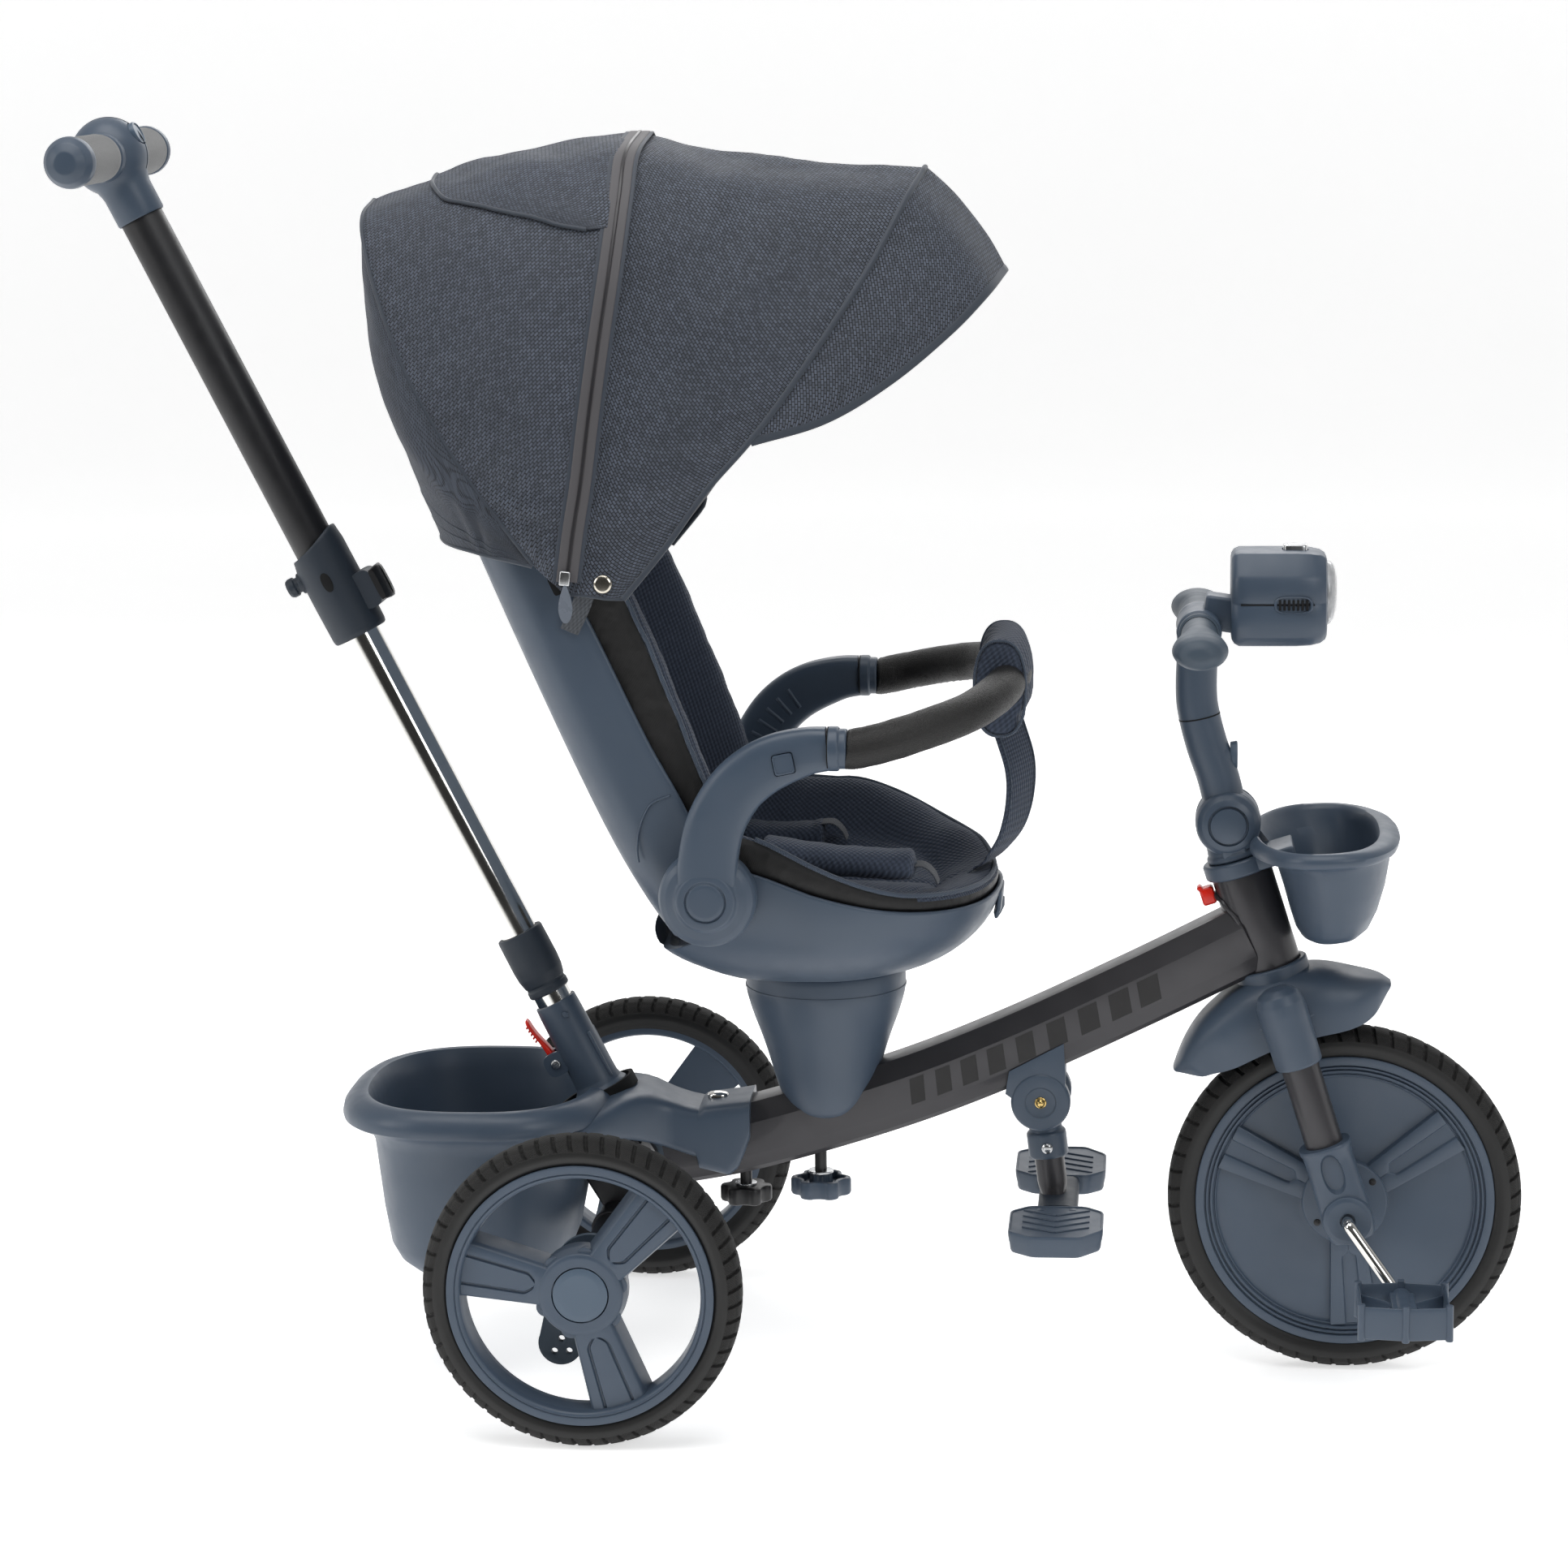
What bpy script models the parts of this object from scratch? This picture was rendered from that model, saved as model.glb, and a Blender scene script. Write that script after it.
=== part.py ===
"""Children's tricycle with a telescopic push handle, a swivel seat and a folding canopy.

Metres, +X forward, +Y to the rider's left, +Z up, the ground at Z = 0.
"""

import math

import bmesh
import bpy
from mathutils import Matrix, Vector

# Driving dimensions
REAR_WHEEL_RADIUS = 0.127  # 10 inch wheels
FRONT_WHEEL_RADIUS = 0.1454  # 12 inch nominal wheel
REAR_AXLE = Vector((-0.160, 0.0, REAR_WHEEL_RADIUS))
FRONT_AXLE = Vector((0.4455, 0.0, FRONT_WHEEL_RADIUS))
REAR_TRACK = 0.231  # from the middle plane to a rear tyre's middle plane
TYRE_WIDTH = 0.039
WHEEL_SIDES = 32
STEERING_TILT = math.radians(17.5)
HANDLE_TILT = math.radians(26.5)
HANDLE_ROOT = Vector((-0.171, 0.0, 0.227))  # where the push handle's axis leaves the basket
HANDLE_HUB_AT = 0.8717  # from HANDLE_ROOT along the handle to the middle of its hub
LOWER_TUBE_RADIUS = 0.0155
UPPER_TUBE_RADIUS = 0.018
SEAT_AXIS_X = 0.017
SEAT_FLOOR_Z = 0.327
SEAT_HALF_WIDTH = 0.160
RECLINE_PIVOT = Vector((-0.062, 0.0, 0.4314))
RECLINE_TILT = math.radians(24.8)
BACK_HALF_WIDTH = 0.149
ARM_MIDDLE_Y = 0.181
CANOPY_PIVOT = Vector((-0.140, 0.0, 0.679))
CANOPY_MIDDLE = Vector((-0.160, 0.0, 0.780))
BEAM_WIDTH = 0.050
BEAM_HEIGHT = 0.058
FOOTREST_PIVOT = Vector((0.1954, 0.0, 0.2288))
FOOTREST_TILT = math.radians(7.0)
STEM_PIVOT = Vector((0.348, 0.0, 0.4613))
GAP = 0.0003  # between pieces that touch

# finish name: colour, roughness, metallic
FINISHES = {
    "slate_plastic": ((0.085, 0.110, 0.140, 1), 0.42, 0.0),
    "frame_paint": ((0.065, 0.063, 0.066, 1), 0.38, 0.3),
    "black_plastic": ((0.012, 0.012, 0.013, 1), 0.45, 0.0),
    "tyre_rubber": ((0.016, 0.016, 0.016, 1), 0.75, 0.0),
    "black_tube": ((0.012, 0.012, 0.014, 1), 0.25, 0.2),
    "chrome": ((0.75, 0.74, 0.71, 1), 0.12, 1.0),
    "steel": ((0.45, 0.45, 0.46, 1), 0.35, 1.0),
    "red_plastic": ((0.75, 0.03, 0.015, 1), 0.35, 0.0),
    "foam": ((0.045, 0.047, 0.050, 1), 0.80, 0.0),
    "canopy_fabric": ((0.030, 0.042, 0.058, 1), 0.85, 0.0),
    "pad_fabric": ((0.022, 0.028, 0.038, 1), 0.85, 0.0),
    "leatherette": ((0.012, 0.011, 0.011, 1), 0.50, 0.0),
    "clear_lens": ((0.82, 0.82, 0.82, 1), 0.15, 0.0),
    "silver_button": ((0.50, 0.51, 0.52, 1), 0.30, 0.6),
}

PARTS = None
CUTTERS = None


def clear_scene():
    for obj in list(bpy.data.objects):
        bpy.data.objects.remove(obj, do_unlink=True)


def new_collection(name):
    collection = bpy.data.collections.new(name)
    bpy.context.scene.collection.children.link(collection)
    return collection


def material_for(name, finish):
    colour, roughness, metallic = FINISHES[finish]
    material = bpy.data.materials.new(name + "_" + finish)
    material.use_nodes = True
    shader = material.node_tree.nodes["Principled BSDF"]
    shader.inputs["Base Color"].default_value = colour
    shader.inputs["Roughness"].default_value = roughness
    shader.inputs["Metallic"].default_value = metallic
    material.diffuse_color = colour
    return material


def add_mesh(name, bm, finish=None):
    """An object of this mesh: a part with a finish, or a helper without one."""
    bmesh.ops.recalc_face_normals(bm, faces=bm.faces)
    mesh = bpy.data.meshes.new(name)
    bm.to_mesh(mesh)
    bm.free()
    return add_object(name, mesh, finish)


def add_object(name, data, finish=None):
    obj = bpy.data.objects.new(name, data)
    if finish:
        PARTS.objects.link(obj)
        data.materials.append(material_for(name, finish))
        if obj.type == "MESH":
            data.shade_smooth()
            data.set_sharp_from_angle(angle=math.radians(35))
    else:
        CUTTERS.objects.link(obj)
        obj.hide_render = True
        obj.display_type = "WIRE"
    return obj


def apply_boolean(obj, other, operation):
    modifier = obj.modifiers.new(operation.lower() + " " + other.name, "BOOLEAN")
    modifier.operation = operation
    modifier.solver = "EXACT"
    modifier.object = other


def cut(obj, *cutters):
    for cutter in cutters:
        apply_boolean(obj, cutter, "DIFFERENCE")
    return obj


def join(obj, *others):
    for other in others:
        apply_boolean(obj, other, "UNION")
    return obj


def bevel(obj, width, segments=2):
    modifier = obj.modifiers.new("rounded edges", "BEVEL")
    modifier.width = width
    modifier.segments = segments
    modifier.limit_method = "ANGLE"
    modifier.angle_limit = math.radians(40)
    return obj


def box(name, size, centre, finish=None, tilt=0.0):
    """A box, turned by tilt about Y so that its +Z leans towards +X."""
    bm = bmesh.new()
    bmesh.ops.create_cube(bm, size=1.0)
    bmesh.ops.scale(bm, vec=size, verts=bm.verts)
    obj = add_mesh(name, bm, finish)
    obj.matrix_world = Matrix.Translation(centre) @ Matrix.Rotation(tilt, 4, "Y")
    return obj


def rod(name, start, end, radius, finish=None, sides=20, end_radius=None):
    """A cylinder or cone between two points."""
    start, end = Vector(start), Vector(end)
    bm = bmesh.new()
    bmesh.ops.create_cone(
        bm,
        cap_ends=True,
        segments=sides,
        radius1=radius,
        radius2=radius if end_radius is None else end_radius,
        depth=(end - start).length,
    )
    obj = add_mesh(name, bm, finish)
    turn = (end - start).to_track_quat("Z", "Y").to_matrix().to_4x4()
    obj.matrix_world = Matrix.Translation((start + end) / 2) @ turn
    return obj


def turned(name, profile, placement, finish=None, steps=24, ring=False):
    """A turned shape from (radius, height) points, given down its outer side. A ring's profile closes."""
    mesh = bpy.data.meshes.new(name)
    points = [(radius, 0.0, height) for radius, height in profile]
    count = len(points)
    pairs = [(i, (i + 1) % count) for i in range(count if ring else count - 1)]
    edges = [(i, j) for i, j in pairs if points[i][0] > 0 or points[j][0] > 0]
    mesh.from_pydata(points, edges, [])
    obj = add_object(name, mesh, finish)
    screw = obj.modifiers.new("turn", "SCREW")
    screw.steps = steps
    screw.render_steps = steps
    screw.use_merge_vertices = True
    screw.merge_threshold = 0.00001
    screw.use_smooth_shade = True
    obj.matrix_world = placement
    return obj


def along(root, tilt):
    """Placement of a turned shape whose +Z leans back towards -X by tilt."""
    return Matrix.Translation(root) @ Matrix.Rotation(-tilt, 4, "Y")


def across(centre, mirrored=False, turn=0.0):
    """Placement of a turned shape whose +Z points to -Y, or to +Y when mirrored."""
    quarter = Matrix.Rotation(math.radians(-90 if mirrored else 90), 4, "X")
    return Matrix.Translation(centre) @ quarter @ Matrix.Rotation(turn, 4, "Z")


def pipe(name, points, radius, finish=None, resolution=2):
    """A round bar along straight runs and bends, as a bevelled curve made into a closed mesh."""
    curve = bpy.data.curves.new(name + "_line", "CURVE")
    curve.dimensions = "3D"
    curve.bevel_depth = radius
    curve.bevel_resolution = resolution
    curve.use_fill_caps = True
    spline = curve.splines.new("POLY")
    spline.points.add(len(points) - 1)
    for point, place in zip(spline.points, points):
        point.co = (*place, 1.0)
    guide = bpy.data.objects.new(name + "_line", curve)
    bpy.context.scene.collection.objects.link(guide)
    graph = bpy.context.evaluated_depsgraph_get()
    mesh = bpy.data.meshes.new_from_object(guide.evaluated_get(graph))
    bpy.data.objects.remove(guide, do_unlink=True)
    bm = bmesh.new()
    bm.from_mesh(mesh)
    bmesh.ops.remove_doubles(bm, verts=bm.verts, dist=0.00001)
    return add_mesh(name, bm, finish)


def loft(name, rings, finish=None, closed=False):
    """A solid through rings of points: capped at both ends, or closed from the last ring to the first."""
    bm = bmesh.new()
    loops = [[bm.verts.new(point) for point in ring] for ring in rings]
    count = len(loops[0])
    pairs = list(zip(loops, loops[1:]))
    if closed:
        pairs.append((loops[-1], loops[0]))
    else:
        bm.faces.new(loops[0])
        bm.faces.new(loops[-1])
    for first, second in pairs:
        for i in range(count):
            j = (i + 1) % count
            bm.faces.new((first[i], first[j], second[j], second[i]))
    return add_mesh(name, bm, finish)


def sheet(name, rows, thickness, inside, finish=None):
    """A surface through rows of points, thickened towards the side that the point inside is on."""
    grid = [[Vector(point) for point in row] for row in rows]
    last_row, last = len(grid) - 1, len(grid[0]) - 1
    inner = []
    for r, row in enumerate(grid):
        offsets = []
        for i, point in enumerate(row):
            over = grid[min(r + 1, last_row)][i] - grid[max(r - 1, 0)][i]
            across_row = row[min(i + 1, last)] - row[max(i - 1, 0)]
            normal = over.cross(across_row).normalized()
            if normal.dot(Vector(inside) - point) < 0:
                normal.negate()
            offsets.append(point + normal * thickness)
        inner.append(offsets)
    bm = bmesh.new()
    outer_verts = [[bm.verts.new(point) for point in row] for row in grid]
    inner_verts = [[bm.verts.new(point) for point in row] for row in inner]
    for verts in (outer_verts, inner_verts):
        for first, second in zip(verts, verts[1:]):
            for i in range(last):
                bm.faces.new((first[i], first[i + 1], second[i + 1], second[i]))
    for r in (0, last_row):
        for i in range(last):
            bm.faces.new((outer_verts[r][i], outer_verts[r][i + 1], inner_verts[r][i + 1],
                          inner_verts[r][i]))
    for i in (0, last):
        for r in range(last_row):
            bm.faces.new((outer_verts[r][i], outer_verts[r + 1][i], inner_verts[r + 1][i],
                          inner_verts[r][i]))
    return add_mesh(name, bm, finish)


def rounded(half_x, half_y, power, count):
    """Points round a superellipse, starting at +X."""
    points = []
    for i in range(count):
        angle = 2 * math.pi * i / count
        c, s = math.cos(angle), math.sin(angle)
        x = half_x * math.copysign(abs(c) ** (2 / power), c)
        y = half_y * math.copysign(abs(s) ** (2 / power), s)
        points.append((x, y))
    return points


def blend(a, b, t):
    return a + (b - a) * t


def curve_at(points, t):
    """A point on the smooth curve through the points, t from 0 to 1, equal steps from point to point."""
    place = min(max(t, 0.0), 1.0) * (len(points) - 1)
    i = min(int(place), len(points) - 2)
    u = place - i
    p1, p2 = Vector(points[i]), Vector(points[i + 1])
    p0 = Vector(points[i - 1]) if i else 2 * p1 - p2
    p3 = Vector(points[i + 2]) if i + 2 < len(points) else 2 * p2 - p1
    return 0.5 * (
        2 * p1 + (p2 - p0) * u + (2 * p0 - 5 * p1 + 4 * p2 - p3) * u**2 + (3 * p1 - p0 - 3 * p2 + p3) * u**3
    )


def smooth_path(points, count):
    return [curve_at(points, i / (count - 1)) for i in range(count)]


def swept(name, path, section, finish=None):
    """A solid bar along a path: section(t) gives (across, along Y) points of the cut at t."""
    rings = []
    for i, point in enumerate(path):
        before, after = path[max(i - 1, 0)], path[min(i + 1, len(path) - 1)]
        forward = (after - before).normalized()
        side = forward.cross(Vector((0, 1, 0))).normalized()
        binormal = side.cross(forward).normalized()
        t = i / (len(path) - 1)
        rings.append([point + side * a + binormal * b for a, b in section(t)])
    return loft(name, rings, finish)


# ---------------------------------------------------------------- frame


BEAM_LINE = ((-0.118, 0, 0.180), (-0.042, 0, 0.1955), (0.0715, 0, 0.2305), (0.166, 0, 0.268),
             (0.274, 0, 0.319), (0.352, 0, 0.3585))


def steering_point(along_axis, ahead=0.0, y=0.0):
    """A point from the front axle up the steering axis, and ahead of it."""
    s, c = math.sin(STEERING_TILT), math.cos(STEERING_TILT)
    return FRONT_AXLE + Vector((-s * along_axis + c * ahead, y, c * along_axis + s * ahead))


HEAD_TUBE_SPAN = (0.196, 0.287)  # along the steering axis, from the front axle
HEAD_TUBE_RADIUS = 0.025
STEERER_RADIUS = 0.0150
LEG_Y = 0.0545  # from the middle plane to a fork leg
SEAT_SCREW = (0.0110, 0.1950)  # x, and the height of its tip inside the beam
BASKET_SCREW = (-0.0520, 0.1780)


def make_frame():
    """The curved box beam with the head tube welded to its front end, and holes for the two clamping screws."""
    section = rounded(BEAM_HEIGHT / 2, BEAM_WIDTH / 2, 7, 16)
    frame = swept("main_frame", smooth_path(BEAM_LINE, 10), lambda t: section, "frame_paint")
    low, high = HEAD_TUBE_SPAN
    collar_room = rod("collar_room", steering_point(0.15), steering_point(0.2090), 0.0400)
    cut(frame, collar_room)
    join(frame, rod("head_tube", steering_point(low), steering_point(high), HEAD_TUBE_RADIUS, sides=24))
    bore = rod("head_tube_bore", steering_point(0.1), steering_point(0.4), STEERER_RADIUS + GAP)
    screw_holes = [rod(f"screw_hole_{n}", (x, 0, 0.12), (x, 0, top + 0.001), 0.0056, sides=12)
                   for n, (x, top) in enumerate((SEAT_SCREW, BASKET_SCREW))]
    wall = 0.003
    hollow_line = [(-0.150, 0, 0.172)] + list(BEAM_LINE[:-1]) + [(0.3150, 0, 0.3395)]
    hollow = rounded(BEAM_HEIGHT / 2 - wall, BEAM_WIDTH / 2 - wall, 7, 16)
    inside = swept("beam_hollow", smooth_path(hollow_line, 11), lambda t: hollow)
    cut(frame, inside, bore, *screw_holes)
    make_rear_strut()
    for side, label in ((-1, "right"), (1, "left")):
        make_brake_lever(label, side)


def make_rear_strut():
    """The steel box from the beam down to the axle, with the socket that the push handle turns in."""
    strut = box("rear_strut", (0.052, 0.050, 0.082), (-0.1475, 0, 0.1475), "black_plastic", -0.55)
    housing = rod("housing", REAR_AXLE + Vector((0, -0.168, 0)), REAR_AXLE + Vector((0, 0.168, 0)), 0.013,
                  sides=16)
    axle = rod("axle", REAR_AXLE + Vector((0, -0.2455, 0)), REAR_AXLE + Vector((0, 0.2455, 0)), 0.005,
               sides=12)
    socket = turned("socket", [(0.0, 0.004), (0.019, 0.004), (0.019, -0.06), (0.0, -0.06)],
                    along(HANDLE_ROOT - Vector((0, 0, 0.012)), HANDLE_TILT), steps=16)
    join(strut, housing, axle, socket)
    shaft_bore = turned("shaft_bore", [(0.0, 0.03), (0.0128, 0.03), (0.0128, -0.052), (0.0, -0.052)],
                        along(HANDLE_ROOT, HANDLE_TILT), steps=16)
    beam_end = box("beam_end_cut", (0.2, 0.08, 0.10), (-0.0176, 0, 0.199), tilt=-0.22)
    cut(strut, beam_end, shaft_bore)


def make_brake_lever(label, side):
    """A flat foot lever that swings on the rear axle, with two holes in its lower lobe."""
    lobe = Vector((-0.186, 0, 0.066))
    outline = []
    away = (lobe - REAR_AXLE).normalized()
    heading = math.atan2(away.z, away.x)
    for centre, radius, turn in ((REAR_AXLE, 0.030, math.pi), (lobe, 0.018, 0.0)):
        for i in range(9):
            angle = heading + turn - math.pi / 2 + math.pi * i / 8
            outline.append((centre.x + radius * math.cos(angle), centre.z + radius * math.sin(angle)))
    y = side * 0.1775
    rings = [[Vector((x, y + offset, z)) for x, z in outline] for offset in (-0.003, 0.003)]
    lever = loft("brake_lever_" + label, rings, "slate_plastic")
    for n, (x, z, radius) in enumerate(((-0.191, 0.0595, 0.0025), (-0.181, 0.0597, 0.0025),
                                        (REAR_AXLE.x, REAR_AXLE.z, 0.005 + GAP))):
        cut(lever, rod(f"brake_hole_{label}_{n}", (x, y - 0.01, z), (x, y + 0.01, z), radius, sides=12))


# ---------------------------------------------------------------- rear basket


def basket_ring(z, front, rear, half_width, count=28):
    middle = (front + rear) / 2
    return [Vector((middle + x, y, z)) for x, y in rounded((front - rear) / 2, half_width, 2.6, count)]


def make_rear_basket():
    """An oval tub with a rolled rim, and a deck in front of it that saddles the beam."""
    outside = [(0.084, -0.214, -0.318, 0.072), (0.090, -0.200, -0.336, 0.090),
               (0.110, -0.193, -0.348, 0.099),
               (0.203, -0.180, -0.3605, 0.107), (0.203, -0.158, -0.3870, 0.1225),
               (0.226, -0.158, -0.3850, 0.121),
               (0.236, -0.166, -0.3760, 0.114)]
    inside = [(0.236, -0.184, -0.3650, 0.106), (0.226, -0.188, -0.3600, 0.1035),
              (0.110, -0.198, -0.3440, 0.095),
              (0.0935, -0.206, -0.3330, 0.086), (0.088, -0.218, -0.3140, 0.068)]
    tub = loft("rear_basket", [basket_ring(*ring) for ring in outside + inside], "slate_plastic")
    rows = ((-0.200, 0.117, 0.235, 0.205), (-0.170, 0.104, 0.2375, 0.200), (-0.145, 0.086, 0.2400, 0.190),
            (-0.118, 0.060, 0.2330, 0.178), (-0.094, 0.038, 0.2300, 0.170), (-0.048, 0.033, 0.2370, 0.176))
    outer = [deck_section(x, half, top, low, 0.0) for x, half, top, low in rows]
    inner = [deck_section(x, half, top, low, 0.003) for x, half, top, low in rows]
    deck = loft("deck", [o + list(reversed(i)) for o, i in zip(outer, inner)])
    slot = loft("slot_cut", [[handle_point(at, -0.004 + a, b) for a, b in rounded(0.0330, 0.0275, 2.2, 24)]
                             for at in (-0.060, 0.060)])
    beam_room = swept("beam_room", smooth_path(BEAM_LINE, 10),
                      lambda t: rounded(BEAM_HEIGHT / 2 + 2 * GAP, BEAM_WIDTH / 2 + 2 * GAP, 7, 16))
    strut_room = box("strut_room", (0.060, 0.0560, 0.100), (-0.1475, 0, 0.1475), tilt=-0.55)
    cut(deck, slot, beam_room, strut_room)
    cut(tub, slot, strut_room)
    join(tub, deck)


def deck_section(x, half_width, top, low, inset):
    """Half of an arch across the deck at x, from its left lower edge over to its right one."""
    points = []
    for i in range(13):
        angle = math.pi * i / 12
        c, s = math.cos(angle), math.sin(angle)
        y = (half_width - inset) * math.copysign(abs(c) ** 0.6, c)
        z = blend(low, top - inset, abs(s) ** 0.45)
        points.append(Vector((x, y, z)))
    return points


# ---------------------------------------------------------------- wheels


def wheel_turn():
    """Half a facet, so that a wheel rests on a flat and not on an edge."""
    return math.pi / WHEEL_SIDES


def make_tyre(name, centre, radius, rim_radius, mirrored):
    flat = 1 / math.cos(math.pi / WHEEL_SIDES)
    half = TYRE_WIDTH / 2
    profile = [(rim_radius + 0.0005, half * 0.70), (rim_radius + 0.006, half),
               (radius - 0.007, half * 0.96),
               (radius, half * 0.45)]
    profile += [(r, -h) for r, h in reversed(profile)]
    ring = [(r * flat, h) for r, h in profile]
    turned(name, ring, across(centre, mirrored, wheel_turn()), "tyre_rubber", WHEEL_SIDES, ring=True)


def make_rear_wheels():
    for side, label in ((-1, "right"), (1, "left")):
        centre = REAR_AXLE + Vector((0, side * REAR_TRACK, 0))
        mirrored = side > 0
        make_tyre("rear_tyre_" + label, centre, REAR_WHEEL_RADIUS, 0.1059, mirrored)
        place = across(centre, mirrored, wheel_turn())
        band = [(0.1059, 0.0198), (0.1059, -0.0150), (0.0965, -0.0150), (0.0935, 0.0100), (0.0985, 0.0198)]
        rim = turned("rear_rim_" + label, [(r / math.cos(math.pi / WHEEL_SIDES), h) for r, h in band],
                     place,
                     "slate_plastic", WHEEL_SIDES, ring=True)
        hub = turned("hub_" + label, [(0.0, 0.0165), (0.026, 0.0165), (0.031, -0.018), (0.0, -0.018)],
                     place, steps=24)
        join(rim, hub)
        for n in range(3):
            join(rim, make_spoke(f"spoke_{label}_{n}", centre, side, math.radians(48 + 120 * n)))
        cut(rim, rod("rear_bore_" + label, centre - Vector((0, side * 0.03, 0)),
                     centre + Vector((0, side * 0.0150, 0)),
                     0.005 + GAP, sides=12))


def make_spoke(name, centre, side, angle):
    """A flat spoke that widens towards the rim, from the hub into the rim band."""
    out = Vector((math.cos(angle), 0, math.sin(angle)))
    over = Vector((-math.sin(angle), 0, math.cos(angle)))
    rings = []
    for reach, half_width, outer, inner in ((0.010, 0.0165, 0.0150, -0.010),
                                            (0.0975, 0.0235, 0.0120, -0.010)):
        corners = ((half_width, inner), (half_width * 0.8, outer), (-half_width * 0.8, outer),
                   (-half_width, inner))
        rings.append([centre + out * reach + over * a + Vector((0, side * b, 0)) for a, b in corners])
    return loft(name, rings)


def make_front_wheel():
    make_tyre("front_tyre", FRONT_AXLE, FRONT_WHEEL_RADIUS, 0.1225, False)
    flat = 1 / math.cos(math.pi / WHEEL_SIDES)
    half = [(0.0053, 0.0215), (0.036, 0.0215), (0.038, 0.0125), (0.1045, 0.0125), (0.109, 0.0184),
            (0.1225, 0.0184)]
    profile = [(r * flat, h) for r, h in half + [(r, -h) for r, h in reversed(half)]]
    turned("front_rim", profile, across(FRONT_AXLE, False, wheel_turn()), "slate_plastic", WHEEL_SIDES,
           ring=True)
    arm = Vector((0.0415, 0, -0.0555))
    right = [(-0.082, 0.0), (-0.090, 0.12), (-0.103, 0.88), (-0.109, 1.0), (-0.178, 1.0)]
    points = [FRONT_AXLE + arm * reach + Vector((0, y, 0)) for y, reach in reversed(right)]
    points += [FRONT_AXLE - arm * reach + Vector((0, -y, 0)) for y, reach in right]
    pipe("crank", points, 0.0050, "chrome", 2)
    for side, label in ((-1, "right"), (1, "left")):
        make_pedal(label, FRONT_AXLE - arm * side, side)


def make_pedal(label, spindle, side):
    centre = spindle + Vector((0, side * 0.150, 0))
    pedal = box("pedal_" + label, (0.0720, 0.0740, 0.0220), centre, "slate_plastic")
    bevel(pedal, 0.003, 1)
    for n, x in enumerate((-0.0215, 0.0215)):
        cut(pedal, box(f"pedal_window_{label}_{n}", (0.0200, 0.0560, 0.06), centre + Vector((x, 0, 0))))
    cut(pedal, rod("pedal_bore_" + label, centre - Vector((0, 0.05 * side, 0)),
                   centre + Vector((0, 0.0290 * side, 0)), 0.0050 + GAP, sides=12))


# ---------------------------------------------------------------- steering


def make_fork():
    """The steel fork: a steerer in the head tube, a bridge under it and two legs beside the wheel."""
    fork = rod("fork", steering_point(0.178), steering_point(0.302), STEERER_RADIUS, "frame_paint")
    bridge = box("fork_bridge", (0.026, 0.092, 0.014), steering_point(0.1815), tilt=-STEERING_TILT)
    legs = [rod(f"fork_leg_{side}", steering_point(0.0, y=side * LEG_Y),
                steering_point(0.185, y=side * LEG_Y), 0.0155)
            for side in (-1, 1)]
    join(fork, bridge, *legs)
    bore = rod("fork_axle_bore", FRONT_AXLE - Vector((0, 0.1, 0)), FRONT_AXLE + Vector((0, 0.1, 0)),
               0.0050 + GAP, sides=12)
    trim = box("fork_leg_trim", (0.08, 0.2, 0.05), steering_point(-0.013), tilt=-STEERING_TILT)
    tubes = [rod(f"fork_hollow_{side}", steering_point(-0.02, y=side * LEG_Y),
                 steering_point(0.165, y=side * LEG_Y), 0.0130,
                 sides=16) for side in (-1, 1)]
    tubes.append(rod("steerer_hollow", steering_point(0.195), steering_point(0.32), 0.0125, sides=16))
    cut(fork, bore, trim, *tubes)
    for side, label in ((-1, "right"), (1, "left")):
        make_leg_cap(label, side)


def make_leg_cap(label, side):
    """The moulded lower end of a leg, with the disc that carries the axle."""
    rings = []
    for reach, half_x, y_in, y_out in ((0.075, 0.0205, 0.0355, 0.0735), (0.060, 0.0195, 0.0355, 0.0735),
                                       (0.020, 0.0170, 0.0375, 0.0750), (0.0, 0.0165, 0.0395, 0.0765)):
        middle, half_y = (y_in + y_out) / 2, (y_out - y_in) / 2
        rings.append([steering_point(reach, a, side * middle + b) for a,
                      b in rounded(half_x, half_y, 3.0, 20)])
    cap = loft("leg_cap_" + label, rings, "slate_plastic")
    disc = rod("cap_disc_" + label, FRONT_AXLE + Vector((0, side * 0.0395, 0)),
               FRONT_AXLE + Vector((0, side * 0.0780, 0)), 0.0200, sides=24)
    join(cap, disc)
    socket = rod("cap_socket_" + label, steering_point(-0.0145, y=side * LEG_Y),
                 steering_point(0.2, y=side * LEG_Y),
                 0.0155 + GAP)
    bore = rod("cap_bore_" + label, FRONT_AXLE + Vector((0, side * 0.02, 0)),
               FRONT_AXLE + Vector((0, side * 0.1, 0)),
               0.0050 + GAP, sides=12)
    cut(cap, socket, bore)


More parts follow.
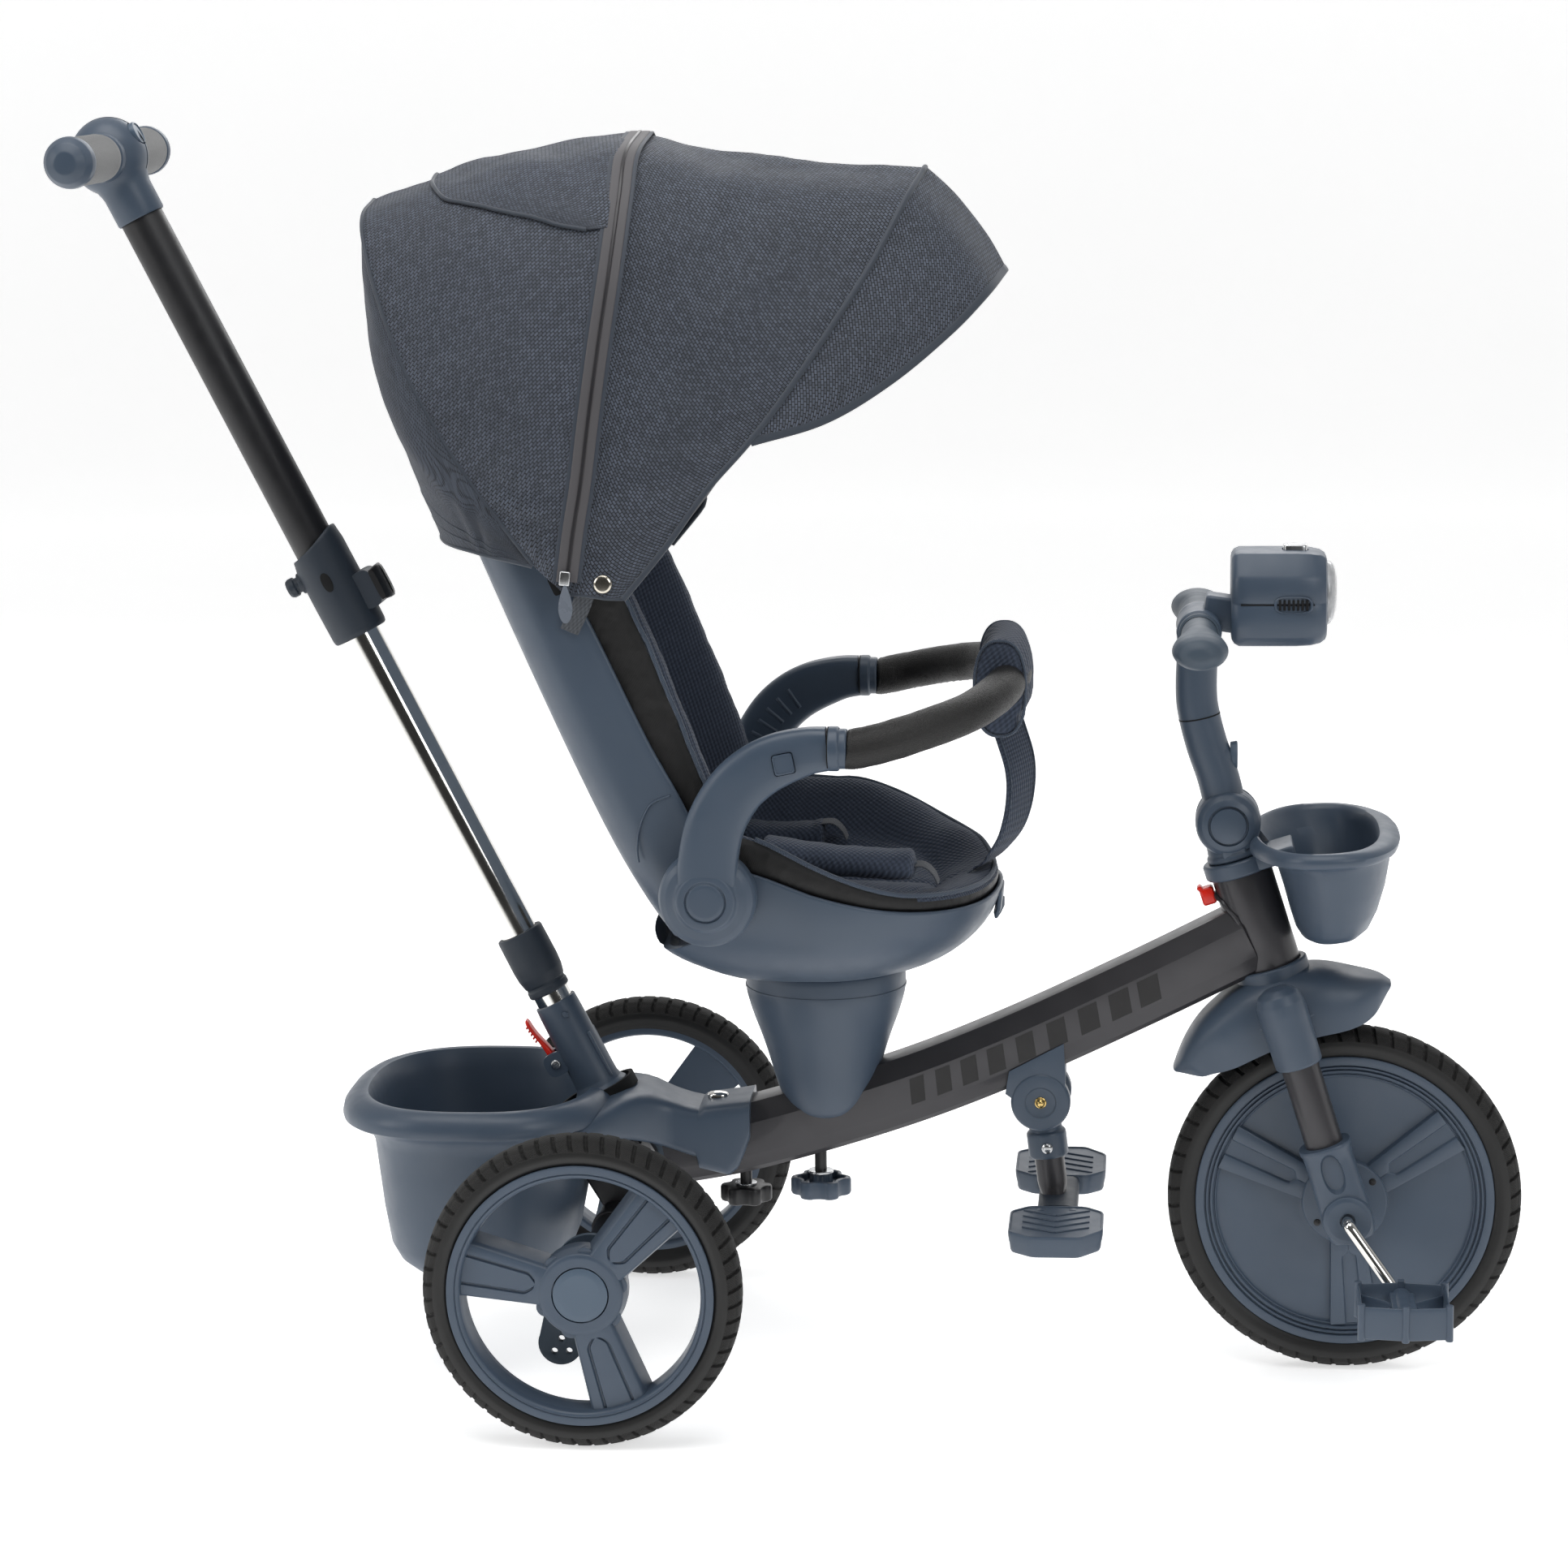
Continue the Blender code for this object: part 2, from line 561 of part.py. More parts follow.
def make_fender():
    """A saddle over the tyre, fore and aft of the collar that hides the fork's crown."""
    rows = []
    line = ((0.3040, 0.254, 0.030), (0.3290, 0.304, 0.042), (0.3620, 0.332, 0.050), (0.4120, 0.346, 0.052),
            (0.4500, 0.340, 0.047), (0.4810, 0.3265, 0.028))
    for x, z, half_width in smooth_path(line, 9):
        out = (Vector((x, 0, z)) - FRONT_AXLE).normalized()
        row = []
        for i in range(9):
            angle = math.pi * (i / 8 - 0.5)
            drop = 0.020 * (1 - math.cos(angle)) ** 1.3
            row.append(Vector((x, half_width * math.sin(angle), z)) - out * drop)
        rows.append(row)
    fender = sheet("fender", rows, 0.003, FRONT_AXLE, "slate_plastic")
    tyre_room = turned("tyre_room", [(0.0, 0.030), (0.1560, 0.030), (0.1560, -0.030), (0.0, -0.030)],
                       across(FRONT_AXLE), steps=WHEEL_SIDES)
    head_room = rod("head_room", steering_point(HEAD_TUBE_SPAN[0] - GAP), steering_point(0.26),
                    HEAD_TUBE_RADIUS + 0.0015)
    cut(fender, tyre_room, head_room, *fork_rooms("skin", 3 * GAP))
    seat = HEAD_TUBE_SPAN[0] - GAP
    inner = HEAD_TUBE_RADIUS + 0.0008
    collar = turned("fender_collar", [(0.0, seat), (inner, seat), (inner, 0.2065), (0.0300, 0.2065),
                                      (0.0325, 0.186),
                                      (0.0370, 0.170), (0.0, 0.170)], along(FRONT_AXLE, STEERING_TILT))
    yoke = box("fender_yoke", (0.040, 0.112, 0.022), steering_point(0.1805), tilt=-STEERING_TILT)
    sleeves = [rod(f"fender_sleeve_{side}", steering_point(0.131, y=side * LEG_Y),
                   steering_point(0.184, y=side * LEG_Y),
                   0.0195) for side in (-1, 1)]
    join(collar, yoke, *sleeves)
    cut(collar, *fork_rooms("core", GAP))
    join(fender, collar)


def fork_rooms(name, gap):
    """Cutters that leave room for the fork's steerer, its bridge and its legs."""
    rooms = [rod(name + "_steerer_room", steering_point(0.10), steering_point(0.4), STEERER_RADIUS + gap),
             box(name + "_bridge_room", (0.026 + 2 * gap, 0.092 + 2 * gap, 0.014 + 2 * gap),
                 steering_point(0.1815),
                 tilt=-STEERING_TILT)]
    for side in (-1, 1):
        rooms.append(rod(f"{name}_leg_room_{side}", steering_point(0.0, y=side * LEG_Y),
                         steering_point(0.185 + gap, y=side * LEG_Y), 0.0155 + gap))
    return rooms


def front_basket_ring(height, front, rear, half_width, count=28):
    """An outline of the front basket at a height over the rim's low end, flatter towards the rider."""
    slope = math.tan(math.radians(9))
    points = []
    for x, y in rounded(1.0, 1.0, 2.5, count):
        reach = front if x > 0 else rear
        px = 0.418 + x * reach
        points.append(Vector((px, y * half_width * (1.0 if x > 0 else 1 - 0.10 * x * x),
                              0.4400 + height + (px - 0.37) * slope)))
    return points


def make_front_basket():
    outside = [(-0.088, 0.022, 0.010, 0.040), (-0.082, 0.035, 0.020, 0.060), (-0.055, 0.050, 0.030, 0.085),
               (-0.012, 0.055, 0.038, 0.098), (-0.012, 0.067, 0.046, 0.1150), (0.001, 0.066, 0.044, 0.113)]
    inside = [(0.001, 0.058, 0.036, 0.104), (-0.010, 0.0530, 0.0355, 0.0955),
              (-0.055, 0.0475, 0.0275, 0.082),
              (-0.080, 0.033, 0.018, 0.057), (-0.084, 0.020, 0.008, 0.036)]
    basket = loft("front_basket", [front_basket_ring(*ring) for ring in outside + inside], "slate_plastic")
    low = HEAD_TUBE_SPAN[1] + GAP
    ring = turned("basket_ring", [(0.0, low + 0.013), (0.0290, low + 0.013), (0.0275, low), (0.0, low)],
                  along(FRONT_AXLE, STEERING_TILT))
    bridge = box("basket_bridge", (0.040, 0.050, 0.0126), steering_point(low + 0.0065, 0.026),
                 tilt=-STEERING_TILT)
    join(basket, ring, bridge)
    column = rod("column_cut", steering_point(0.15), steering_point(low), HEAD_TUBE_RADIUS + 0.001)
    cut(basket, column, rod("steerer_cut", steering_point(0.1), steering_point(0.4), STEERER_RADIUS + GAP))
    cut(basket, rod("ball_room", steering_point(low + 0.0133), steering_point(0.40), 0.033))


def make_stem():
    """The lower stem holds the ball hinge; the upper stem carries the bar, the grips and the light box."""
    low = HEAD_TUBE_SPAN[1] + 0.0136 + GAP
    base = turned("stem_base", [(0.0, low + 0.014), (0.0210, low + 0.014), (0.0235, low + 0.004),
                                (0.0235, low),
                                (0.0, low)], along(FRONT_AXLE, STEERING_TILT), "slate_plastic")
    cheeks = [rod(f"stem_cheek_{side}", STEM_PIVOT + Vector((0, side * 0.0140, 0)),
                  STEM_PIVOT + Vector((0, side * 0.0240, 0)), 0.0265, sides=24, end_radius=0.0165)
              for side in (-1, 1)]
    join(base, *cheeks)
    middle = rod("hinge_room", STEM_PIVOT - Vector((0, 0.0138, 0)), STEM_PIVOT + Vector((0, 0.0138, 0)),
                 0.0285, sides=24)
    cut(base, middle, rod("steerer_socket", steering_point(0.2), steering_point(0.3023),
                          STEERER_RADIUS + GAP))
    line = ((0.348, 0, 0.4613), (0.340, 0, 0.497), (0.3300, 0, 0.526), (0.3230, 0, 0.552),
            (0.3217, 0, 0.5695),
            (0.3220, 0, 0.595), (0.3240, 0, 0.620))
    stem = swept("stem", smooth_path(line, 13), lambda t: rounded(stem_radius(t), stem_radius(t), 2, 16),
                 "slate_plastic")
    knuckle = rod("stem_knuckle", STEM_PIVOT - Vector((0, 0.0135, 0)), STEM_PIVOT + Vector((0, 0.0135, 0)),
                  0.0265, sides=24)
    bar = rod("bar", (0.3235, -0.100, 0.6205), (0.3235, 0.100, 0.6205), 0.0110, sides=16)
    boss = rod("bar_boss", (0.3235, -0.030, 0.6205), (0.3235, 0.030, 0.6205), 0.0185, sides=20)
    tongue = box("light_tongue", (0.016, 0.030, 0.030), (0.3480, 0, 0.634), tilt=0.2)
    join(stem, knuckle, bar, boss, tongue)
    cut(stem, rod("stem_button_well", (0.3400, 0, 0.5150), (0.3700, 0, 0.5150), 0.0083, sides=20))
    rod("stem_button", (0.3430, 0, 0.5150), (0.3565, 0, 0.5150), 0.0080, "slate_plastic", 20)
    for side, label in ((-1, "right"), (1, "left")):
        make_grip(label, side)


def stem_radius(t):
    """Half the stem's width, from the ball hinge (t = 0) up to the bar."""
    widths = (0.0120, 0.0130, 0.0185, 0.0180, 0.0175, 0.0165, 0.0160)
    i = min(int(t * (len(widths) - 1)), len(widths) - 2)
    return blend(widths[i], widths[i + 1], t * (len(widths) - 1) - i)


def make_grip(label, side):
    profile = [(0.0, 0.121), (0.011, 0.1195), (0.019, 0.113), (0.0205, 0.106), (0.0175, 0.095),
               (0.0145, 0.086),
               (0.0150, 0.060), (0.0175, 0.0), (0.0, 0.0)]
    grip = turned("grip_" + label, profile, across((0.3235, side * 0.0305, 0.6205), side > 0),
                  "slate_plastic", 20)
    cut(grip, rod("grip_bore_" + label, (0.3235, side * 0.02, 0.6205), (0.3235, side * 0.1003, 0.6205),
                  0.0110 + GAP, sides=16))


def make_light_box():
    centre = Vector((0.3905, 0, 0.6490))
    case = box("light_box", (0.0720, 0.0780, 0.0720), centre, "slate_plastic", 0.02)
    bevel(case, 0.008, 2)
    cut(case, box("tongue_room", (0.0166, 0.0306, 0.0306), (0.3480, 0, 0.634), tilt=0.2))
    turned("light_lens", [(0.0, 0.0080), (0.0180, 0.0070), (0.0250, 0.0035), (0.0260, 0.0), (0.0, 0.0)],
           Matrix.Translation(centre + Vector((0.0366, 0, 0.0))) @ Matrix.Rotation(math.radians(90) + 0.02,
                   4, "Y"),
           "clear_lens")
    button = box("light_button", (0.0200, 0.0160, 0.0050), centre + Vector((0.010, 0, 0.0375)),
                 "silver_button", 0.02)
    bevel(button, 0.0015, 1)
    well = box("button_well", (0.0206, 0.0166, 0.0120), centre + Vector((0.010, 0, 0.0370)), tilt=0.02)
    cut(case, well)


def make_head_lock():
    latch = box("head_lock", (0.0120, 0.0140, 0.0150), steering_point(0.276, -HEAD_TUBE_RADIUS - 0.0068),
                "red_plastic",
                -STEERING_TILT)
    bevel(latch, 0.002, 1)


# ---------------------------------------------------------------- push handle


def handle_point(along_axis, ahead=0.0, y=0.0):
    s, c = math.sin(HANDLE_TILT), math.cos(HANDLE_TILT)
    return HANDLE_ROOT + Vector((-s * along_axis + c * ahead, y, c * along_axis + s * ahead))


def make_push_handle():
    place = along(HANDLE_ROOT, HANDLE_TILT)
    bore = LOWER_TUBE_RADIUS + GAP
    receiver = turned("handle_receiver",
                      [(bore, 0.0880), (0.0178, 0.0880), (0.0190, 0.020), (0.0205, 0.006), (0.0240, 0.0),
                       (0.0240, -0.004),
                       (0.0125, -0.0040), (0.0125, -0.0480), (0.0, -0.0480), (0.0, 0.0270), (bore, 0.0270)],
                      place, "slate_plastic", ring=True)
    ears = box("lever_ears", (0.020, 0.022, 0.020), handle_point(0.0404, -0.0215), tilt=-HANDLE_TILT)
    join(receiver, ears)
    cut(receiver, box("lever_slot", (0.030, 0.0126, 0.040), handle_point(0.0404, -0.0350),
                      tilt=-HANDLE_TILT),
        rod("ear_tube_room", handle_point(0.0271), handle_point(0.09), bore))
    lever = box("release_lever", (0.0060, 0.0120, 0.0420), handle_point(0.0600, -0.0262), "red_plastic",
                -HANDLE_TILT - 0.12)
    bevel(lever, 0.0015, 1)
    tube = turned("lower_tube", [(LOWER_TUBE_RADIUS, 0.560), (LOWER_TUBE_RADIUS, 0.0275), (0.0140, 0.0275),
                                 (0.0140, 0.560)], place, "chrome", ring=True)
    sleeve = turned("tube_sleeve", [(0.0150, 0.1520), (0.0200, 0.1520), (0.0205, 0.1200), (0.0198, 0.1120),
                                    (0.0170, 0.1040), (0.0170, 0.0970), (0.0150, 0.0970)], place, ring=True)
    join(tube, sleeve)
    upper = [(UPPER_TUBE_RADIUS, 0.8130), (UPPER_TUBE_RADIUS, 0.4480), (0.0162, 0.4480), (0.0162, 0.8130)]
    turned("upper_tube", upper, place, "black_tube", ring=True)
    make_collar(place)
    make_handle_hub(place)


def make_collar(place):
    outer = UPPER_TUBE_RADIUS + GAP
    profile = [(outer, 0.5250), (0.0225, 0.5250), (0.0240, 0.5000), (0.0240, 0.4400), (0.0225, 0.4340),
               (0.0162, 0.4340),
               (0.0162, 0.4476), (outer, 0.4476)]
    collar = turned("telescopic_collar", profile, place, "slate_plastic", ring=True)
    knob = rod("collar_knob", handle_point(0.4930, -0.020), handle_point(0.4930, -0.036), 0.0075, sides=16)
    ears = box("collar_ears", (0.014, 0.030, 0.030), handle_point(0.4650, 0.0270), tilt=-HANDLE_TILT)
    join(collar, knob, ears)
    cut(collar, rod("collar_tube_room", handle_point(0.4476), handle_point(0.60), outer),
        rod("collar_low_room", handle_point(0.40), handle_point(0.45), 0.0162))
    lever = box("clamp_lever", (0.0070, 0.0240, 0.0300), handle_point(0.4650, 0.0378), "black_plastic",
                -HANDLE_TILT)
    bevel(lever, 0.0015, 1)


def make_handle_hub(place):
    middle = HANDLE_HUB_AT
    profile = [(0.0, middle + 0.0316)]
    for degrees in (65, 40, 15, -10, -35, -48):
        angle = math.radians(degrees)
        profile.append((0.0316 * math.cos(angle), middle + 0.0316 * math.sin(angle)))
    profile += [(0.0205, middle - 0.034), (0.0205, middle - 0.0555), (0.0, middle - 0.0555)]
    hub = turned("handle_hub", profile, place, "slate_plastic")
    centre = handle_point(middle)
    bar = rod("handle_bar", centre - Vector((0, 0.125, 0)), centre + Vector((0, 0.125, 0)), 0.0090,
              sides=16)
    join(hub, bar)
    cut(hub, rod("hub_tube_room", handle_point(0.75), handle_point(0.8133), UPPER_TUBE_RADIUS + GAP),
        rod("hub_button_well", handle_point(middle, 0.0220), handle_point(middle, 0.05), 0.0123, sides=20))
    rod("hub_button", handle_point(middle, 0.0250), handle_point(middle, 0.0325), 0.0120, "slate_plastic",
        20)
    for side, label in ((-1, "right"), (1, "left")):
        profile = [(0.0, 0.1130), (0.0100, 0.1110), (0.0175, 0.1050), (0.0205, 0.0940), (0.0195, 0.0880),
                   (0.0195, 0.0),
                   (0.0, 0.0)]
        grip = turned("handle_grip_" + label, profile, across(centre + Vector((0, side * 0.0330, 0)),
                                                              side > 0), "foam", 20)
        cut(grip, rod("handle_grip_bore_" + label, centre + Vector((0, side * 0.02, 0)),
                      centre + Vector((0, side * 0.1253, 0)), 0.0090 + GAP, sides=16))


# ---------------------------------------------------------------- seat


def seat_outline(count):
    """A unit outline, rounder at the front than at the back."""
    points = []
    for (x, y), (rear_x, rear_y) in zip(rounded(1.0, 1.0, 2.35, count), rounded(1.0, 1.0, 4.5, count)):
        points.append((x, y) if x > 0 else (rear_x, rear_y))
    return points


def seat_ring(level, inset=0.0, count=32, lift=0.0):
    """An outline of the seat shell. Level 0 is its floor and 1 its rim, which rises at the hubs."""
    points = []
    spread = 0.34 + 0.66 * math.sqrt(max(0.0, 1 - (1 - level) ** 2.4))
    for x, y in seat_outline(count):
        px = SEAT_AXIS_X + x * ((0.147 if x > 0 else 0.134) * spread - inset)
        narrow = 1 - 0.10 * max(0.0, x) ** 2
        py = y * (SEAT_HALF_WIDTH * spread * narrow - inset)
        points.append(Vector((px, py, blend(SEAT_FLOOR_Z, seat_rim(px), level) + lift)))
    return points


def seat_rim(x):
    """Height of the seat shell's rim: low at the back, highest beside the hubs, falling towards the front."""
    stations = (-0.118, -0.090, -0.062, -0.025, 0.005, 0.050, 0.095, 0.147, 0.170)
    heights = (0.392, 0.425, 0.450, 0.446, 0.434, 0.421, 0.412, 0.408, 0.412)
    for i in range(len(stations) - 1):
        if x <= stations[i + 1] or i == len(stations) - 2:
            t = min(max((x - stations[i]) / (stations[i + 1] - stations[i]), 0.0), 1.0)
            return blend(heights[i], heights[i + 1], t)


def make_seat():
    wall = 0.0045
    outside = [seat_ring(level) for level in (0.0, 0.06, 0.2, 0.45, 0.75, 1.0)]
    inside = [seat_ring(level, wall, lift=0.0 if level > 0.3 else wall)
              for level in (1.0, 0.75, 0.45, 0.2, 0.06)]
    inside[-1] = [Vector((p.x, p.y, SEAT_FLOOR_Z + 0.016)) for p in inside[-1]]
    shell = loft("seat_shell", outside + inside, "slate_plastic")
    ears = [rod(f"seat_ear_{side}", (RECLINE_PIVOT.x, side * 0.1535, RECLINE_PIVOT.z),
                (RECLINE_PIVOT.x, side * 0.1645, RECLINE_PIVOT.z), 0.030) for side in (-1, 1)]
    join(shell, *ears)
    inset = wall + 0.0012
    low = [Vector((p.x, p.y, SEAT_FLOOR_Z + 0.021)) for p in seat_ring(0.10, inset + 0.004)]
    rings = [low] + [seat_ring(level, inset) for level in (0.45, 0.75, 1.0)]
    rings.append([p + Vector((0, 0, 0.008)) for p in seat_ring(1.0, inset + 0.002)])
    top = [Vector((blend(p.x, 0.030, 0.30), p.y * 0.62,
                   0.412 + 0.10 * max(0.0, -0.02 - p.x) + 0.02 * abs(p.y)))
           for p in seat_ring(1.0, inset + 0.006)]
    rings.append(top)
    rings.append([Vector((blend(p.x, 0.030, 0.7), p.y * 0.4, 0.409)) for p in top])
    pad = loft("seat_pad", rings, "pad_fabric")
    room = back_solid("seat_back_room", BACK_HALF_WIDTH + 0.0015, -0.064, 0.060, -0.040, 0.20)
    ear_room = box("ear_room", (0.09, 2 * 0.1505, 0.08), RECLINE_PIVOT)
    shell_room = back_solid("shell_back_room", BACK_HALF_WIDTH + 0.0012, -0.0675, 0.020, -0.034, 0.20)
    cut(pad, room)
    cut(shell, ear_room, shell_room)
    for side, label in ((-1, "right"), (1, "left")):
        make_arm(label, side)


def make_arm(label, side):
    """A bent arm from the hub disc up and forward to the bumper bar's collar."""
    y = side * ARM_MIDDLE_Y
    line = [(RECLINE_PIVOT.x, y, RECLINE_PIVOT.z), (-0.0605, y, 0.471), (-0.0500, y, 0.510),
            (-0.0250, y, 0.5390),
            (0.0060, y, 0.5510), (0.0250, y, 0.5520), (0.0440, y, 0.5520)]
    section = rounded(0.0165, 0.0130, 3.0, 16)
    arm = swept("arm_" + label, smooth_path(line, 10), lambda t: section, "slate_plastic")
    hub = rod("arm_hub_" + label, (RECLINE_PIVOT.x, side * 0.1650, RECLINE_PIVOT.z),
              (RECLINE_PIVOT.x, side * 0.1950, RECLINE_PIVOT.z), 0.0340, sides=28, end_radius=0.0300)
    join(arm, hub)
    socket = rod("arm_socket_" + label, (0.0140, y, 0.5520), (0.06, y, 0.5520), 0.0084, sides=16)
    place = Vector((-0.0010, side * 0.1955, 0.5400))
    well = box("arm_button_well_" + label, (0.0166, 0.0100, 0.0166), place, tilt=-0.5)
    cut(arm, socket, well)
    button = box("arm_button_" + label, (0.0160, 0.0030, 0.0160), place - Vector((0, side * 0.0008, 0)),
                 "slate_plastic", -0.5)
    bevel(button, 0.0008, 1)


def make_bumper():
    """The leatherette bar between the arms, and the folded fabric pad over its middle."""
    half = ((0.0452, 0.1810, 0.5520), (0.0560, 0.1810, 0.5522), (0.0780, 0.1800, 0.5570),
            (0.1100, 0.1650, 0.5650), (0.1420, 0.1350, 0.5730),
            (0.1620, 0.0900, 0.5800), (0.1710, 0.0400, 0.5840), (0.1730, 0.0, 0.5850))
    line = list(half) + [(x, -y, z) for x, y, z in reversed(half[:-1])]
    bar = pipe("bumper_bar", [tuple(p) for p in smooth_path(line, 25)], 0.0160, "leatherette", 2)
    for side in (-1, 1):
        join(bar, rod(f"bumper_plug_{side}", (0.0160, side * ARM_MIDDLE_Y, 0.5520),
                      (0.0560, side * ARM_MIDDLE_Y, 0.5520),
                      0.0080, sides=16))
    rings = []
    for y in (-0.055, -0.050, 0.050, 0.055):
        scale = 1.0 if abs(y) < 0.052 else 0.9
        ring = [Vector((0.1680 + a * scale - 1.4 * y * y, y, 0.5790 + b * scale)) for a,
                b in rounded(0.0225, 0.0400, 2.6, 20)]
        rings.append(ring)
    wrap = loft("bumper_wrap", rings, "pad_fabric")
    cut(wrap, pipe("wrap_room", [tuple(p) for p in smooth_path(line, 25)], 0.0160 + GAP))
    strap = [(0.1700, 0.5380), (0.1800, 0.4950), (0.1790, 0.4620), (0.1650, 0.4390), (0.1480, 0.4290)]
    rings = []
    for x, z in strap:
        rings.append([Vector((x - 0.0015, -0.016, z)), Vector((x + 0.0015, -0.016, z)),
                      Vector((x + 0.0015, 0.016, z)), Vector((x - 0.0015, 0.016, z))])
    loft("crotch_strap", rings, "pad_fabric")


# ---------------------------------------------------------------- backrest


def back_point(up, ahead, y=0.0):
    """A point in the reclined backrest's own directions, from the recline pivot."""
    s, c = math.sin(RECLINE_TILT), math.cos(RECLINE_TILT)
    return RECLINE_PIVOT + Vector((-s * up + c * ahead, y, c * up + s * ahead))


def back_solid(name, half_width, rear, front, low, high, finish=None):
    rings = []
    for up in (low, high):
        rings.append([back_point(up, blend(rear, front, (a + 1) / 2), half_width * b)
                      for a, b in rounded(1.0, 1.0, 5.0, 24)])
    return loft(name, rings, finish)


def channel(up, outer_half, rear, front, wall, narrow=1.0):
    """A U across the backrest at a height: open towards the rider."""
    half = outer_half * narrow
    outer = [(front, half), (blend(rear, front, 0.5), half), (rear + 0.022, half * 0.985),
             (rear + 0.007, half * 0.92),
             (rear, half * 0.72), (rear - 0.003, 0.0)]
    outer += [(ahead, -y) for ahead, y in reversed(outer[:-1])]
    inner = [(max(ahead, rear + 0.002) + wall * (1 if ahead < blend(rear, front, 0.45) else 0),
              y - math.copysign(wall, y) if abs(y) > 0 else 0.0) for ahead, y in outer]
    return [back_point(up, ahead, y) for ahead, y in outer + list(reversed(inner))]


def make_backrest():
    stations = ((-0.026, -0.052, -0.010, 0.97), (0.010, -0.0575, 0.004, 1.0), (0.060, -0.0620, 0.0120, 1.0),
                (0.130, -0.0630, 0.0065, 1.0), (0.240, -0.0610, 0.0065, 1.0),
                (0.345, -0.0575, 0.0010, 0.99),
                (0.420, -0.0540, -0.0120, 0.94), (0.440, -0.0480, -0.0260, 0.86))
    rings = [channel(up, BACK_HALF_WIDTH, rear, front, 0.004, narrow) for up, rear, front,
             narrow in stations]
    loft("back_shell", rings, "slate_plastic")
    rows = []
    for up, rear, depth in ((0.022, -0.046, 0.020), (0.060, -0.0530, 0.030), (0.130, -0.0540, 0.036),
                            (0.240, -0.0520, 0.040),
                            (0.345, -0.0485, 0.034), (0.405, -0.0450, 0.020)):
        half = (BACK_HALF_WIDTH - 0.0065) * (1.0 if up < 0.38 else 0.90)
        front = [(depth, half - 0.004), (depth + 0.004, half - 0.016), (depth - 0.010, half - 0.032),
                 (-0.014, 0.078),
                 (-0.024, 0.0)]
        rear_side = [(rear + 0.020, half), (rear + 0.006, half * 0.92), (rear, 0.0)]
        half_loop = [(rear + 0.030, half)] + front
        loop = half_loop + [(a, -y) for a, y in reversed(half_loop[:-1])]
        loop += [(a, -y) for a, y in rear_side] + [(a, y) for a, y in reversed(rear_side[:-1])]
        rows.append([back_point(up, a, y) for a, y in loop])
    loft("back_pad", rows, "pad_fabric")
    lever = box("recline_lever", (0.0100, 0.0500, 0.0260), back_point(0.012, -0.0668), "black_plastic",
                -RECLINE_TILT)
    bevel(lever, 0.003, 1)


# ---------------------------------------------------------------- canopy


VISOR_EDGE = ((0.1664, 0.0, 0.9121), (0.1530, 0.055, 0.8960), (0.1250, 0.085, 0.8680),
              (0.0800, 0.110, 0.8320),
              (0.0300, 0.130, 0.8035), (-0.0265, 0.1465, 0.7880))
FRONT_BOW = ((0.1037, 0.0, 0.9919), (0.0900, 0.055, 0.9670), (0.0640, 0.090, 0.9180),
             (0.0290, 0.117, 0.8640),
             (-0.0030, 0.135, 0.8180), (-0.0275, 0.1465, 0.7870), (-0.0600, 0.158, 0.7510),
             (-0.0900, 0.165, 0.7100),
             (-0.1250, 0.1700, 0.6680))
ZIP_BOW = ((-0.1212, 0.0, 1.0210), (-0.1270, 0.070, 1.0060), (-0.1290, 0.115, 0.9740),
           (-0.1340, 0.146, 0.9200),
           (-0.1420, 0.162, 0.8620), (-0.1500, 0.169, 0.8050), (-0.1560, 0.1715, 0.7600),
           (-0.1630, 0.172, 0.7200),
           (-0.1700, 0.172, 0.6720))
REAR_BOW = ((-0.3430, 0.0, 0.9700), (-0.3400, 0.070, 0.9600), (-0.3320, 0.105, 0.9350),
            (-0.3160, 0.130, 0.8900),
            (-0.2940, 0.148, 0.8400), (-0.2680, 0.158, 0.7950), (-0.2430, 0.164, 0.7580),
            (-0.2200, 0.168, 0.7280),
            (-0.1950, 0.170, 0.6950))
REAR_HEM = ((-0.2850, 0.0, 0.7080), (-0.2840, 0.050, 0.7080), (-0.2800, 0.090, 0.7080),
            (-0.2720, 0.120, 0.7070),
            (-0.2600, 0.142, 0.7060), (-0.2450, 0.155, 0.7040), (-0.2300, 0.163, 0.7010),
            (-0.2130, 0.168, 0.6980),
            (-0.1960, 0.170, 0.6940))


def bow(points, t):
    """A point on a bow from its right foot (t = 0) over the top to its left foot (t = 1)."""
    place = curve_at(points, abs(2 * t - 1))
    return Vector((place.x, math.copysign(place.y, t - 0.5) if t != 0.5 else 0.0, place.z))


def between_bows(first, second, fractions, count, bulge=0.0):
    """Rows of points from one bow to another, bulging outwards between them."""
    rows = []
    for f in fractions:
        row = []
        for i in range(count):
            t = i / (count - 1)
            point = bow(first, t).lerp(bow(second, t), f)
            out = (point - Vector((point.x, 0, CANOPY_PIVOT.z))).normalized()
            row.append(point + out * bulge * 4 * f * (1 - f) * math.sin(math.pi * t))
        rows.append(row)
    return rows


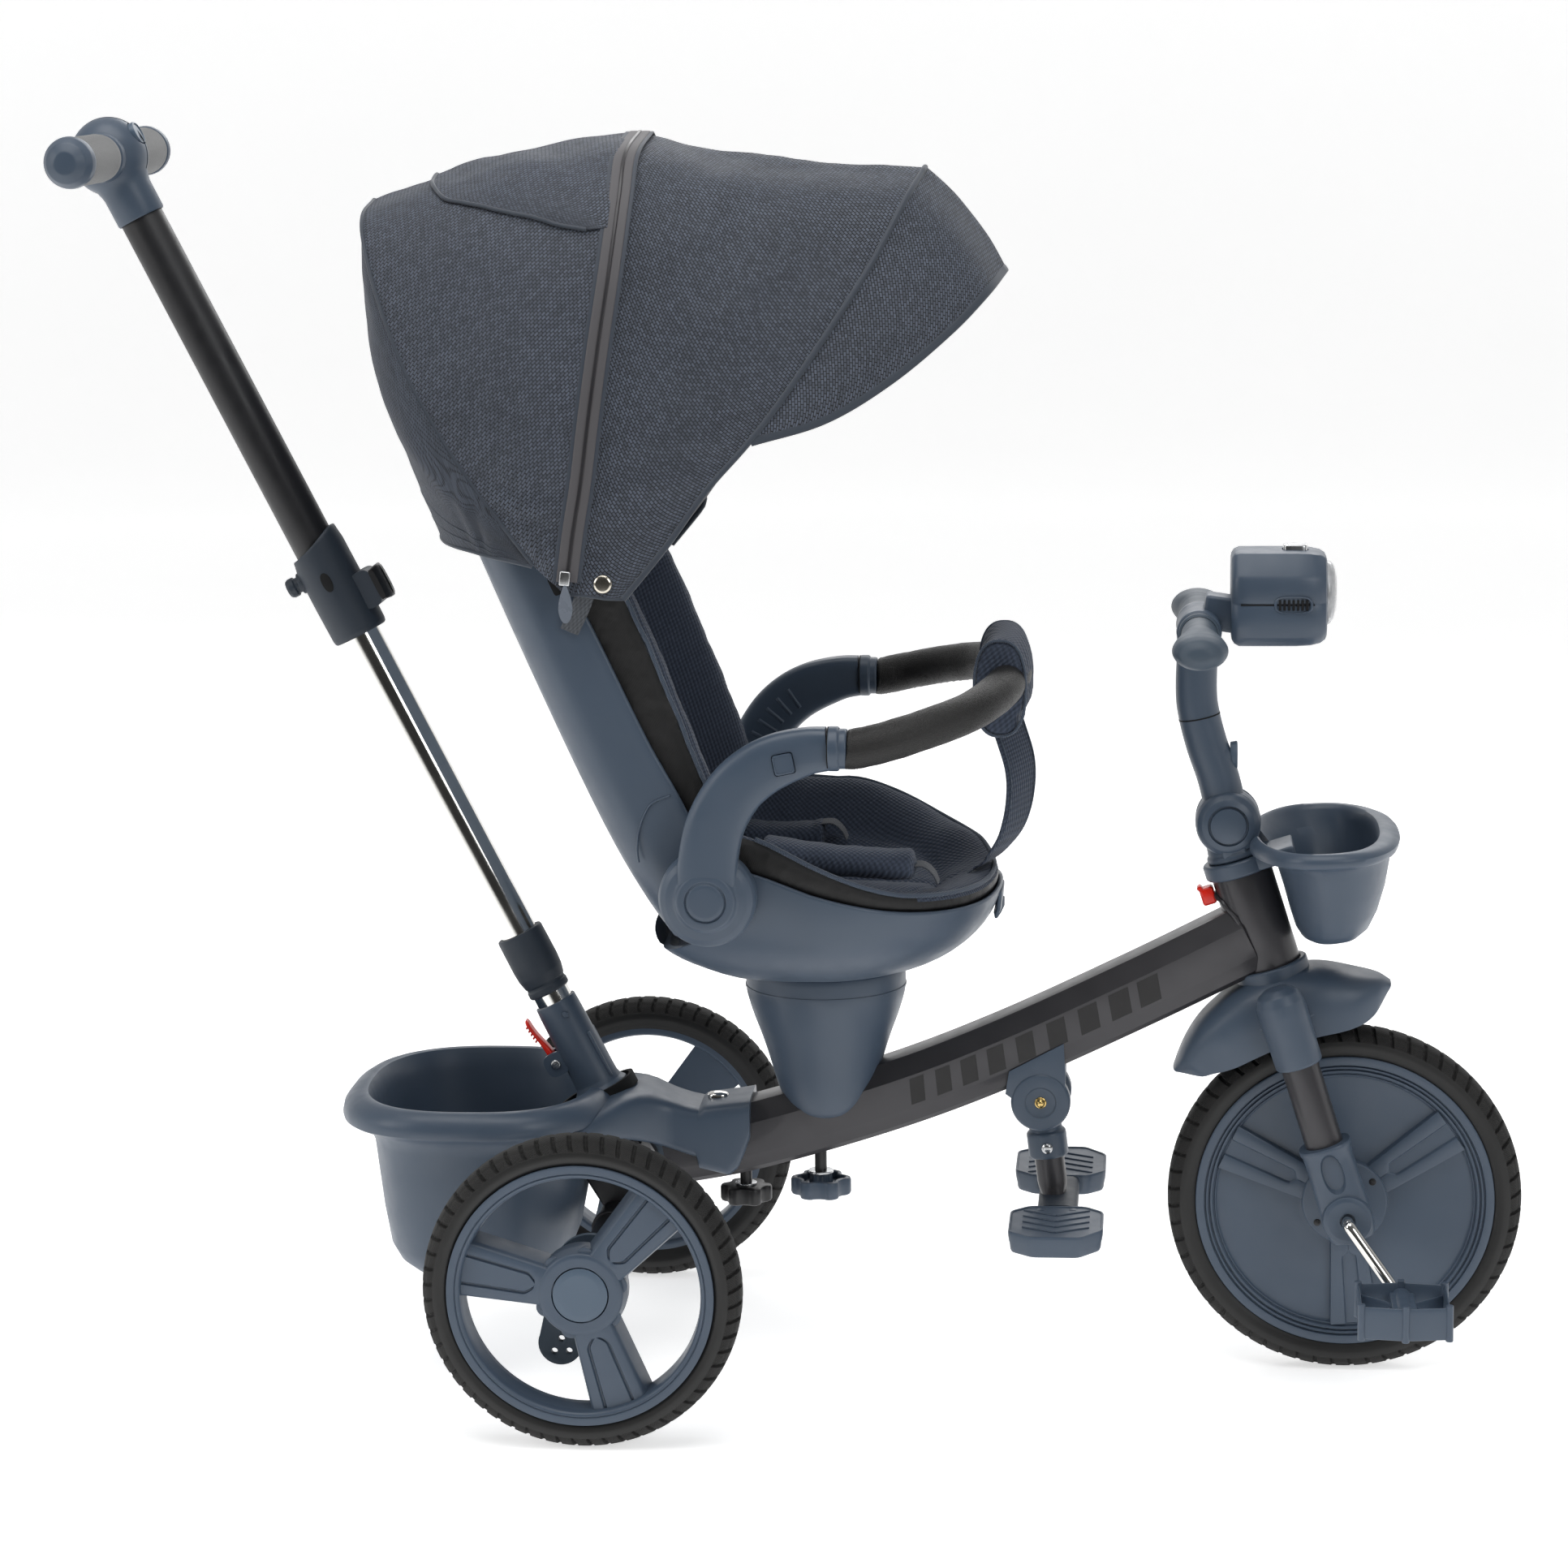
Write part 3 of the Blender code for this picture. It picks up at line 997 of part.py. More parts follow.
def make_canopy():
    thickness = 0.003
    count = 17
    front = between_bows(ZIP_BOW, FRONT_BOW, (0.012, 0.34, 0.67, 0.985), count, -0.006)
    sheet("canopy_front", front, thickness, CANOPY_MIDDLE, "canopy_fabric")
    visor = []
    for f in (0.0, 0.5, 1.0):
        row = []
        for i in range(13):
            t = i / 12
            first, second = bow(FRONT_BOW[:6], t), bow(VISOR_EDGE, t)
            row.append(first.lerp(second, f) + Vector((0.0015, 0, 0)))
        visor.append(row)
    visor_obj = sheet("canopy_visor", visor, thickness, CANOPY_MIDDLE, "canopy_fabric")
    rail = []
    for i in range(25):
        place = bow(FRONT_BOW, i / 24)
        rail.append((place.x * 0.985, place.y * 0.95, place.z - 0.008))
    join(visor_obj, pipe("bow_rail", rail, 0.003, resolution=1))
    rear = between_bows(ZIP_BOW, REAR_BOW, (0.0, 0.3, 0.6, 1.0), count, 0.008)
    back = between_bows(REAR_BOW, REAR_HEM, (0.35, 0.7, 1.0), count, 0.012)
    sheet("canopy_rear", rear + back, thickness, CANOPY_MIDDLE, "canopy_fabric")


# ---------------------------------------------------------------- pedestal and footrest


def make_pedestal():
    profile = [(0.0, 0.3262), (0.0660, 0.3262), (0.0660, 0.3150), (0.0600, 0.3080), (0.0480, 0.2850),
               (0.0400, 0.2600),
               (0.0340, 0.2350), (0.0290, 0.2140), (0.0180, 0.2080), (0.0, 0.2065)]
    pedestal = turned("seat_pedestal", profile, Matrix.Translation((SEAT_AXIS_X, 0, 0)), "slate_plastic",
                      28)
    room = swept("pedestal_beam_room", smooth_path(BEAM_LINE, 10),
                 lambda t: rounded(BEAM_HEIGHT / 2 + GAP, BEAM_WIDTH / 2 + GAP, 7, 16))
    cut(pedestal, room)


def make_star_knob(name, centre, radius, height, rod_top, finish):
    outline = []
    for i in range(36):
        angle = 2 * math.pi * i / 36
        reach = radius * (0.84 + 0.16 * math.cos(6 * angle))
        outline.append((reach * math.cos(angle), reach * math.sin(angle)))
    rings = [[Vector((centre[0] + x, centre[1] + y, z)) for x, y in outline]
             for z in (centre[2], centre[2] + height)]
    knob = loft(name, rings, finish)
    join(knob, rod(name + "_rod", (centre[0], centre[1], centre[2] + height / 2),
                   (centre[0], centre[1], rod_top), 0.005,
                   sides=12))


def make_footrest():
    pivot = FOOTREST_PIVOT
    bracket = rod("footrest_bracket", pivot - Vector((0, 0.028, 0)), pivot + Vector((0, 0.028, 0)), 0.0245,
                  "slate_plastic", 28)
    mount = box("footrest_mount", (0.050, 0.050, 0.034), pivot + Vector((-0.004, 0, 0.019)), tilt=-0.42)
    join(bracket, mount)
    beam_room = swept("footrest_beam_room", smooth_path(BEAM_LINE, 10),
                      lambda t: rounded(BEAM_HEIGHT / 2 + GAP, BEAM_WIDTH / 2 + GAP, 7, 16))
    tongue_room = rod("tongue_room_cut", pivot - Vector((0, 0.0133, 0)), pivot + Vector((0, 0.0133, 0)),
                      0.0275, sides=28)
    cut(bracket, tongue_room, beam_room)
    s, c = math.sin(FOOTREST_TILT), math.cos(FOOTREST_TILT)
    down = Vector((s, 0, -c))
    stem = rod("footrest_stem", pivot - Vector((0, 0.0130, 0)), pivot + Vector((0, 0.0130, 0)), 0.0170,
               "slate_plastic", 24)
    pieces = [rod("stem_collar", pivot + down * 0.008, pivot + down * 0.052, 0.0125, sides=20),
              rod("stem_collar_ring", pivot + down * 0.0300, pivot + down * 0.052, 0.0180, sides=20),
              rod("stem_tube", pivot + down * 0.040, pivot + down * 0.098, 0.0122, sides=20),
              box("stem_cross", (0.034, 0.088, 0.016), (0.2095, 0, 0.1360))]
    join(stem, *pieces)
    for side, label in ((-1, "right"), (1, "left")):
        outline = ((0.1715, 0.062), (0.1865, 0.0465), (0.2330, 0.0465), (0.2480, 0.062), (0.2480, 0.115),
                   (0.2300, 0.138),
                   (0.1900, 0.138), (0.1715, 0.122))
        rings = [[Vector((x, side * y, z)) for x, y in outline] for z in (0.1285, 0.1470)]
        plate = loft("footplate_" + label, rings, "slate_plastic")
        bevel(plate, 0.002, 1)


# ---------------------------------------------------------------- assembly

clear_scene()
PARTS = new_collection("childrens_tricycle")
CUTTERS = new_collection("cutters")
make_frame()
make_rear_basket()
make_rear_wheels()
make_front_wheel()
make_fork()
make_fender()
make_front_basket()
make_stem()
make_light_box()
make_head_lock()
make_push_handle()
make_seat()
make_bumper()
make_backrest()
make_canopy()
make_pedestal()
make_star_knob("seat_knob", (SEAT_SCREW[0], 0, 0.1415), 0.0250, 0.0150, SEAT_SCREW[1], "slate_plastic")
make_star_knob("basket_knob", (BASKET_SCREW[0], 0, 0.1350), 0.0215, 0.0140, BASKET_SCREW[1],
               "black_plastic")
make_footrest()
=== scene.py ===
"""The looks of a children's tricycle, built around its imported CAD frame.

Metres, +X forward, +Y to the rider's left, +Z up, the ground at Z = 0. Every piece repeats the frame's own
dimensions, adds the fine shape that the frame leaves out, and rides on the body that it belongs to.
"""

import math

import bmesh
import bpy
from mathutils import Matrix, Vector, noise


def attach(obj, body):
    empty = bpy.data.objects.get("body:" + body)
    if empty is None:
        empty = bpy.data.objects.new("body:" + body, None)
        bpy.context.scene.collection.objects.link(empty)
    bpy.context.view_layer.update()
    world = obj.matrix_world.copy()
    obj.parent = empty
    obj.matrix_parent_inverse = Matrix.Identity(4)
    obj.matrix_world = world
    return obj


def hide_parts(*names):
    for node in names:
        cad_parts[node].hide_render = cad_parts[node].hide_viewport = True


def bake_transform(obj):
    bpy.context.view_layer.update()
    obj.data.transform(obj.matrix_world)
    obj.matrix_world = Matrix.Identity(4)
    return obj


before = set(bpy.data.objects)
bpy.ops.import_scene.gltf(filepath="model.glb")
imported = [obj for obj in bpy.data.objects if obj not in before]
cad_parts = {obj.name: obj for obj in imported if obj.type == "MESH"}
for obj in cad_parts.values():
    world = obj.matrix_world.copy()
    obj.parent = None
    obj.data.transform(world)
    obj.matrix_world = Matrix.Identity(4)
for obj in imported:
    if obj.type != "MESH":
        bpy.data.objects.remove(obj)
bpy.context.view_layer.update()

# Driving dimensions, the same as the frame's
REAR_WHEEL_RADIUS = 0.127
FRONT_WHEEL_RADIUS = 0.1454
REAR_RIM_RADIUS = 0.1059
FRONT_RIM_RADIUS = 0.1225
REAR_AXLE = Vector((-0.160, 0.0, REAR_WHEEL_RADIUS))
FRONT_AXLE = Vector((0.4455, 0.0, FRONT_WHEEL_RADIUS))
REAR_TRACK = 0.231
TYRE_HALF_WIDTH = 0.0195
STEERING_TILT = math.radians(17.5)
LEG_Y = 0.0545
HANDLE_TILT = math.radians(26.5)
HANDLE_ROOT = Vector((-0.171, 0.0, 0.227))
HANDLE_HUB_AT = 0.8717
SEAT_AXIS_X = 0.017
SEAT_FLOOR_Z = 0.3400
SEAT_HALF_WIDTH = 0.160
RECLINE_PIVOT = Vector((-0.062, 0.0, 0.4314))
RECLINE_TILT = math.radians(24.8)
BACK_HALF_WIDTH = 0.149
ARM_MIDDLE_Y = 0.181
CANOPY_MIDDLE = Vector((-0.160, 0.0, 0.780))
BEAM_WIDTH = 0.050
BEAM_HEIGHT = 0.058
FOOTREST_PIVOT = Vector((0.1954, 0.0, 0.2288))
FOOTREST_TILT = math.radians(7.0)
STEM_PIVOT = Vector((0.348, 0.0, 0.4613))
BAR_CENTRE = Vector((0.3235, 0.0, 0.6205))
SIDES = ((-1, "right"), (1, "left"))


# ---------------------------------------------------------------- materials


def srgb(red, green, blue):
    """A screen colour, 0 to 255, as the linear values that a shader takes."""
    return tuple(((c / 255 + 0.055) / 1.055) ** 2.4 for c in (red, green, blue)) + (1.0,)


def shade(colour, factor):
    return tuple(min(c * factor, 1.0) for c in colour[:3]) + (1.0,)


class Surface:
    """A material whose nodes are added one call at a time."""

    def __init__(self, name, **shader_values):
        self.material = bpy.data.materials.new(name)
        self.material.use_nodes = True
        self.tree = self.material.node_tree
        self.shader = self.tree.nodes["Principled BSDF"]
        for key, value in shader_values.items():
            self.put(self.shader.inputs[key.replace("_", " ")], value)

    def put(self, socket, value):
        if isinstance(value, bpy.types.NodeSocket):
            self.tree.links.new(value, socket)
        else:
            socket.default_value = value

    def node(self, kind, output, settings=(), **inputs):
        made = self.tree.nodes.new("ShaderNode" + kind)
        for key, value in dict(settings).items():
            setattr(made, key, value)
        for key, value in inputs.items():
            self.put(made.inputs[key.replace("_", " ")], value)
        return made.outputs[output]

    def math(self, operation, first, second=0.0):
        made = self.tree.nodes.new("ShaderNodeMath")
        made.operation = operation
        self.put(made.inputs[0], first)
        self.put(made.inputs[1], second)
        return made.outputs[0]

    def coordinates(self, kind="Object"):
        return self.node("TexCoord", kind)

    def noise(self, vector, scale, detail=2.0, output="Fac"):
        return self.node("TexNoise", output, Vector=vector, Scale=scale, Detail=detail)

    def ramp(self, value, low, high, to_low, to_high):
        return self.node("MapRange", "Result", {"clamp": True}, Value=value, From_Min=low, From_Max=high,
                         To_Min=to_low, To_Max=to_high)

    def mix(self, factor, first, second):
        made = self.tree.nodes.new("ShaderNodeMix")
        made.data_type = "RGBA"
        self.put(made.inputs[0], factor)
        self.put(made.inputs[6], first)
        self.put(made.inputs[7], second)
        return made.outputs[2]

    def bump(self, height, distance, strength=1.0):
        """Adds this relief over what the shader's normal already has."""
        made = self.tree.nodes.new("ShaderNodeBump")
        made.inputs["Strength"].default_value = strength
        made.inputs["Distance"].default_value = distance
        self.put(made.inputs["Height"], height)
        links = self.shader.inputs["Normal"].links
        if links:
            self.put(made.inputs["Normal"], links[0].from_socket)
        self.put(self.shader.inputs["Normal"], made.outputs["Normal"])


def moulded(name, colour, roughness, grain=900.0, depth=0.00004, **more):
    """Moulded plastic or paint: a fine surface grain, uneven gloss and a slow drift of colour."""
    surface = Surface(name, Roughness=roughness, **more)
    at = surface.coordinates()
    drift = surface.noise(at, 7.0, 3.0)
    surface.put(
        surface.shader.inputs["Base Color"], surface.mix(drift, shade(colour, 0.88), shade(colour, 1.12))
    )
    scuffs = surface.noise(at, 60.0, 6.0)
    surface.put(surface.shader.inputs["Roughness"],
                surface.ramp(scuffs, 0.35, 0.65, roughness - 0.04, roughness + 0.05))
    surface.bump(surface.noise(at, grain, 2.0), depth)
    return surface.material


def woven(name, light, dark, pitch, turn=0.0, kind="UV", sheen=0.25, depth=0.0004):
    """Cloth of staggered stitches: pitch is (along, across) a stitch in metres."""
    surface = Surface(name, Roughness=0.62, Sheen_Weight=sheen, Sheen_Roughness=0.45)
    at = surface.coordinates(kind)
    turned_at = surface.node("Mapping", "Vector", Vector=at, Rotation=(0.0, 0.0, turn))
    wobble = surface.noise(at, 35.0, 2.0, "Color")
    shaken = surface.tree.nodes.new("ShaderNodeVectorMath")
    shaken.operation = "MULTIPLY_ADD"
    surface.put(shaken.inputs[0], wobble)
    shaken.inputs[1].default_value = (pitch[0] * 0.30, pitch[1] * 0.30, 0.0)
    surface.put(shaken.inputs[2], turned_at)
    brick = surface.tree.nodes.new("ShaderNodeTexBrick")
    surface.put(brick.inputs["Vector"], shaken.outputs[0])
    for key, value in (
        ("Scale", 1.0), ("Mortar Size", pitch[1] * 0.20), ("Mortar Smooth", 0.8), ("Bias", 0.0),
        ("Brick Width", pitch[0]), ("Row Height", pitch[1])
    ):
        brick.inputs[key].default_value = value
    patches = surface.noise(at, 9.0, 3.0)
    stitch = surface.mix(patches, shade(light, 0.80), shade(light, 1.20))
    # The cloth's colour is split into light stitch tops and near-black gaps where the bump sinks: partly the
    # weave's own pattern, partly painted highlight on the stitches and painted shade in the gaps.
    brick.inputs["Color1"].default_value = (1.0, 1.0, 1.0, 1.0)
    brick.inputs["Color2"].default_value = (0.55, 0.55, 0.55, 1.0)
    brick.inputs["Mortar"].default_value = (0.0, 0.0, 0.0, 1.0)
    surface.put(surface.shader.inputs["Base Color"], surface.mix(brick.outputs["Color"], dark, stitch))
    surface.bump(surface.noise(at, 2500.0, 1.0), depth * 0.3, 0.6)
    surface.bump(surface.math("SUBTRACT", 1.0, brick.outputs["Fac"]), depth, 0.8)
    return surface.material


def knitted(name, colour, pitch, roughness=0.85, sheen=0.2, depth=0.0003, crease=0.0):
    """Cloth with a fine crossed weave that needs no flat layout, and soft creases where crease is above 0."""
    surface = Surface(name, Roughness=roughness, Sheen_Weight=sheen, Sheen_Roughness=0.4)
    at = surface.coordinates()
    bands = []
    for direction in ((0.0, 0.75, 0.65), (0.9, 0.35, -0.4)):
        turned_at = surface.tree.nodes.new("ShaderNodeVectorMath")
        turned_at.operation = "DOT_PRODUCT"
        surface.put(turned_at.inputs[0], at)
        turned_at.inputs[1].default_value = direction
        phase = surface.math("MULTIPLY", turned_at.outputs["Value"], 2 * math.pi / pitch)
        bands.append(surface.math("SINE", phase))
    weave = surface.math("MULTIPLY", bands[0], bands[1])
    fade = surface.noise(at, 12.0, 3.0)
    tone = surface.mix(fade, shade(colour, 0.82), shade(colour, 1.18))
    # The weave's low points, where the bump sinks, are darkened to 0.55 of the colour: painted shade in its
    # hollows.
    surface.put(surface.shader.inputs["Base Color"],
                surface.mix(surface.ramp(weave, -1.0, 1.0, 0.0, 1.0), shade(colour, 0.55), tone))
    surface.bump(weave, depth, 0.7)
    if crease:
        surface.bump(surface.noise(at, 28.0, 3.0), crease, 0.8)
    return surface.material


def tyre_rubber():
    """Rubber, knurled between plain side walls. U runs round the tyre, V across it from -1 to 1."""
    surface = Surface("tyre_rubber", Roughness=0.72)
    at = surface.coordinates("UV")
    split = surface.tree.nodes.new("ShaderNodeSeparateXYZ")
    surface.put(split.inputs[0], at)
    across_tread = surface.math("ABSOLUTE", split.outputs["Y"])
    on_tread = surface.ramp(across_tread, 0.56, 0.60, 1.0, 0.0)
    ribs = surface.math("SINE", surface.math("MULTIPLY", split.outputs["X"], 2 * math.pi / 0.0016))
    rows = surface.math("SINE", surface.math("MULTIPLY", split.outputs["Y"], 2 * math.pi / 0.055))
    knurl = surface.math("MULTIPLY", surface.math("MULTIPLY", ribs, rows), on_tread)
    dust = surface.noise(surface.coordinates(), 45.0, 5.0)
    dark, pale = srgb(16, 16, 16), srgb(33, 32, 31)
    worn = surface.math(
        "MULTIPLY", surface.ramp(dust, 0.3, 0.7, 0.2, 1.0), surface.ramp(on_tread, 0.0, 1.0, 0.35, 1.0)
    )
    surface.put(surface.shader.inputs["Base Color"], surface.mix(worn, dark, pale))
    surface.put(surface.shader.inputs["Roughness"], surface.ramp(on_tread, 0.0, 1.0, 0.50, 0.80))
    surface.bump(knurl, 0.00025, 0.7)
    surface.bump(surface.noise(surface.coordinates(), 700.0, 2.0), 0.00005)
    return surface.material


def leatherette():
    surface = Surface("leatherette", Roughness=0.42)
    at = surface.coordinates()
    cells = surface.node("TexVoronoi", "Distance", {"feature": "DISTANCE_TO_EDGE"}, Vector=at, Scale=620.0)
    pores = surface.ramp(cells, 0.0, 0.25, 0.0, 1.0)
    wear = surface.noise(at, 18.0, 3.0)
    surface.put(surface.shader.inputs["Base Color"], surface.mix(wear, srgb(15, 14, 14), srgb(28, 27, 26)))
    surface.put(surface.shader.inputs["Roughness"], surface.ramp(pores, 0.0, 1.0, 0.62, 0.40))
    surface.bump(pores, 0.00022, 0.8)
    surface.bump(surface.noise(at, 90.0, 4.0), 0.0004, 0.4)
    return surface.material


def brushed(name, colour, roughness, **more):
    """Bare or plated metal with faint draw lines and small changes of gloss."""
    surface = Surface(name, Metallic=1.0, **more)
    at = surface.coordinates()
    haze = surface.noise(at, 40.0, 4.0)
    surface.put(
        surface.shader.inputs["Base Color"], surface.mix(haze, shade(colour, 0.93), shade(colour, 1.04))
    )
    surface.put(surface.shader.inputs["Roughness"], surface.ramp(haze, 0.3, 0.7, roughness, roughness + 0.06))
    surface.bump(surface.noise(at, 500.0, 2.0), 0.00002, 0.5)
    return surface.material


def foam():
    surface = Surface("foam", Roughness=0.95, Sheen_Weight=0.35, Sheen_Roughness=0.6)
    at = surface.coordinates()
    cells = surface.noise(at, 900.0, 4.0)
    # The same noise darkens the colour where the bump sinks: painted shade in the foam's pits.
    surface.put(surface.shader.inputs["Base Color"], surface.mix(cells, srgb(44, 46, 48), srgb(80, 81, 81)))
    surface.bump(cells, 0.0005, 0.7)
    return surface.material


def clear_lens():
    surface = Surface("clear_lens", Roughness=0.12, IOR=1.49, Transmission_Weight=0.55, Coat_Weight=0.4)
    at = surface.coordinates()
    rings = surface.noise(at, 260.0, 2.0)
    surface.put(
        surface.shader.inputs["Base Color"], surface.mix(rings, srgb(205, 207, 210), srgb(245, 246, 248))
    )
    surface.bump(rings, 0.0002, 0.3)
    return surface.material


SLATE = srgb(68, 81, 97)
MATERIALS = {
    "slate": moulded("slate_plastic", SLATE, 0.40),
    "slate_matt": moulded("slate_soft_plastic", srgb(62, 75, 88), 0.52, 650.0, 0.00008),
    "slate_dark": moulded("slate_inner_plastic", srgb(40, 49, 60), 0.55),
    "slate_light": moulded("slate_cap", srgb(78, 94, 111), 0.36, 500.0),
    "frame_paint": moulded(
        "frame_paint", srgb(60, 59, 62), 0.36, 1400.0, 0.00003, Metallic=0.35, Coat_Weight=0.15
    ),
    "beam_stripe": moulded("beam_stripe", srgb(34, 33, 34), 0.50, 1200.0),
    "black_plastic": moulded("black_plastic", srgb(26, 26, 28), 0.38),
    "black_tube": moulded("black_tube", srgb(27, 27, 30), 0.42, 900.0, 0.000008),
    "red": moulded("red_plastic", srgb(226, 36, 18), 0.30, 500.0),
    "gap": moulded("shadow_gap", srgb(9, 10, 12), 0.9), "rubber": tyre_rubber(),
    "chrome": brushed("chrome", (0.80, 0.79, 0.76, 1.0), 0.07),
    "steel": brushed("zinc_steel", (0.55, 0.56, 0.57, 1.0), 0.22),
    "brass": brushed("brass", (0.72, 0.52, 0.20, 1.0), 0.22),
    "snap": brushed("snap_metal", (0.62, 0.58, 0.50, 1.0), 0.18),
    "silver": brushed("silver_button", (0.60, 0.61, 0.62, 1.0), 0.25), "foam": foam(), "lens": clear_lens(),
    "leather": leatherette(),
    "canopy": woven(
        "canopy_cloth", srgb(88, 96, 111), srgb(13, 16, 21), (0.0038, 0.0026), 0.75, sheen=0.05, depth=0.0009
    ),
    "canopy_inner": woven("canopy_lining", srgb(50, 57, 68), srgb(22, 26, 33), (0.0016, 0.0012), 0.3),
    "binding": woven("canopy_binding", srgb(56, 64, 76), srgb(18, 22, 28), (0.0013, 0.0010), 0.2),
    "zip_tape": woven("zip_tape", srgb(88, 86, 89), srgb(34, 33, 35), (0.0018, 0.0009), 0.0, depth=0.0003),
    "zip_teeth": moulded("zip_teeth", srgb(40, 39, 42), 0.35, 300.0),
    "puller": moulded("zip_puller", srgb(112, 119, 130), 0.30, 400.0),
    "pad_cloth": knitted("pad_cloth", srgb(48, 54, 66), 0.0026),
    "pad_mesh": knitted("pad_mesh", srgb(64, 74, 92), 0.0044, sheen=0.1, depth=0.0008),
    "satin": knitted("pad_satin", srgb(13, 12, 13), 0.0009, 0.42, 0.0, 0.0001, 0.005),
    "piping": knitted("piping", srgb(78, 90, 107), 0.0016, 0.8, 0.3),
    "strap": knitted("strap_cloth", srgb(44, 51, 63), 0.0018, 0.8, 0.25, 0.0003),
    "webbing": knitted("webbing", srgb(88, 92, 98), 0.0030, 0.8, 0.2, 0.0006),
}


# ---------------------------------------------------------------- geometry


ROD_EDGE = 0.0008


def mesh_from(name, bm):
    bmesh.ops.recalc_face_normals(bm, faces=bm.faces)
    mesh = bpy.data.meshes.new(name)
    bm.to_mesh(mesh)
    bm.free()
    obj = bpy.data.objects.new(name, mesh)
    bpy.context.scene.collection.objects.link(obj)
    return obj


def loft(name, rings, closed=False, caps=(True, True)):
    """A surface through rings of points. With closed, the last ring is joined to the first."""
    bm = bmesh.new()
    loops = [[bm.verts.new(point) for point in ring] for ring in rings]
    count = len(loops[0])
    pairs = list(zip(loops, loops[1:]))
    if closed:
        pairs.append((loops[-1], loops[0]))
    for at_end, ring in zip(caps, (loops[0], loops[-1])):
        if at_end and not closed:
            bm.faces.new(ring)
    for first, second in pairs:
        for i in range(count):
            j = (i + 1) % count
            bm.faces.new((first[i], first[j], second[j], second[i]))
    return mesh_from(name, bm)


def settle(obj):
    """Applies an object's modifiers and its placement."""
    graph = bpy.context.evaluated_depsgraph_get()
    mesh = bpy.data.meshes.new_from_object(obj.evaluated_get(graph))
    mesh.transform(obj.matrix_world)
    obj.modifiers.clear()
    obj.data = mesh
    obj.matrix_world = Matrix.Identity(4)
    return obj


def remove(*objs):
    """Deletes objects that were only needed while shaping others."""
    for obj in objs:
        bpy.data.objects.remove(obj, do_unlink=True)


def carve(obj, *cutters):
    """Cuts the other shapes out of an object and removes them."""
    for n, cutter in enumerate(cutters):
        modifier = obj.modifiers.new(f"carve {n}", "BOOLEAN")
        modifier.operation = "DIFFERENCE"
        modifier.solver = "EXACT"
        modifier.object = cutter
    bpy.context.view_layer.update()
    settle(obj)
    remove(*cutters)
    return obj


def gather(obj, *others):
    """One object of several meshes that stay separate shells inside it."""
    bm = bmesh.new()
    for each in (obj, *others):
        mesh = each.data.copy()
        mesh.transform(each.matrix_world)
        bm.from_mesh(mesh)
        bpy.data.meshes.remove(mesh)
    mesh = bpy.data.meshes.new(obj.name)
    bm.to_mesh(mesh)
    bm.free()
    obj.data = mesh
    obj.matrix_world = Matrix.Identity(4)
    remove(*others)
    return obj


def bevel(obj, width, segments=3, angle=35):
    modifier = obj.modifiers.new("rounded edges", "BEVEL")
    modifier.width = width
    modifier.segments = segments
    modifier.limit_method = "ANGLE"
    modifier.angle_limit = math.radians(angle)
    bpy.context.view_layer.update()
    return settle(obj)


def box(name, size, centre, tilt=0.0, round_by=0.0):
    bm = bmesh.new()
    bmesh.ops.create_cube(bm, size=1.0)
    bmesh.ops.scale(bm, vec=size, verts=bm.verts)
    bmesh.ops.transform(bm, matrix=Matrix.Translation(centre) @ Matrix.Rotation(tilt, 4, "Y"), verts=bm.verts)
    obj = mesh_from(name, bm)
    return bevel(obj, round_by) if round_by else obj


def turned(name, profile, placement, steps=96, ring=False):
    """A turned shape from (radius, height) points. A ring's profile closes on itself."""
    bm = bmesh.new()
    loops = []
    for radius, height in profile:
        if radius < 1e-7:
            loops.append([bm.verts.new(placement @ Vector((0, 0, height)))])
            continue
        loop = []
        for i in range(steps):
            angle = 2 * math.pi * i / steps
            loop.append(
                bm.verts.new(placement @ Vector((radius * math.cos(angle), radius * math.sin(angle), height)))
            )
        loops.append(loop)
    pairs = list(zip(loops, loops[1:]))
    if ring:
        pairs.append((loops[-1], loops[0]))
    for first, second in pairs:
        for i in range(steps):
            j = (i + 1) % steps
            corners = [first[0]] if len(first) == 1 else [first[i], first[j]]
            corners += [second[0]] if len(second) == 1 else [second[j], second[i]]
            if len(corners) > 2:
                bm.faces.new(corners)
    return mesh_from(name, bm)


def eased(profile, radius, count=4, ring=False):
    """The profile with each corner rounded by radius, or by what its sides leave room for."""
    points = [Vector(p) for p in profile]
    last = len(points) - 1
    result = []
    for i, point in enumerate(points):
        if not ring and i in (0, last):
            result.append(tuple(point))
            continue
        before, after = points[i - 1] - point, points[(i + 1) % (last + 1)] - point
        reach = min(radius, before.length * 0.45, after.length * 0.45)
        start, end = point + before.normalized() * reach, point + after.normalized() * reach
        for k in range(count + 1):
            t = k / count
            result.append(tuple(start * (1 - t) ** 2 + point * 2 * t * (1 - t) + end * t * t))
    return result


def along(root, tilt):
    """Placement of a turned shape whose +Z leans back by the tilt."""
    return Matrix.Translation(root) @ Matrix.Rotation(-tilt, 4, "Y")


def across(centre, side=-1, turn=0.0):
    """Placement of a turned shape whose +Z points to this side along Y."""
    return Matrix.Translation(centre) @ Matrix.Rotation(
        math.radians(-90 * side), 4, "X"
    ) @ Matrix.Rotation(turn, 4, "Z")


def between(start, end):
    """Placement of a turned shape from start to end, and its length."""
    start, end = Vector(start), Vector(end)
    return Matrix.Translation(start) @ (
        end - start
    ).to_track_quat("Z", "Y").to_matrix().to_4x4(), (end - start).length


def rod(name, start, end, radius, end_radius=None, steps=48):
    place, length = between(start, end)
    far = radius if end_radius is None else end_radius
    profile = eased([(0.0, length), (far, length), (radius, 0.0), (0.0, 0.0)], ROD_EDGE)
    return turned(name, profile, place, steps)


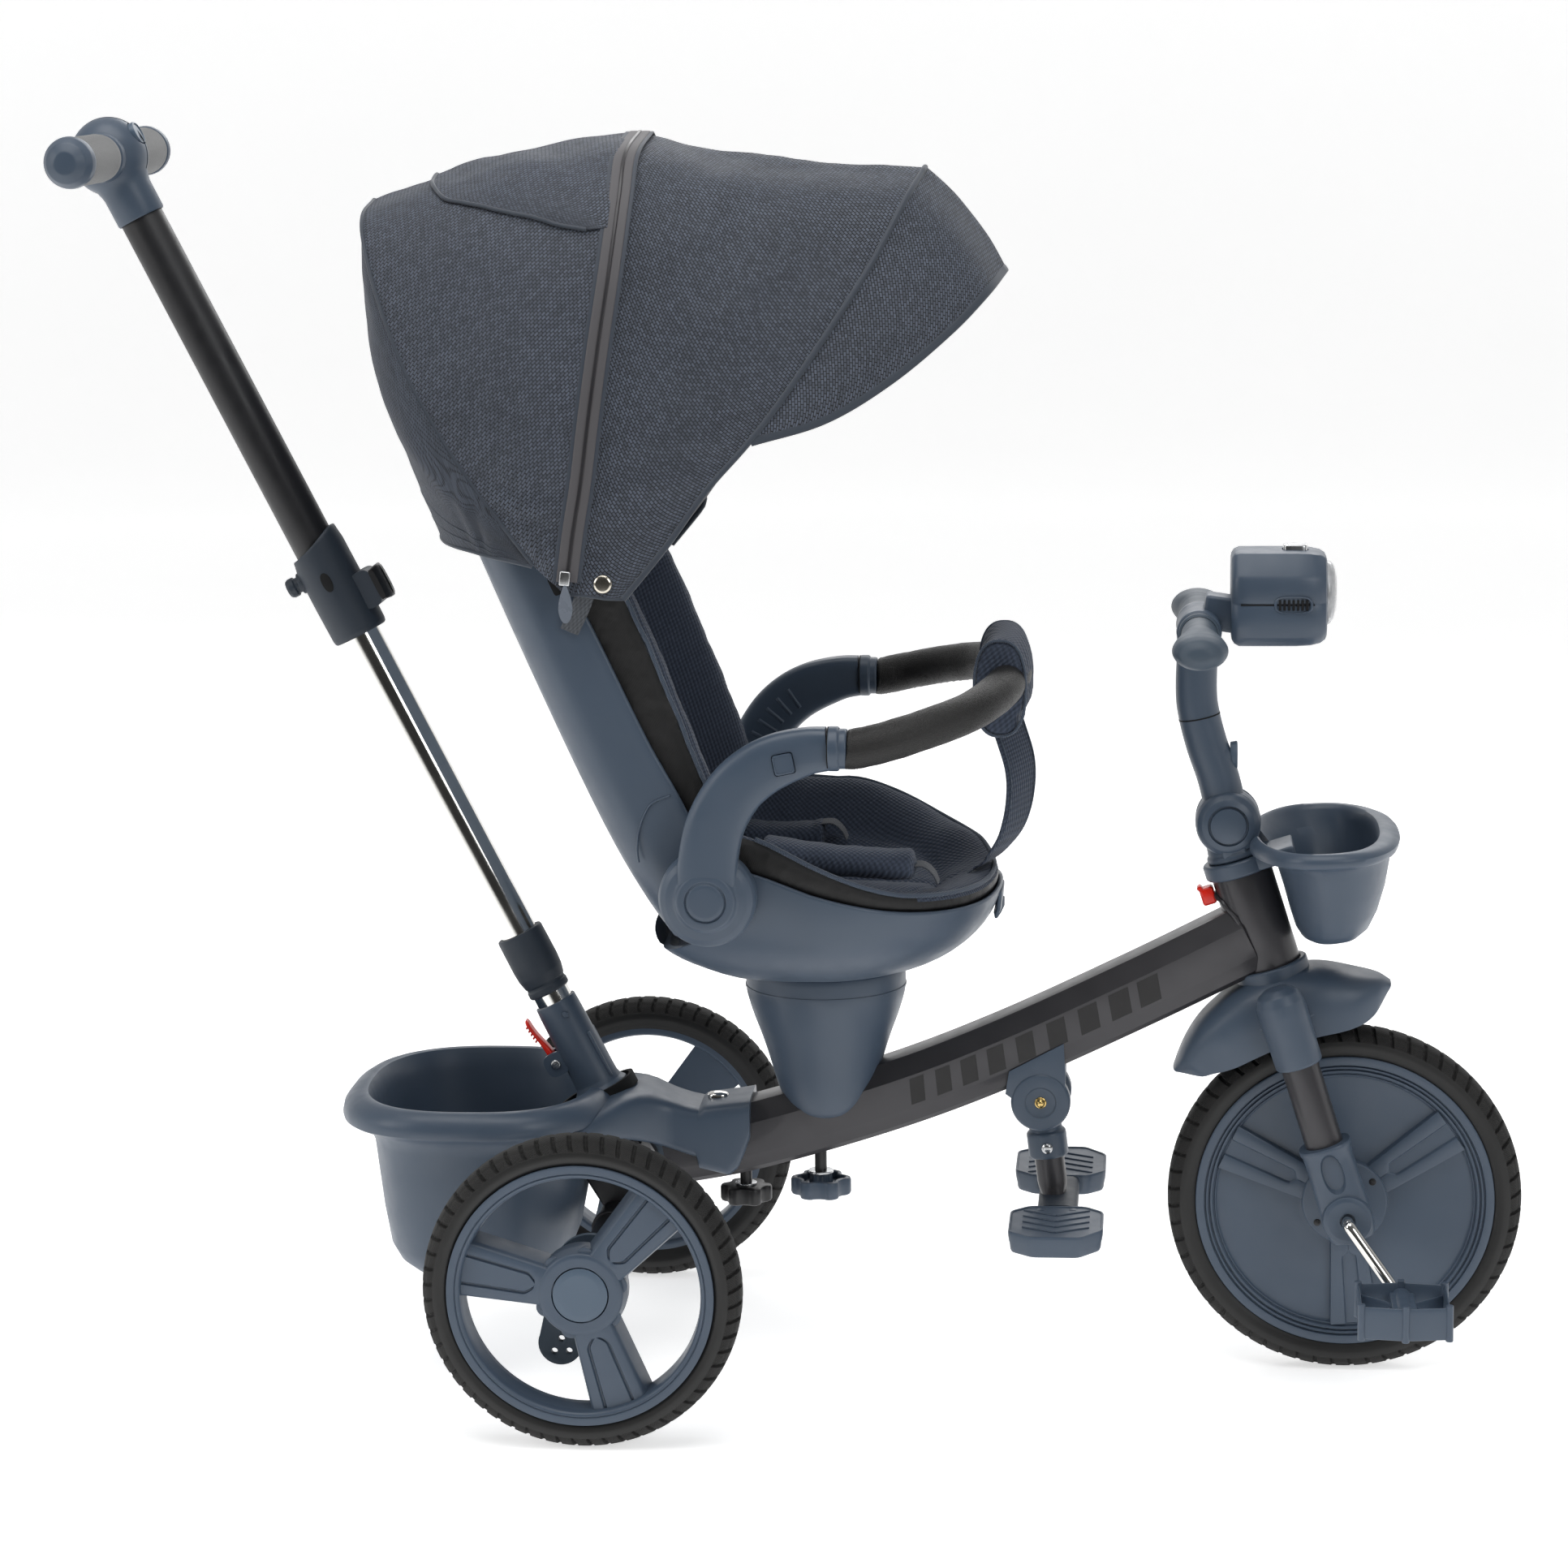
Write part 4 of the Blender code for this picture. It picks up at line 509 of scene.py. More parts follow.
def tube_along(name, path, radius, sides=20, flat=1.0):
    """A round or flattened bar along a path; radius is a number or a function of t from 0 to 1."""
    rings = []
    normal = Vector((0, 1, 0))
    for i, point in enumerate(path):
        point = Vector(point)
        forward = (Vector(path[min(i + 1, len(path) - 1)]) - Vector(path[max(i - 1, 0)])).normalized()
        normal = (normal - forward * normal.dot(forward))
        if normal.length < 1e-6:
            normal = forward.orthogonal()
        normal.normalize()
        other = forward.cross(normal)
        t = i / (len(path) - 1)
        size = radius(t) if callable(radius) else radius
        rings.append([point + normal * size * math.cos(a) + other * size * flat * math.sin(a)
                      for a in (2 * math.pi * k / sides for k in range(sides))])
    return loft(name, rings)


def ribbon(name, path, width, thickness, side, crown=0.0):
    """A flat strap along a path; side(t) is the direction across it."""
    rings = []
    for i, point in enumerate(path):
        t = i / (len(path) - 1)
        forward = (Vector(path[min(i + 1, len(path) - 1)]) - Vector(path[max(i - 1, 0)])).normalized()
        over = Vector(side(t))
        over = (over - forward * over.dot(forward)).normalized()
        up = forward.cross(over).normalized()
        half = width / 2
        ring = []
        for a, b in rounded(1.0, 1.0, 3.0, 20):
            ring.append(Vector(point) + over * half * a + up * (thickness / 2 * b + crown * (1 - a * a)))
        rings.append(ring)
    return loft(name, rings)


def swept(name, path, section):
    """A solid bar along a path in the XZ plane: section(t) gives (across, along Y) points of the cut at t."""
    rings = []
    for i, point in enumerate(path):
        forward = (path[min(i + 1, len(path) - 1)] - path[max(i - 1, 0)]).normalized()
        side = forward.cross(Vector((0, 1, 0))).normalized()
        binormal = side.cross(forward).normalized()
        t = i / (len(path) - 1)
        rings.append([point + side * a + binormal * b for a, b in section(t)])
    return loft(name, rings)


def rounded(half_x, half_y, power, count):
    """Points round a superellipse, starting at +X."""
    points = []
    for i in range(count):
        angle = 2 * math.pi * i / count
        c, s = math.cos(angle), math.sin(angle)
        points.append(
            (
                half_x * math.copysign(abs(c) ** (2 / power), c),
                half_y * math.copysign(abs(s) ** (2 / power), s)
            )
        )
    return points


def mix(a, b, t):
    return a + (b - a) * t


def ease(t):
    """A smooth step from 0 to 1."""
    t = min(max(t, 0.0), 1.0)
    return t * t * (3 - 2 * t)


def curve_at(points, t):
    """A point on the smooth curve through the points, t from 0 to 1, equal steps from point to point."""
    place = min(max(t, 0.0), 1.0) * (len(points) - 1)
    i = min(int(place), len(points) - 2)
    u = place - i
    p1, p2 = Vector(points[i]), Vector(points[i + 1])
    p0 = Vector(points[i - 1]) if i else 2 * p1 - p2
    p3 = Vector(points[i + 2]) if i + 2 < len(points) else 2 * p2 - p1
    return 0.5 * (
        2 * p1 + (p2 - p0) * u + (2 * p0 - 5 * p1 + 4 * p2 - p3) * u**2 + (3 * p1 - p0 - 3 * p2 + p3) * u**3
    )


def smooth_path(points, count):
    return [curve_at(points, i / (count - 1)) for i in range(count)]


def piece(obj, material, body, slot, *nodes, smooth=38):
    """Finishes a piece: its material, smooth shading, its body and the CAD nodes it stands for, which it
    hides. The slot argument is not used.
    """
    obj.data.materials.clear()
    obj.data.materials.append(MATERIALS[material])
    obj.data.shade_smooth()
    obj.data.set_sharp_from_angle(angle=math.radians(smooth))
    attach(obj, body)
    if nodes:
        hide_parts(*nodes)
    return obj


# ---------------------------------------------------------------- camera, light and floor

CAMERA_AT = Vector((0.29181, -3.44515, 1.13238))
CAMERA_YAW, CAMERA_PITCH, CAMERA_ROLL = -0.0890997, 0.1835232, -0.0126612
LENS = 98.06
FLOOR_RADIUS, WALL_HEIGHT = 6.0, 2.0
FLOOR_GLOW = 0.58
# From the first Y to the second the floor fades from dark, round the camera, to white.
DARK_BEYOND = (-2.6, -1.1)


def make_camera():
    yaw, pitch, roll = CAMERA_YAW, CAMERA_PITCH, CAMERA_ROLL
    ahead = Vector((math.sin(yaw) * math.cos(pitch), math.cos(yaw) * math.cos(pitch), -math.sin(pitch)))
    level = Vector((math.cos(yaw), -math.sin(yaw), 0.0))
    upright = level.cross(ahead)
    right = math.cos(roll) * level + math.sin(roll) * upright
    up = -math.sin(roll) * level + math.cos(roll) * upright
    data = bpy.data.cameras.new("camera")
    data.lens = LENS
    data.sensor_width = 36.0
    camera = bpy.data.objects.new("camera", data)
    bpy.context.scene.collection.objects.link(camera)
    camera.matrix_world = Matrix((right, up, -ahead)).transposed().to_4x4()
    camera.location = CAMERA_AT
    bpy.context.scene.camera = camera


def make_floor():
    """A white floor that curves up into a low round wall, and glows where it fills the picture."""
    profile = [(0.0, 0.0), (FLOOR_RADIUS, 0.0)]
    for i in range(1, 13):
        angle = math.pi / 2 * i / 12
        profile.append(
            (FLOOR_RADIUS + WALL_HEIGHT * math.sin(angle), WALL_HEIGHT - WALL_HEIGHT * math.cos(angle))
        )
    floor = turned("studio_floor", profile, Matrix.Identity(4), 128)
    surface = Surface("studio_white", Roughness=0.9, Specular_IOR_Level=0.1)
    haze = surface.noise(surface.coordinates(), 3.0, 2.0)
    split = surface.tree.nodes.new("ShaderNodeSeparateXYZ")
    surface.put(split.inputs[0], surface.coordinates())
    lit = surface.ramp(split.outputs["Y"], *DARK_BEYOND, 1.0, 0.0)
    white = surface.mix(haze, (0.90, 0.90, 0.90, 1), (0.93, 0.93, 0.93, 1))
    surface.put(surface.shader.inputs["Base Color"], surface.mix(lit, white, (0.07, 0.07, 0.07, 1)))
    surface.shader.inputs["Emission Color"].default_value = (1.0, 1.0, 1.0, 1.0)
    glow = surface.ramp(split.outputs["Y"], *DARK_BEYOND, 0.0, FLOOR_GLOW)
    surface.put(surface.shader.inputs["Emission Strength"], glow)
    floor.data.materials.append(surface.material)
    floor.data.shade_smooth()


def area_light(name, at, towards, size, power, colour=(1.0, 1.0, 1.0)):
    data = bpy.data.lights.new(name, "AREA")
    data.shape = "RECTANGLE"
    data.size, data.size_y = size
    data.energy = power
    data.color = colour
    light = bpy.data.objects.new(name, data)
    bpy.context.scene.collection.objects.link(light)
    light.location = at
    light.rotation_euler = (Vector(towards) - Vector(at)).to_track_quat("-Z", "Y").to_euler()


def make_light():
    world = bpy.data.worlds.new("studio")
    world.use_nodes = True
    tree = world.node_tree
    background = tree.nodes["Background"]
    direction = tree.nodes.new("ShaderNodeTexCoord")
    split = tree.nodes.new("ShaderNodeSeparateXYZ")
    tree.links.new(split.inputs[0], direction.outputs["Generated"])
    fade = tree.nodes.new("ShaderNodeMapRange")
    tree.links.new(fade.inputs["Value"], split.outputs["Y"])
    for key, value in (("From Min", -0.6), ("From Max", 0.6), ("To Min", 0.10), ("To Max", 0.55)):
        fade.inputs[key].default_value = value
    tree.links.new(background.inputs["Strength"], fade.outputs["Result"])
    background.inputs["Color"].default_value = (1.0, 1.0, 1.0, 1.0)
    bpy.context.scene.world = world
    bpy.context.scene.view_settings.view_transform = "Standard"
    area_light("top_softbox", (-0.3, -0.6, 2.9), (0.0, 0.1, 0.4), (2.6, 2.0), 46.0)
    area_light("left_softbox", (-2.9, -1.5, 1.7), (0.0, 0.0, 0.5), (1.2, 1.8), 23.0, (1.0, 0.99, 0.97))
    area_light("front_softbox", (2.2, -2.6, 2.0), (0.1, 0.0, 0.5), (1.4, 1.6), 26.0, (0.97, 0.99, 1.0))
    area_light("back_softbox", (0.4, 2.8, 2.2), (0.0, 0.0, 0.6), (2.4, 1.4), 26.0)


# ---------------------------------------------------------------- wheels

TREAD_BLOCKS = 60


def tyre_section(radius, rim_radius):
    """Points (radius, height, place across the tread from -1 to 1, groove share), bead to bead."""
    bead = (rim_radius + 0.0004, 0.0168)
    shoulder_centre = radius - 0.0150
    half = [(rim_radius - 0.0040, 0.0150)]
    for k in range(5):
        t = k / 4
        half.append(
            (
                mix(bead[0], shoulder_centre, ease(t) * 0.999),
                mix(bead[1], TYRE_HALF_WIDTH, math.sin(t * math.pi / 2))
            )
        )
    for k in range(1, 15):
        angle = math.pi / 2 * k / 14
        half.append((shoulder_centre + 0.0150 * math.sin(angle), TYRE_HALF_WIDTH * math.cos(angle) ** 0.80))
    half[-1] = (radius, 0.0)
    side = list(reversed(half))
    points = []
    count = len(half)
    for i, (r, h) in enumerate(half):
        points.append((r, h, 1.0 - i / (count - 1)))
    for i, (r, h) in enumerate(side[1:]):
        points.append((r, -h, -(i + 1) / (count - 1)))
    return points


def make_tyre(name, centre, radius, rim_radius, side, body):
    """A tyre whose curved tread grooves are real relief: each groove has its own columns of points, and their
    floors take a near-black painted shade.
    """
    step = 2 * math.pi / TREAD_BLOCKS
    width = 0.00115 / radius
    columns = (
        -1.7 * width, -0.8 * width, 0.8 * width, 1.7 * width, 0.22 * step, 0.40 * step, 0.58 * step,
        0.78 * step
    )
    depths = (0.0, 1.0, 1.0, 0.0, 0.0, 0.0, 0.0, 0.0)
    place = across(centre, side)
    section = tyre_section(radius, rim_radius)
    bm = bmesh.new()
    layer = bm.loops.layers.uv.new("UVMap")
    rows = []
    for r, h, v in section:
        reach = 1 - abs(v)
        bend = 0.55 * step * math.sin(min(reach / 0.95, 1.0) * 1.5)
        shift = bend + (0.5 * step if v < 0 else 0.0) * ease((0.12 - reach + 0.5) * 2)
        on_tread = ease((0.575 - abs(v)) / 0.03) * ease((abs(v) - 0.045) / 0.05)
        ring_groove = math.exp(-(((abs(v) - 0.30) / 0.022) ** 2)) * 0.0014
        edge_bead = math.exp(-(((abs(v) - 0.60) / 0.02) ** 2)) * 0.0005
        row = []
        for block in range(TREAD_BLOCKS):
            for offset, depth in zip(columns, depths):
                angle = block * step + offset + shift
                sink = depth * on_tread * 0.0024 + ring_groove * (
                    0.4 + 0.6 * math.cos(block * 2.1 + offset * 9 / step) ** 2
                )
                lift = edge_bead - sink
                out = Vector(
                    (r - (radius - 0.0150), h)
                ).normalized() if r > radius - 0.016 else Vector((0.2, math.copysign(1, h)))
                row.append(
                    bm.verts.new(
                        place
                        @ Vector(
                            (
                                (r + out.x * lift) * math.cos(angle), (r + out.x * lift) * math.sin(angle),
                                h + out.y * lift
                            )
                        )
                    )
                )
        rows.append(row)
    count = TREAD_BLOCKS * len(columns)
    for k in range(len(rows)):
        first, second = rows[k], rows[(k + 1) % len(rows)]
        v1 = section[k][2]
        v2 = section[k + 1][2] if k + 1 < len(section) else 1.0
        for i in range(count):
            j = (i + 1) % count
            face = bm.faces.new((first[i], first[j], second[j], second[i]))
            # The groove floors get the second material, shadow_gap: painted shade in the grooves.
            face.material_index = int(i % len(columns) == 1 and 0.05 < abs(v1 + v2) / 2 < 0.575)
            u1, u2 = (2 * math.pi * radius * x / count for x in (i, i + 1))
            for loop, uv in zip(face.loops, ((u1, v1), (u2, v1), (u2, v2), (u1, v2))):
                loop[layer].uv = uv
    tyre = piece(mesh_from(name, bm), "rubber", body, "tyre", name.replace("_cover", ""), smooth=50)
    tyre.data.materials.append(MATERIALS["gap"])
    return tyre


def spoke_section(reach, near, far, height, foot):
    """Half of a spoke's cut as (across, height): a flat face with a groove round an oblong panel."""
    t = (reach - near) / (far - near)
    half = mix(0.0150, 0.0225, t)
    web = mix(0.0062, 0.0112, t) * math.sqrt(ease((reach - 0.036) / 0.009))
    dip = 0.0022 * ease((reach - 0.0365) / 0.002)
    top = height - 0.0010 * t
    return [
        (0.0, top - 0.0002), (max(web - 0.0010, 0.0), top - 0.0002), (web, top - dip),
        (web + 0.0012, top - dip), (web + 0.0020, top), (half - 0.0022, top), (half - 0.0004, top - 0.0012),
        (half + 0.0012, top - 0.0060), (half + 0.0038, foot + 0.002), (half + 0.0040, foot)
    ]


def make_spoke(name, centre, side, angle, near=0.022, far=0.0970, height=0.0148, foot=-0.0105):
    out = Vector((math.cos(angle), 0, math.sin(angle)))
    over = Vector((-math.sin(angle), 0, math.cos(angle)))
    rings = []
    reaches = [near + (far - near) * i / 60 for i in range(61)]
    for reach in reaches:
        half = spoke_section(reach, near, far, height, foot)
        loop = half + [(-a, b) for a, b in reversed(half[1:])]
        rings.append([centre + out * reach + over * a + Vector((0, side * b, 0)) for a, b in loop])
    return loft(name, rings)


def make_rear_wheel(side, label):
    """Tyre, rim band, three spokes and hub of one rear wheel."""
    centre = REAR_AXLE + Vector((0, side * REAR_TRACK, 0))
    body = "wheel_" + label
    place = across(centre, side)
    make_tyre("rear_tyre_" + label + "_cover", centre, REAR_WHEEL_RADIUS, REAR_RIM_RADIUS, side, body)
    band = [
        (REAR_RIM_RADIUS, 0.0194), (REAR_RIM_RADIUS - 0.0006, 0.0198), (0.1000, 0.0198), (0.0995, 0.0186),
        (0.0990, 0.0186), (0.0986, 0.0196), (0.0968, 0.0190), (0.0955, 0.0172), (0.0948, 0.0120),
        (0.0940, -0.0020), (0.0946, -0.0100), (0.0962, -0.0140), (0.0975, -0.0150), (REAR_RIM_RADIUS, -0.0150)
    ]
    rim = turned("rear_rim_" + label + "_moulding", eased(band, 0.0008, 3, True), place, 160, ring=True)
    spokes = [make_spoke(f"spoke_{n}", centre, side, math.radians(48 + 120 * n)) for n in range(3)]
    hub_profile = eased(
        [
            (0.0228, 0.0158), (0.0305, 0.0158), (0.0335, 0.0145), (0.0365, 0.0040), (0.0360, -0.0120),
            (0.0300, -0.0175), (0.0, -0.0175)
        ],
        0.0020, 4
    )
    hub = turned("hub", [(0.0222, 0.0120)] + hub_profile, place, 96)
    webs = []
    for n in range(3):
        angle = math.radians(48 + 120 * n)
        for turn in (-1, 1):
            heading = angle + turn * 0.60
            out = Vector((math.cos(heading), 0, math.sin(heading)))
            start = centre + out * 0.030 + Vector((0, side * -0.006, 0))
            webs.append(
                rod(
                    "web", start + Vector((0, side * 0.0175, 0)), start - Vector((0, side * 0.006, 0)),
                    0.0080, 0.0050, steps=24
                )
            )
    gather(rim, hub, *spokes, *webs)
    piece(rim, "slate", body, "slate", "rear_rim_" + label)
    cap = turned(
        "hub_cap_" + label,
        eased([(0.0, 0.0170), (0.0165, 0.0169), (0.0218, 0.0163), (0.0218, 0.0120), (0.0, 0.0120)], 0.0008),
        place, 72
    )
    piece(cap, "slate_light", body, "slate")
    # A near-black disc in the gap under the hub cap: painted shade.
    gap = turned(
        "hub_cap_gap_" + label, [(0.0, 0.0126), (0.0229, 0.0126), (0.0229, 0.0110), (0.0, 0.0110)], place, 72
    )
    piece(gap, "gap", body, "slate")


def make_front_wheel():
    """Tyre, stepped disc with three double ribs, hub screws, and the crank with its pedals."""
    make_tyre("front_tyre_cover", FRONT_AXLE, FRONT_WHEEL_RADIUS, FRONT_RIM_RADIUS, -1, "wheel_front")
    half = [
        (0.0058, 0.0205), (0.0150, 0.0212), (0.0340, 0.0212), (0.0352, 0.0198), (0.0354, 0.0112),
        (0.0395, 0.0112), (0.0700, 0.0108), (0.1040, 0.0112), (0.1052, 0.0118), (0.1058, 0.0140),
        (0.1066, 0.0142), (0.1070, 0.0132), (0.1078, 0.0132), (0.1083, 0.0158), (0.1104, 0.0166),
        (0.1108, 0.0142), (0.1120, 0.0142), (0.1121, 0.0170), (0.1138, 0.0178), (0.1142, 0.0156),
        (0.1152, 0.0156), (0.1155, 0.0184), (0.1215, 0.0184), (FRONT_RIM_RADIUS, 0.0178)
    ]
    profile = eased(half + [(r, -h) for r, h in reversed(half)], 0.0005, 2, True)
    disc = turned("front_rim_moulding", profile, across(FRONT_AXLE, -1), 160, ring=True)
    spokes = []
    for n in range(3):
        angle = math.radians(35 + 120 * n)
        for side in (-1, 1):
            spokes.append(front_spoke(f"front_spoke_{n}_{side}", angle, side))
    gather(disc, *spokes)
    piece(disc, "slate", "wheel_front", "slate", "front_rim")
    for side in (-1, 1):
        for angle in (math.radians(38), math.radians(218)):
            at = FRONT_AXLE + Vector((0.0285 * math.cos(angle), side * 0.0212, 0.0285 * math.sin(angle)))
            screw = turned(
                "hub_screw",
                eased([(0.0, 0.0012), (0.0028, 0.0008), (0.0032, -0.001), (0.0, -0.001)], 0.0003),
                across(at, side), 20
            )
            cross = box("hub_screw_slot", (0.0036, 0.0012, 0.0007), at + Vector((0, side * 0.0010, 0)), 0.6)
            gather(screw, cross)
            screw.name = f"hub_screw_{side}_{round(math.degrees(angle))}"
            piece(screw, "black_plastic", "wheel_front", "slate")
    arm = Vector((0.0415, 0, -0.0555))
    right = [
        (-0.0822, 0.0), (-0.0860, 0.02), (-0.0900, 0.12), (-0.1035, 0.88), (-0.1090, 0.98), (-0.1125, 1.0),
        (-0.1780, 1.0)
    ]
    half_line = smooth_path([Vector((0, y, 0)) + arm * reach for y, reach in right[:6]], 30)
    points = [arm + Vector((0, -0.178, 0))] + list(reversed(half_line))
    points = [FRONT_AXLE + p for p in points]
    points += [FRONT_AXLE - (p - FRONT_AXLE) for p in reversed(points)]
    crank = tube_along("crank_bar", points, 0.0050, 20)
    piece(crank, "chrome", "wheel_front", "chrome", "crank", smooth=60)
    for side, label in SIDES:
        make_pedal(label, FRONT_AXLE - arm * side, side)


def front_spoke(name, angle, side):
    """A low double rib on the wheel disc, with a rounded slot between its two halves."""
    out = Vector((math.cos(angle), 0, math.sin(angle)))
    over = Vector((-math.sin(angle), 0, math.cos(angle)))
    rings = []
    for i in range(25):
        t = i / 24
        reach = mix(0.032, 0.1055, t)
        half = mix(0.0135, 0.0195, t)
        slot = mix(0.0060, 0.0075, t) * ease((reach - 0.0425) / 0.006)
        low, top = 0.0100, 0.0165 + 0.0015 * (1 - t)
        floor = top - 0.0024 * ease((reach - 0.0425) / 0.004)
        half_loop = [
            (0.0, floor), (max(slot - 0.0012, 0.0), floor), (slot, top - 0.0003), (slot + 0.0008, top),
            (half - 0.0010, top), (half, top - 0.0006), (half + 0.0012, low)
        ]
        loop = half_loop + [(-a, b) for a, b in reversed(half_loop[1:])]
        rings.append([FRONT_AXLE + out * reach + over * a + Vector((0, side * b, 0)) for a, b in loop])
    return loft(name, rings)


def make_pedal(label, spindle, side):
    """An open moulded frame with corner posts, a spindle tube and crossed ribs."""
    centre = spindle + Vector((0, side * 0.150, 0.0030))
    half_x, half_y, half_z = 0.0345, 0.0355, 0.0132
    outline = [
        (-half_x, -half_y * 0.86), (0.0, -half_y), (half_x, -half_y * 0.86), (half_x, half_y * 0.86),
        (0.0, half_y), (-half_x, half_y * 0.86)
    ]
    wall = []
    for n, (x, y) in enumerate(outline):
        nx, ny = outline[(n + 1) % len(outline)]
        start, end = centre + Vector((x, y, 0)), centre + Vector((nx, ny, 0))
        path = [start, start.lerp(end, 0.5), end]
        wall.append(ribbon(f"wall_{n}", path, 2 * half_z, 0.0028, lambda t: (0, 0, 1)))
        wall.append(
            rod(
                f"post_{n}", start - Vector((0, 0, half_z + 0.0012)), start + Vector((0, 0, half_z + 0.0022)),
                0.0030, steps=20
            )
        )
    spindle_tube = rod(
        "spindle_tube", centre - Vector((0, half_y, 0)), centre + Vector((0, half_y, 0)), 0.0092, steps=40
    )
    flat = box("spindle_block", (0.0200, 0.0560, 0.0150), centre, 0.0, 0.0015)
    ribs = []
    for x in (-1, 1):
        for y in (-1, 1):
            start = centre + Vector((x * 0.008, y * 0.004, 0))
            end = centre + Vector((x * half_x, y * half_y * 0.82, 0))
            ribs.append(
                ribbon(
                    f"rib_{x}_{y}", [start, start.lerp(end, 0.5), end], 0.0110, 0.0022, lambda t: (0, 0, 1)
                )
            )
    gather(spindle_tube, flat, *wall, *ribs)
    spindle_tube.name = "pedal_body_" + label
    piece(spindle_tube, "slate", "pedal_" + label, "slate", "pedal_" + label)


def make_brake_lever(label, side):
    """The flat lever inside a rear wheel, with three holes in its foot."""
    lobe = Vector((-0.186, 0, 0.066))
    away = (lobe - REAR_AXLE).normalized()
    heading = math.atan2(away.z, away.x)
    outline = []
    for centre, radius, turn in ((REAR_AXLE, 0.030, math.pi), (lobe, 0.018, 0.0)):
        for i in range(25):
            angle = heading + turn - math.pi / 2 + math.pi * i / 24
            outline.append(
                Vector((centre.x + radius * math.cos(angle), 0, centre.z + radius * math.sin(angle)))
            )
    y = side * 0.1775
    rings = [[p + Vector((0, y + offset, 0)) for p in outline] for offset in (-0.003, 0.003)]
    lever = loft("brake_pedal_" + label, rings)
    holes = [rod("hole", (x, y - 0.01, z), (x, y + 0.01, z), 0.0026, steps=20)
             for x, z in ((-0.191, 0.0595), (-0.179, 0.0597), (-0.185, 0.0700))]
    carve(lever, *holes)
    bevel(lever, 0.0008, 2)
    piece(lever, "slate_matt", "brake_" + label, "slate", "brake_lever_" + label)


# ---------------------------------------------------------------- frame

BEAM_LINE = ((-0.118, 0, 0.180), (-0.042, 0, 0.1955), (0.0715, 0, 0.2305), (0.166, 0, 0.268),
             (0.274, 0, 0.319), (0.366, 0, 0.3655))
HEAD_LOW, HEAD_HIGH = 0.196, 0.287
HEAD_RADIUS = 0.025


def steering_point(along_axis, ahead=0.0, y=0.0):
    """A point of the steering, from the front axle: up along its axis and ahead of it."""
    s, c = math.sin(STEERING_TILT), math.cos(STEERING_TILT)
    return FRONT_AXLE + Vector((-s * along_axis + c * ahead, y, c * along_axis + s * ahead))


def handle_point(along_axis, ahead=0.0, y=0.0):
    """A point of the push handle, from its root: up along its axis and ahead of it."""
    s, c = math.sin(HANDLE_TILT), math.cos(HANDLE_TILT)
    return HANDLE_ROOT + Vector((-s * along_axis + c * ahead, y, c * along_axis + s * ahead))


def beam_section(extra=0.0):
    """The pressed beam's cut: flat sides with a step near the top edge and chamfered corners."""
    w, h = BEAM_WIDTH / 2 + extra, BEAM_HEIGHT / 2 + extra
    return [
        (h, w - 0.0125), (h - 0.0006, w - 0.0085), (h - 0.0125, w - 0.0020), (h - 0.0150, w - 0.0006),
        (h - 0.0160, w), (-h + 0.0165, w), (-h + 0.0150, w - 0.0008), (-h + 0.0050, w - 0.0026),
        (-h + 0.0012, w - 0.0060), (-h, w - 0.0110)
    ]


def make_frame():
    """The beam, the head tube and the weld between them."""
    half = beam_section()
    section = half + [(a, -b) for a, b in reversed(half)]
    beam = swept("beam", smooth_path(BEAM_LINE, 48), lambda t: section)
    head = turned(
        "head_tube",
        eased(
            [(0.0152, HEAD_LOW), (HEAD_RADIUS, HEAD_LOW), (HEAD_RADIUS, HEAD_HIGH), (0.0152, HEAD_HIGH)],
            0.0008, 3, True
        ),
        along(FRONT_AXLE, STEERING_TILT), 96, ring=True
    )
    bead_path = []
    for i in range(49):
        angle = 2 * math.pi * i / 48
        up, y = (BEAM_HEIGHT / 2 - 0.001) * math.sin(angle), (BEAM_WIDTH / 2 - 0.003) * math.cos(angle)
        s = 0.2425 + up * 1.18
        ahead = -math.sqrt(max(HEAD_RADIUS**2 - y * y, 0.0)) - 0.0006
        bead_path.append(steering_point(s, ahead, y) + Vector((0, 0, 0.0006 * math.sin(12 * angle))))
    bead = tube_along("weld_bead", bead_path, lambda t: 0.0022 + 0.0005 * math.sin(90 * t), 10)
    gather(beam, head, bead)
    beam.name = "frame_beam"
    piece(beam, "frame_paint", "frame", "frame_paint", "main_frame", smooth=30)
    make_stripe()
    make_strut()
    for side, label in SIDES:
        make_brake_lever(label, side)
    steel = rod("axle_bar", REAR_AXLE + Vector((0, -0.212, 0)), REAR_AXLE + Vector((0, 0.212, 0)), 0.0050)
    piece(steel, "steel", "frame", "black_plastic")


def make_stripe():
    """A tapered stripe of slanted bars along both sides of the beam, in place of the lettering."""
    bars = []
    for side in (-1, 1):
        for n in range(9):
            t = 0.445 + 0.047 * n
            centre = curve_at(BEAM_LINE, t)
            forward = (curve_at(BEAM_LINE, t + 0.02) - centre).normalized()
            up = Vector((-forward.z, 0, forward.x))
            half, tall = 0.0062 + 0.0004 * n, 0.0105
            corners = [
                (-half - 0.003, -tall), (half - 0.003, -tall), (half + 0.003, tall), (-half + 0.003, tall)
            ]
            bm = bmesh.new()
            y = side * (BEAM_WIDTH / 2 + 0.0001)
            ring = [centre + forward * a + up * b + Vector((0, y, 0)) for a, b in corners]
            lower = [bm.verts.new(p - Vector((0, side * 0.0004, 0))) for p in ring]
            upper = [bm.verts.new(p + Vector((0, side * 0.0001, 0))) for p in ring]
            bm.faces.new(lower)
            bm.faces.new(upper)
            for i in range(4):
                bm.faces.new((lower[i], lower[(i + 1) % 4], upper[(i + 1) % 4], upper[i]))
            bars.append(mesh_from("bar", bm))
    stripe = gather(*bars)
    stripe.name = "beam_decal"
    piece(stripe, "beam_stripe", "frame", "frame_paint")


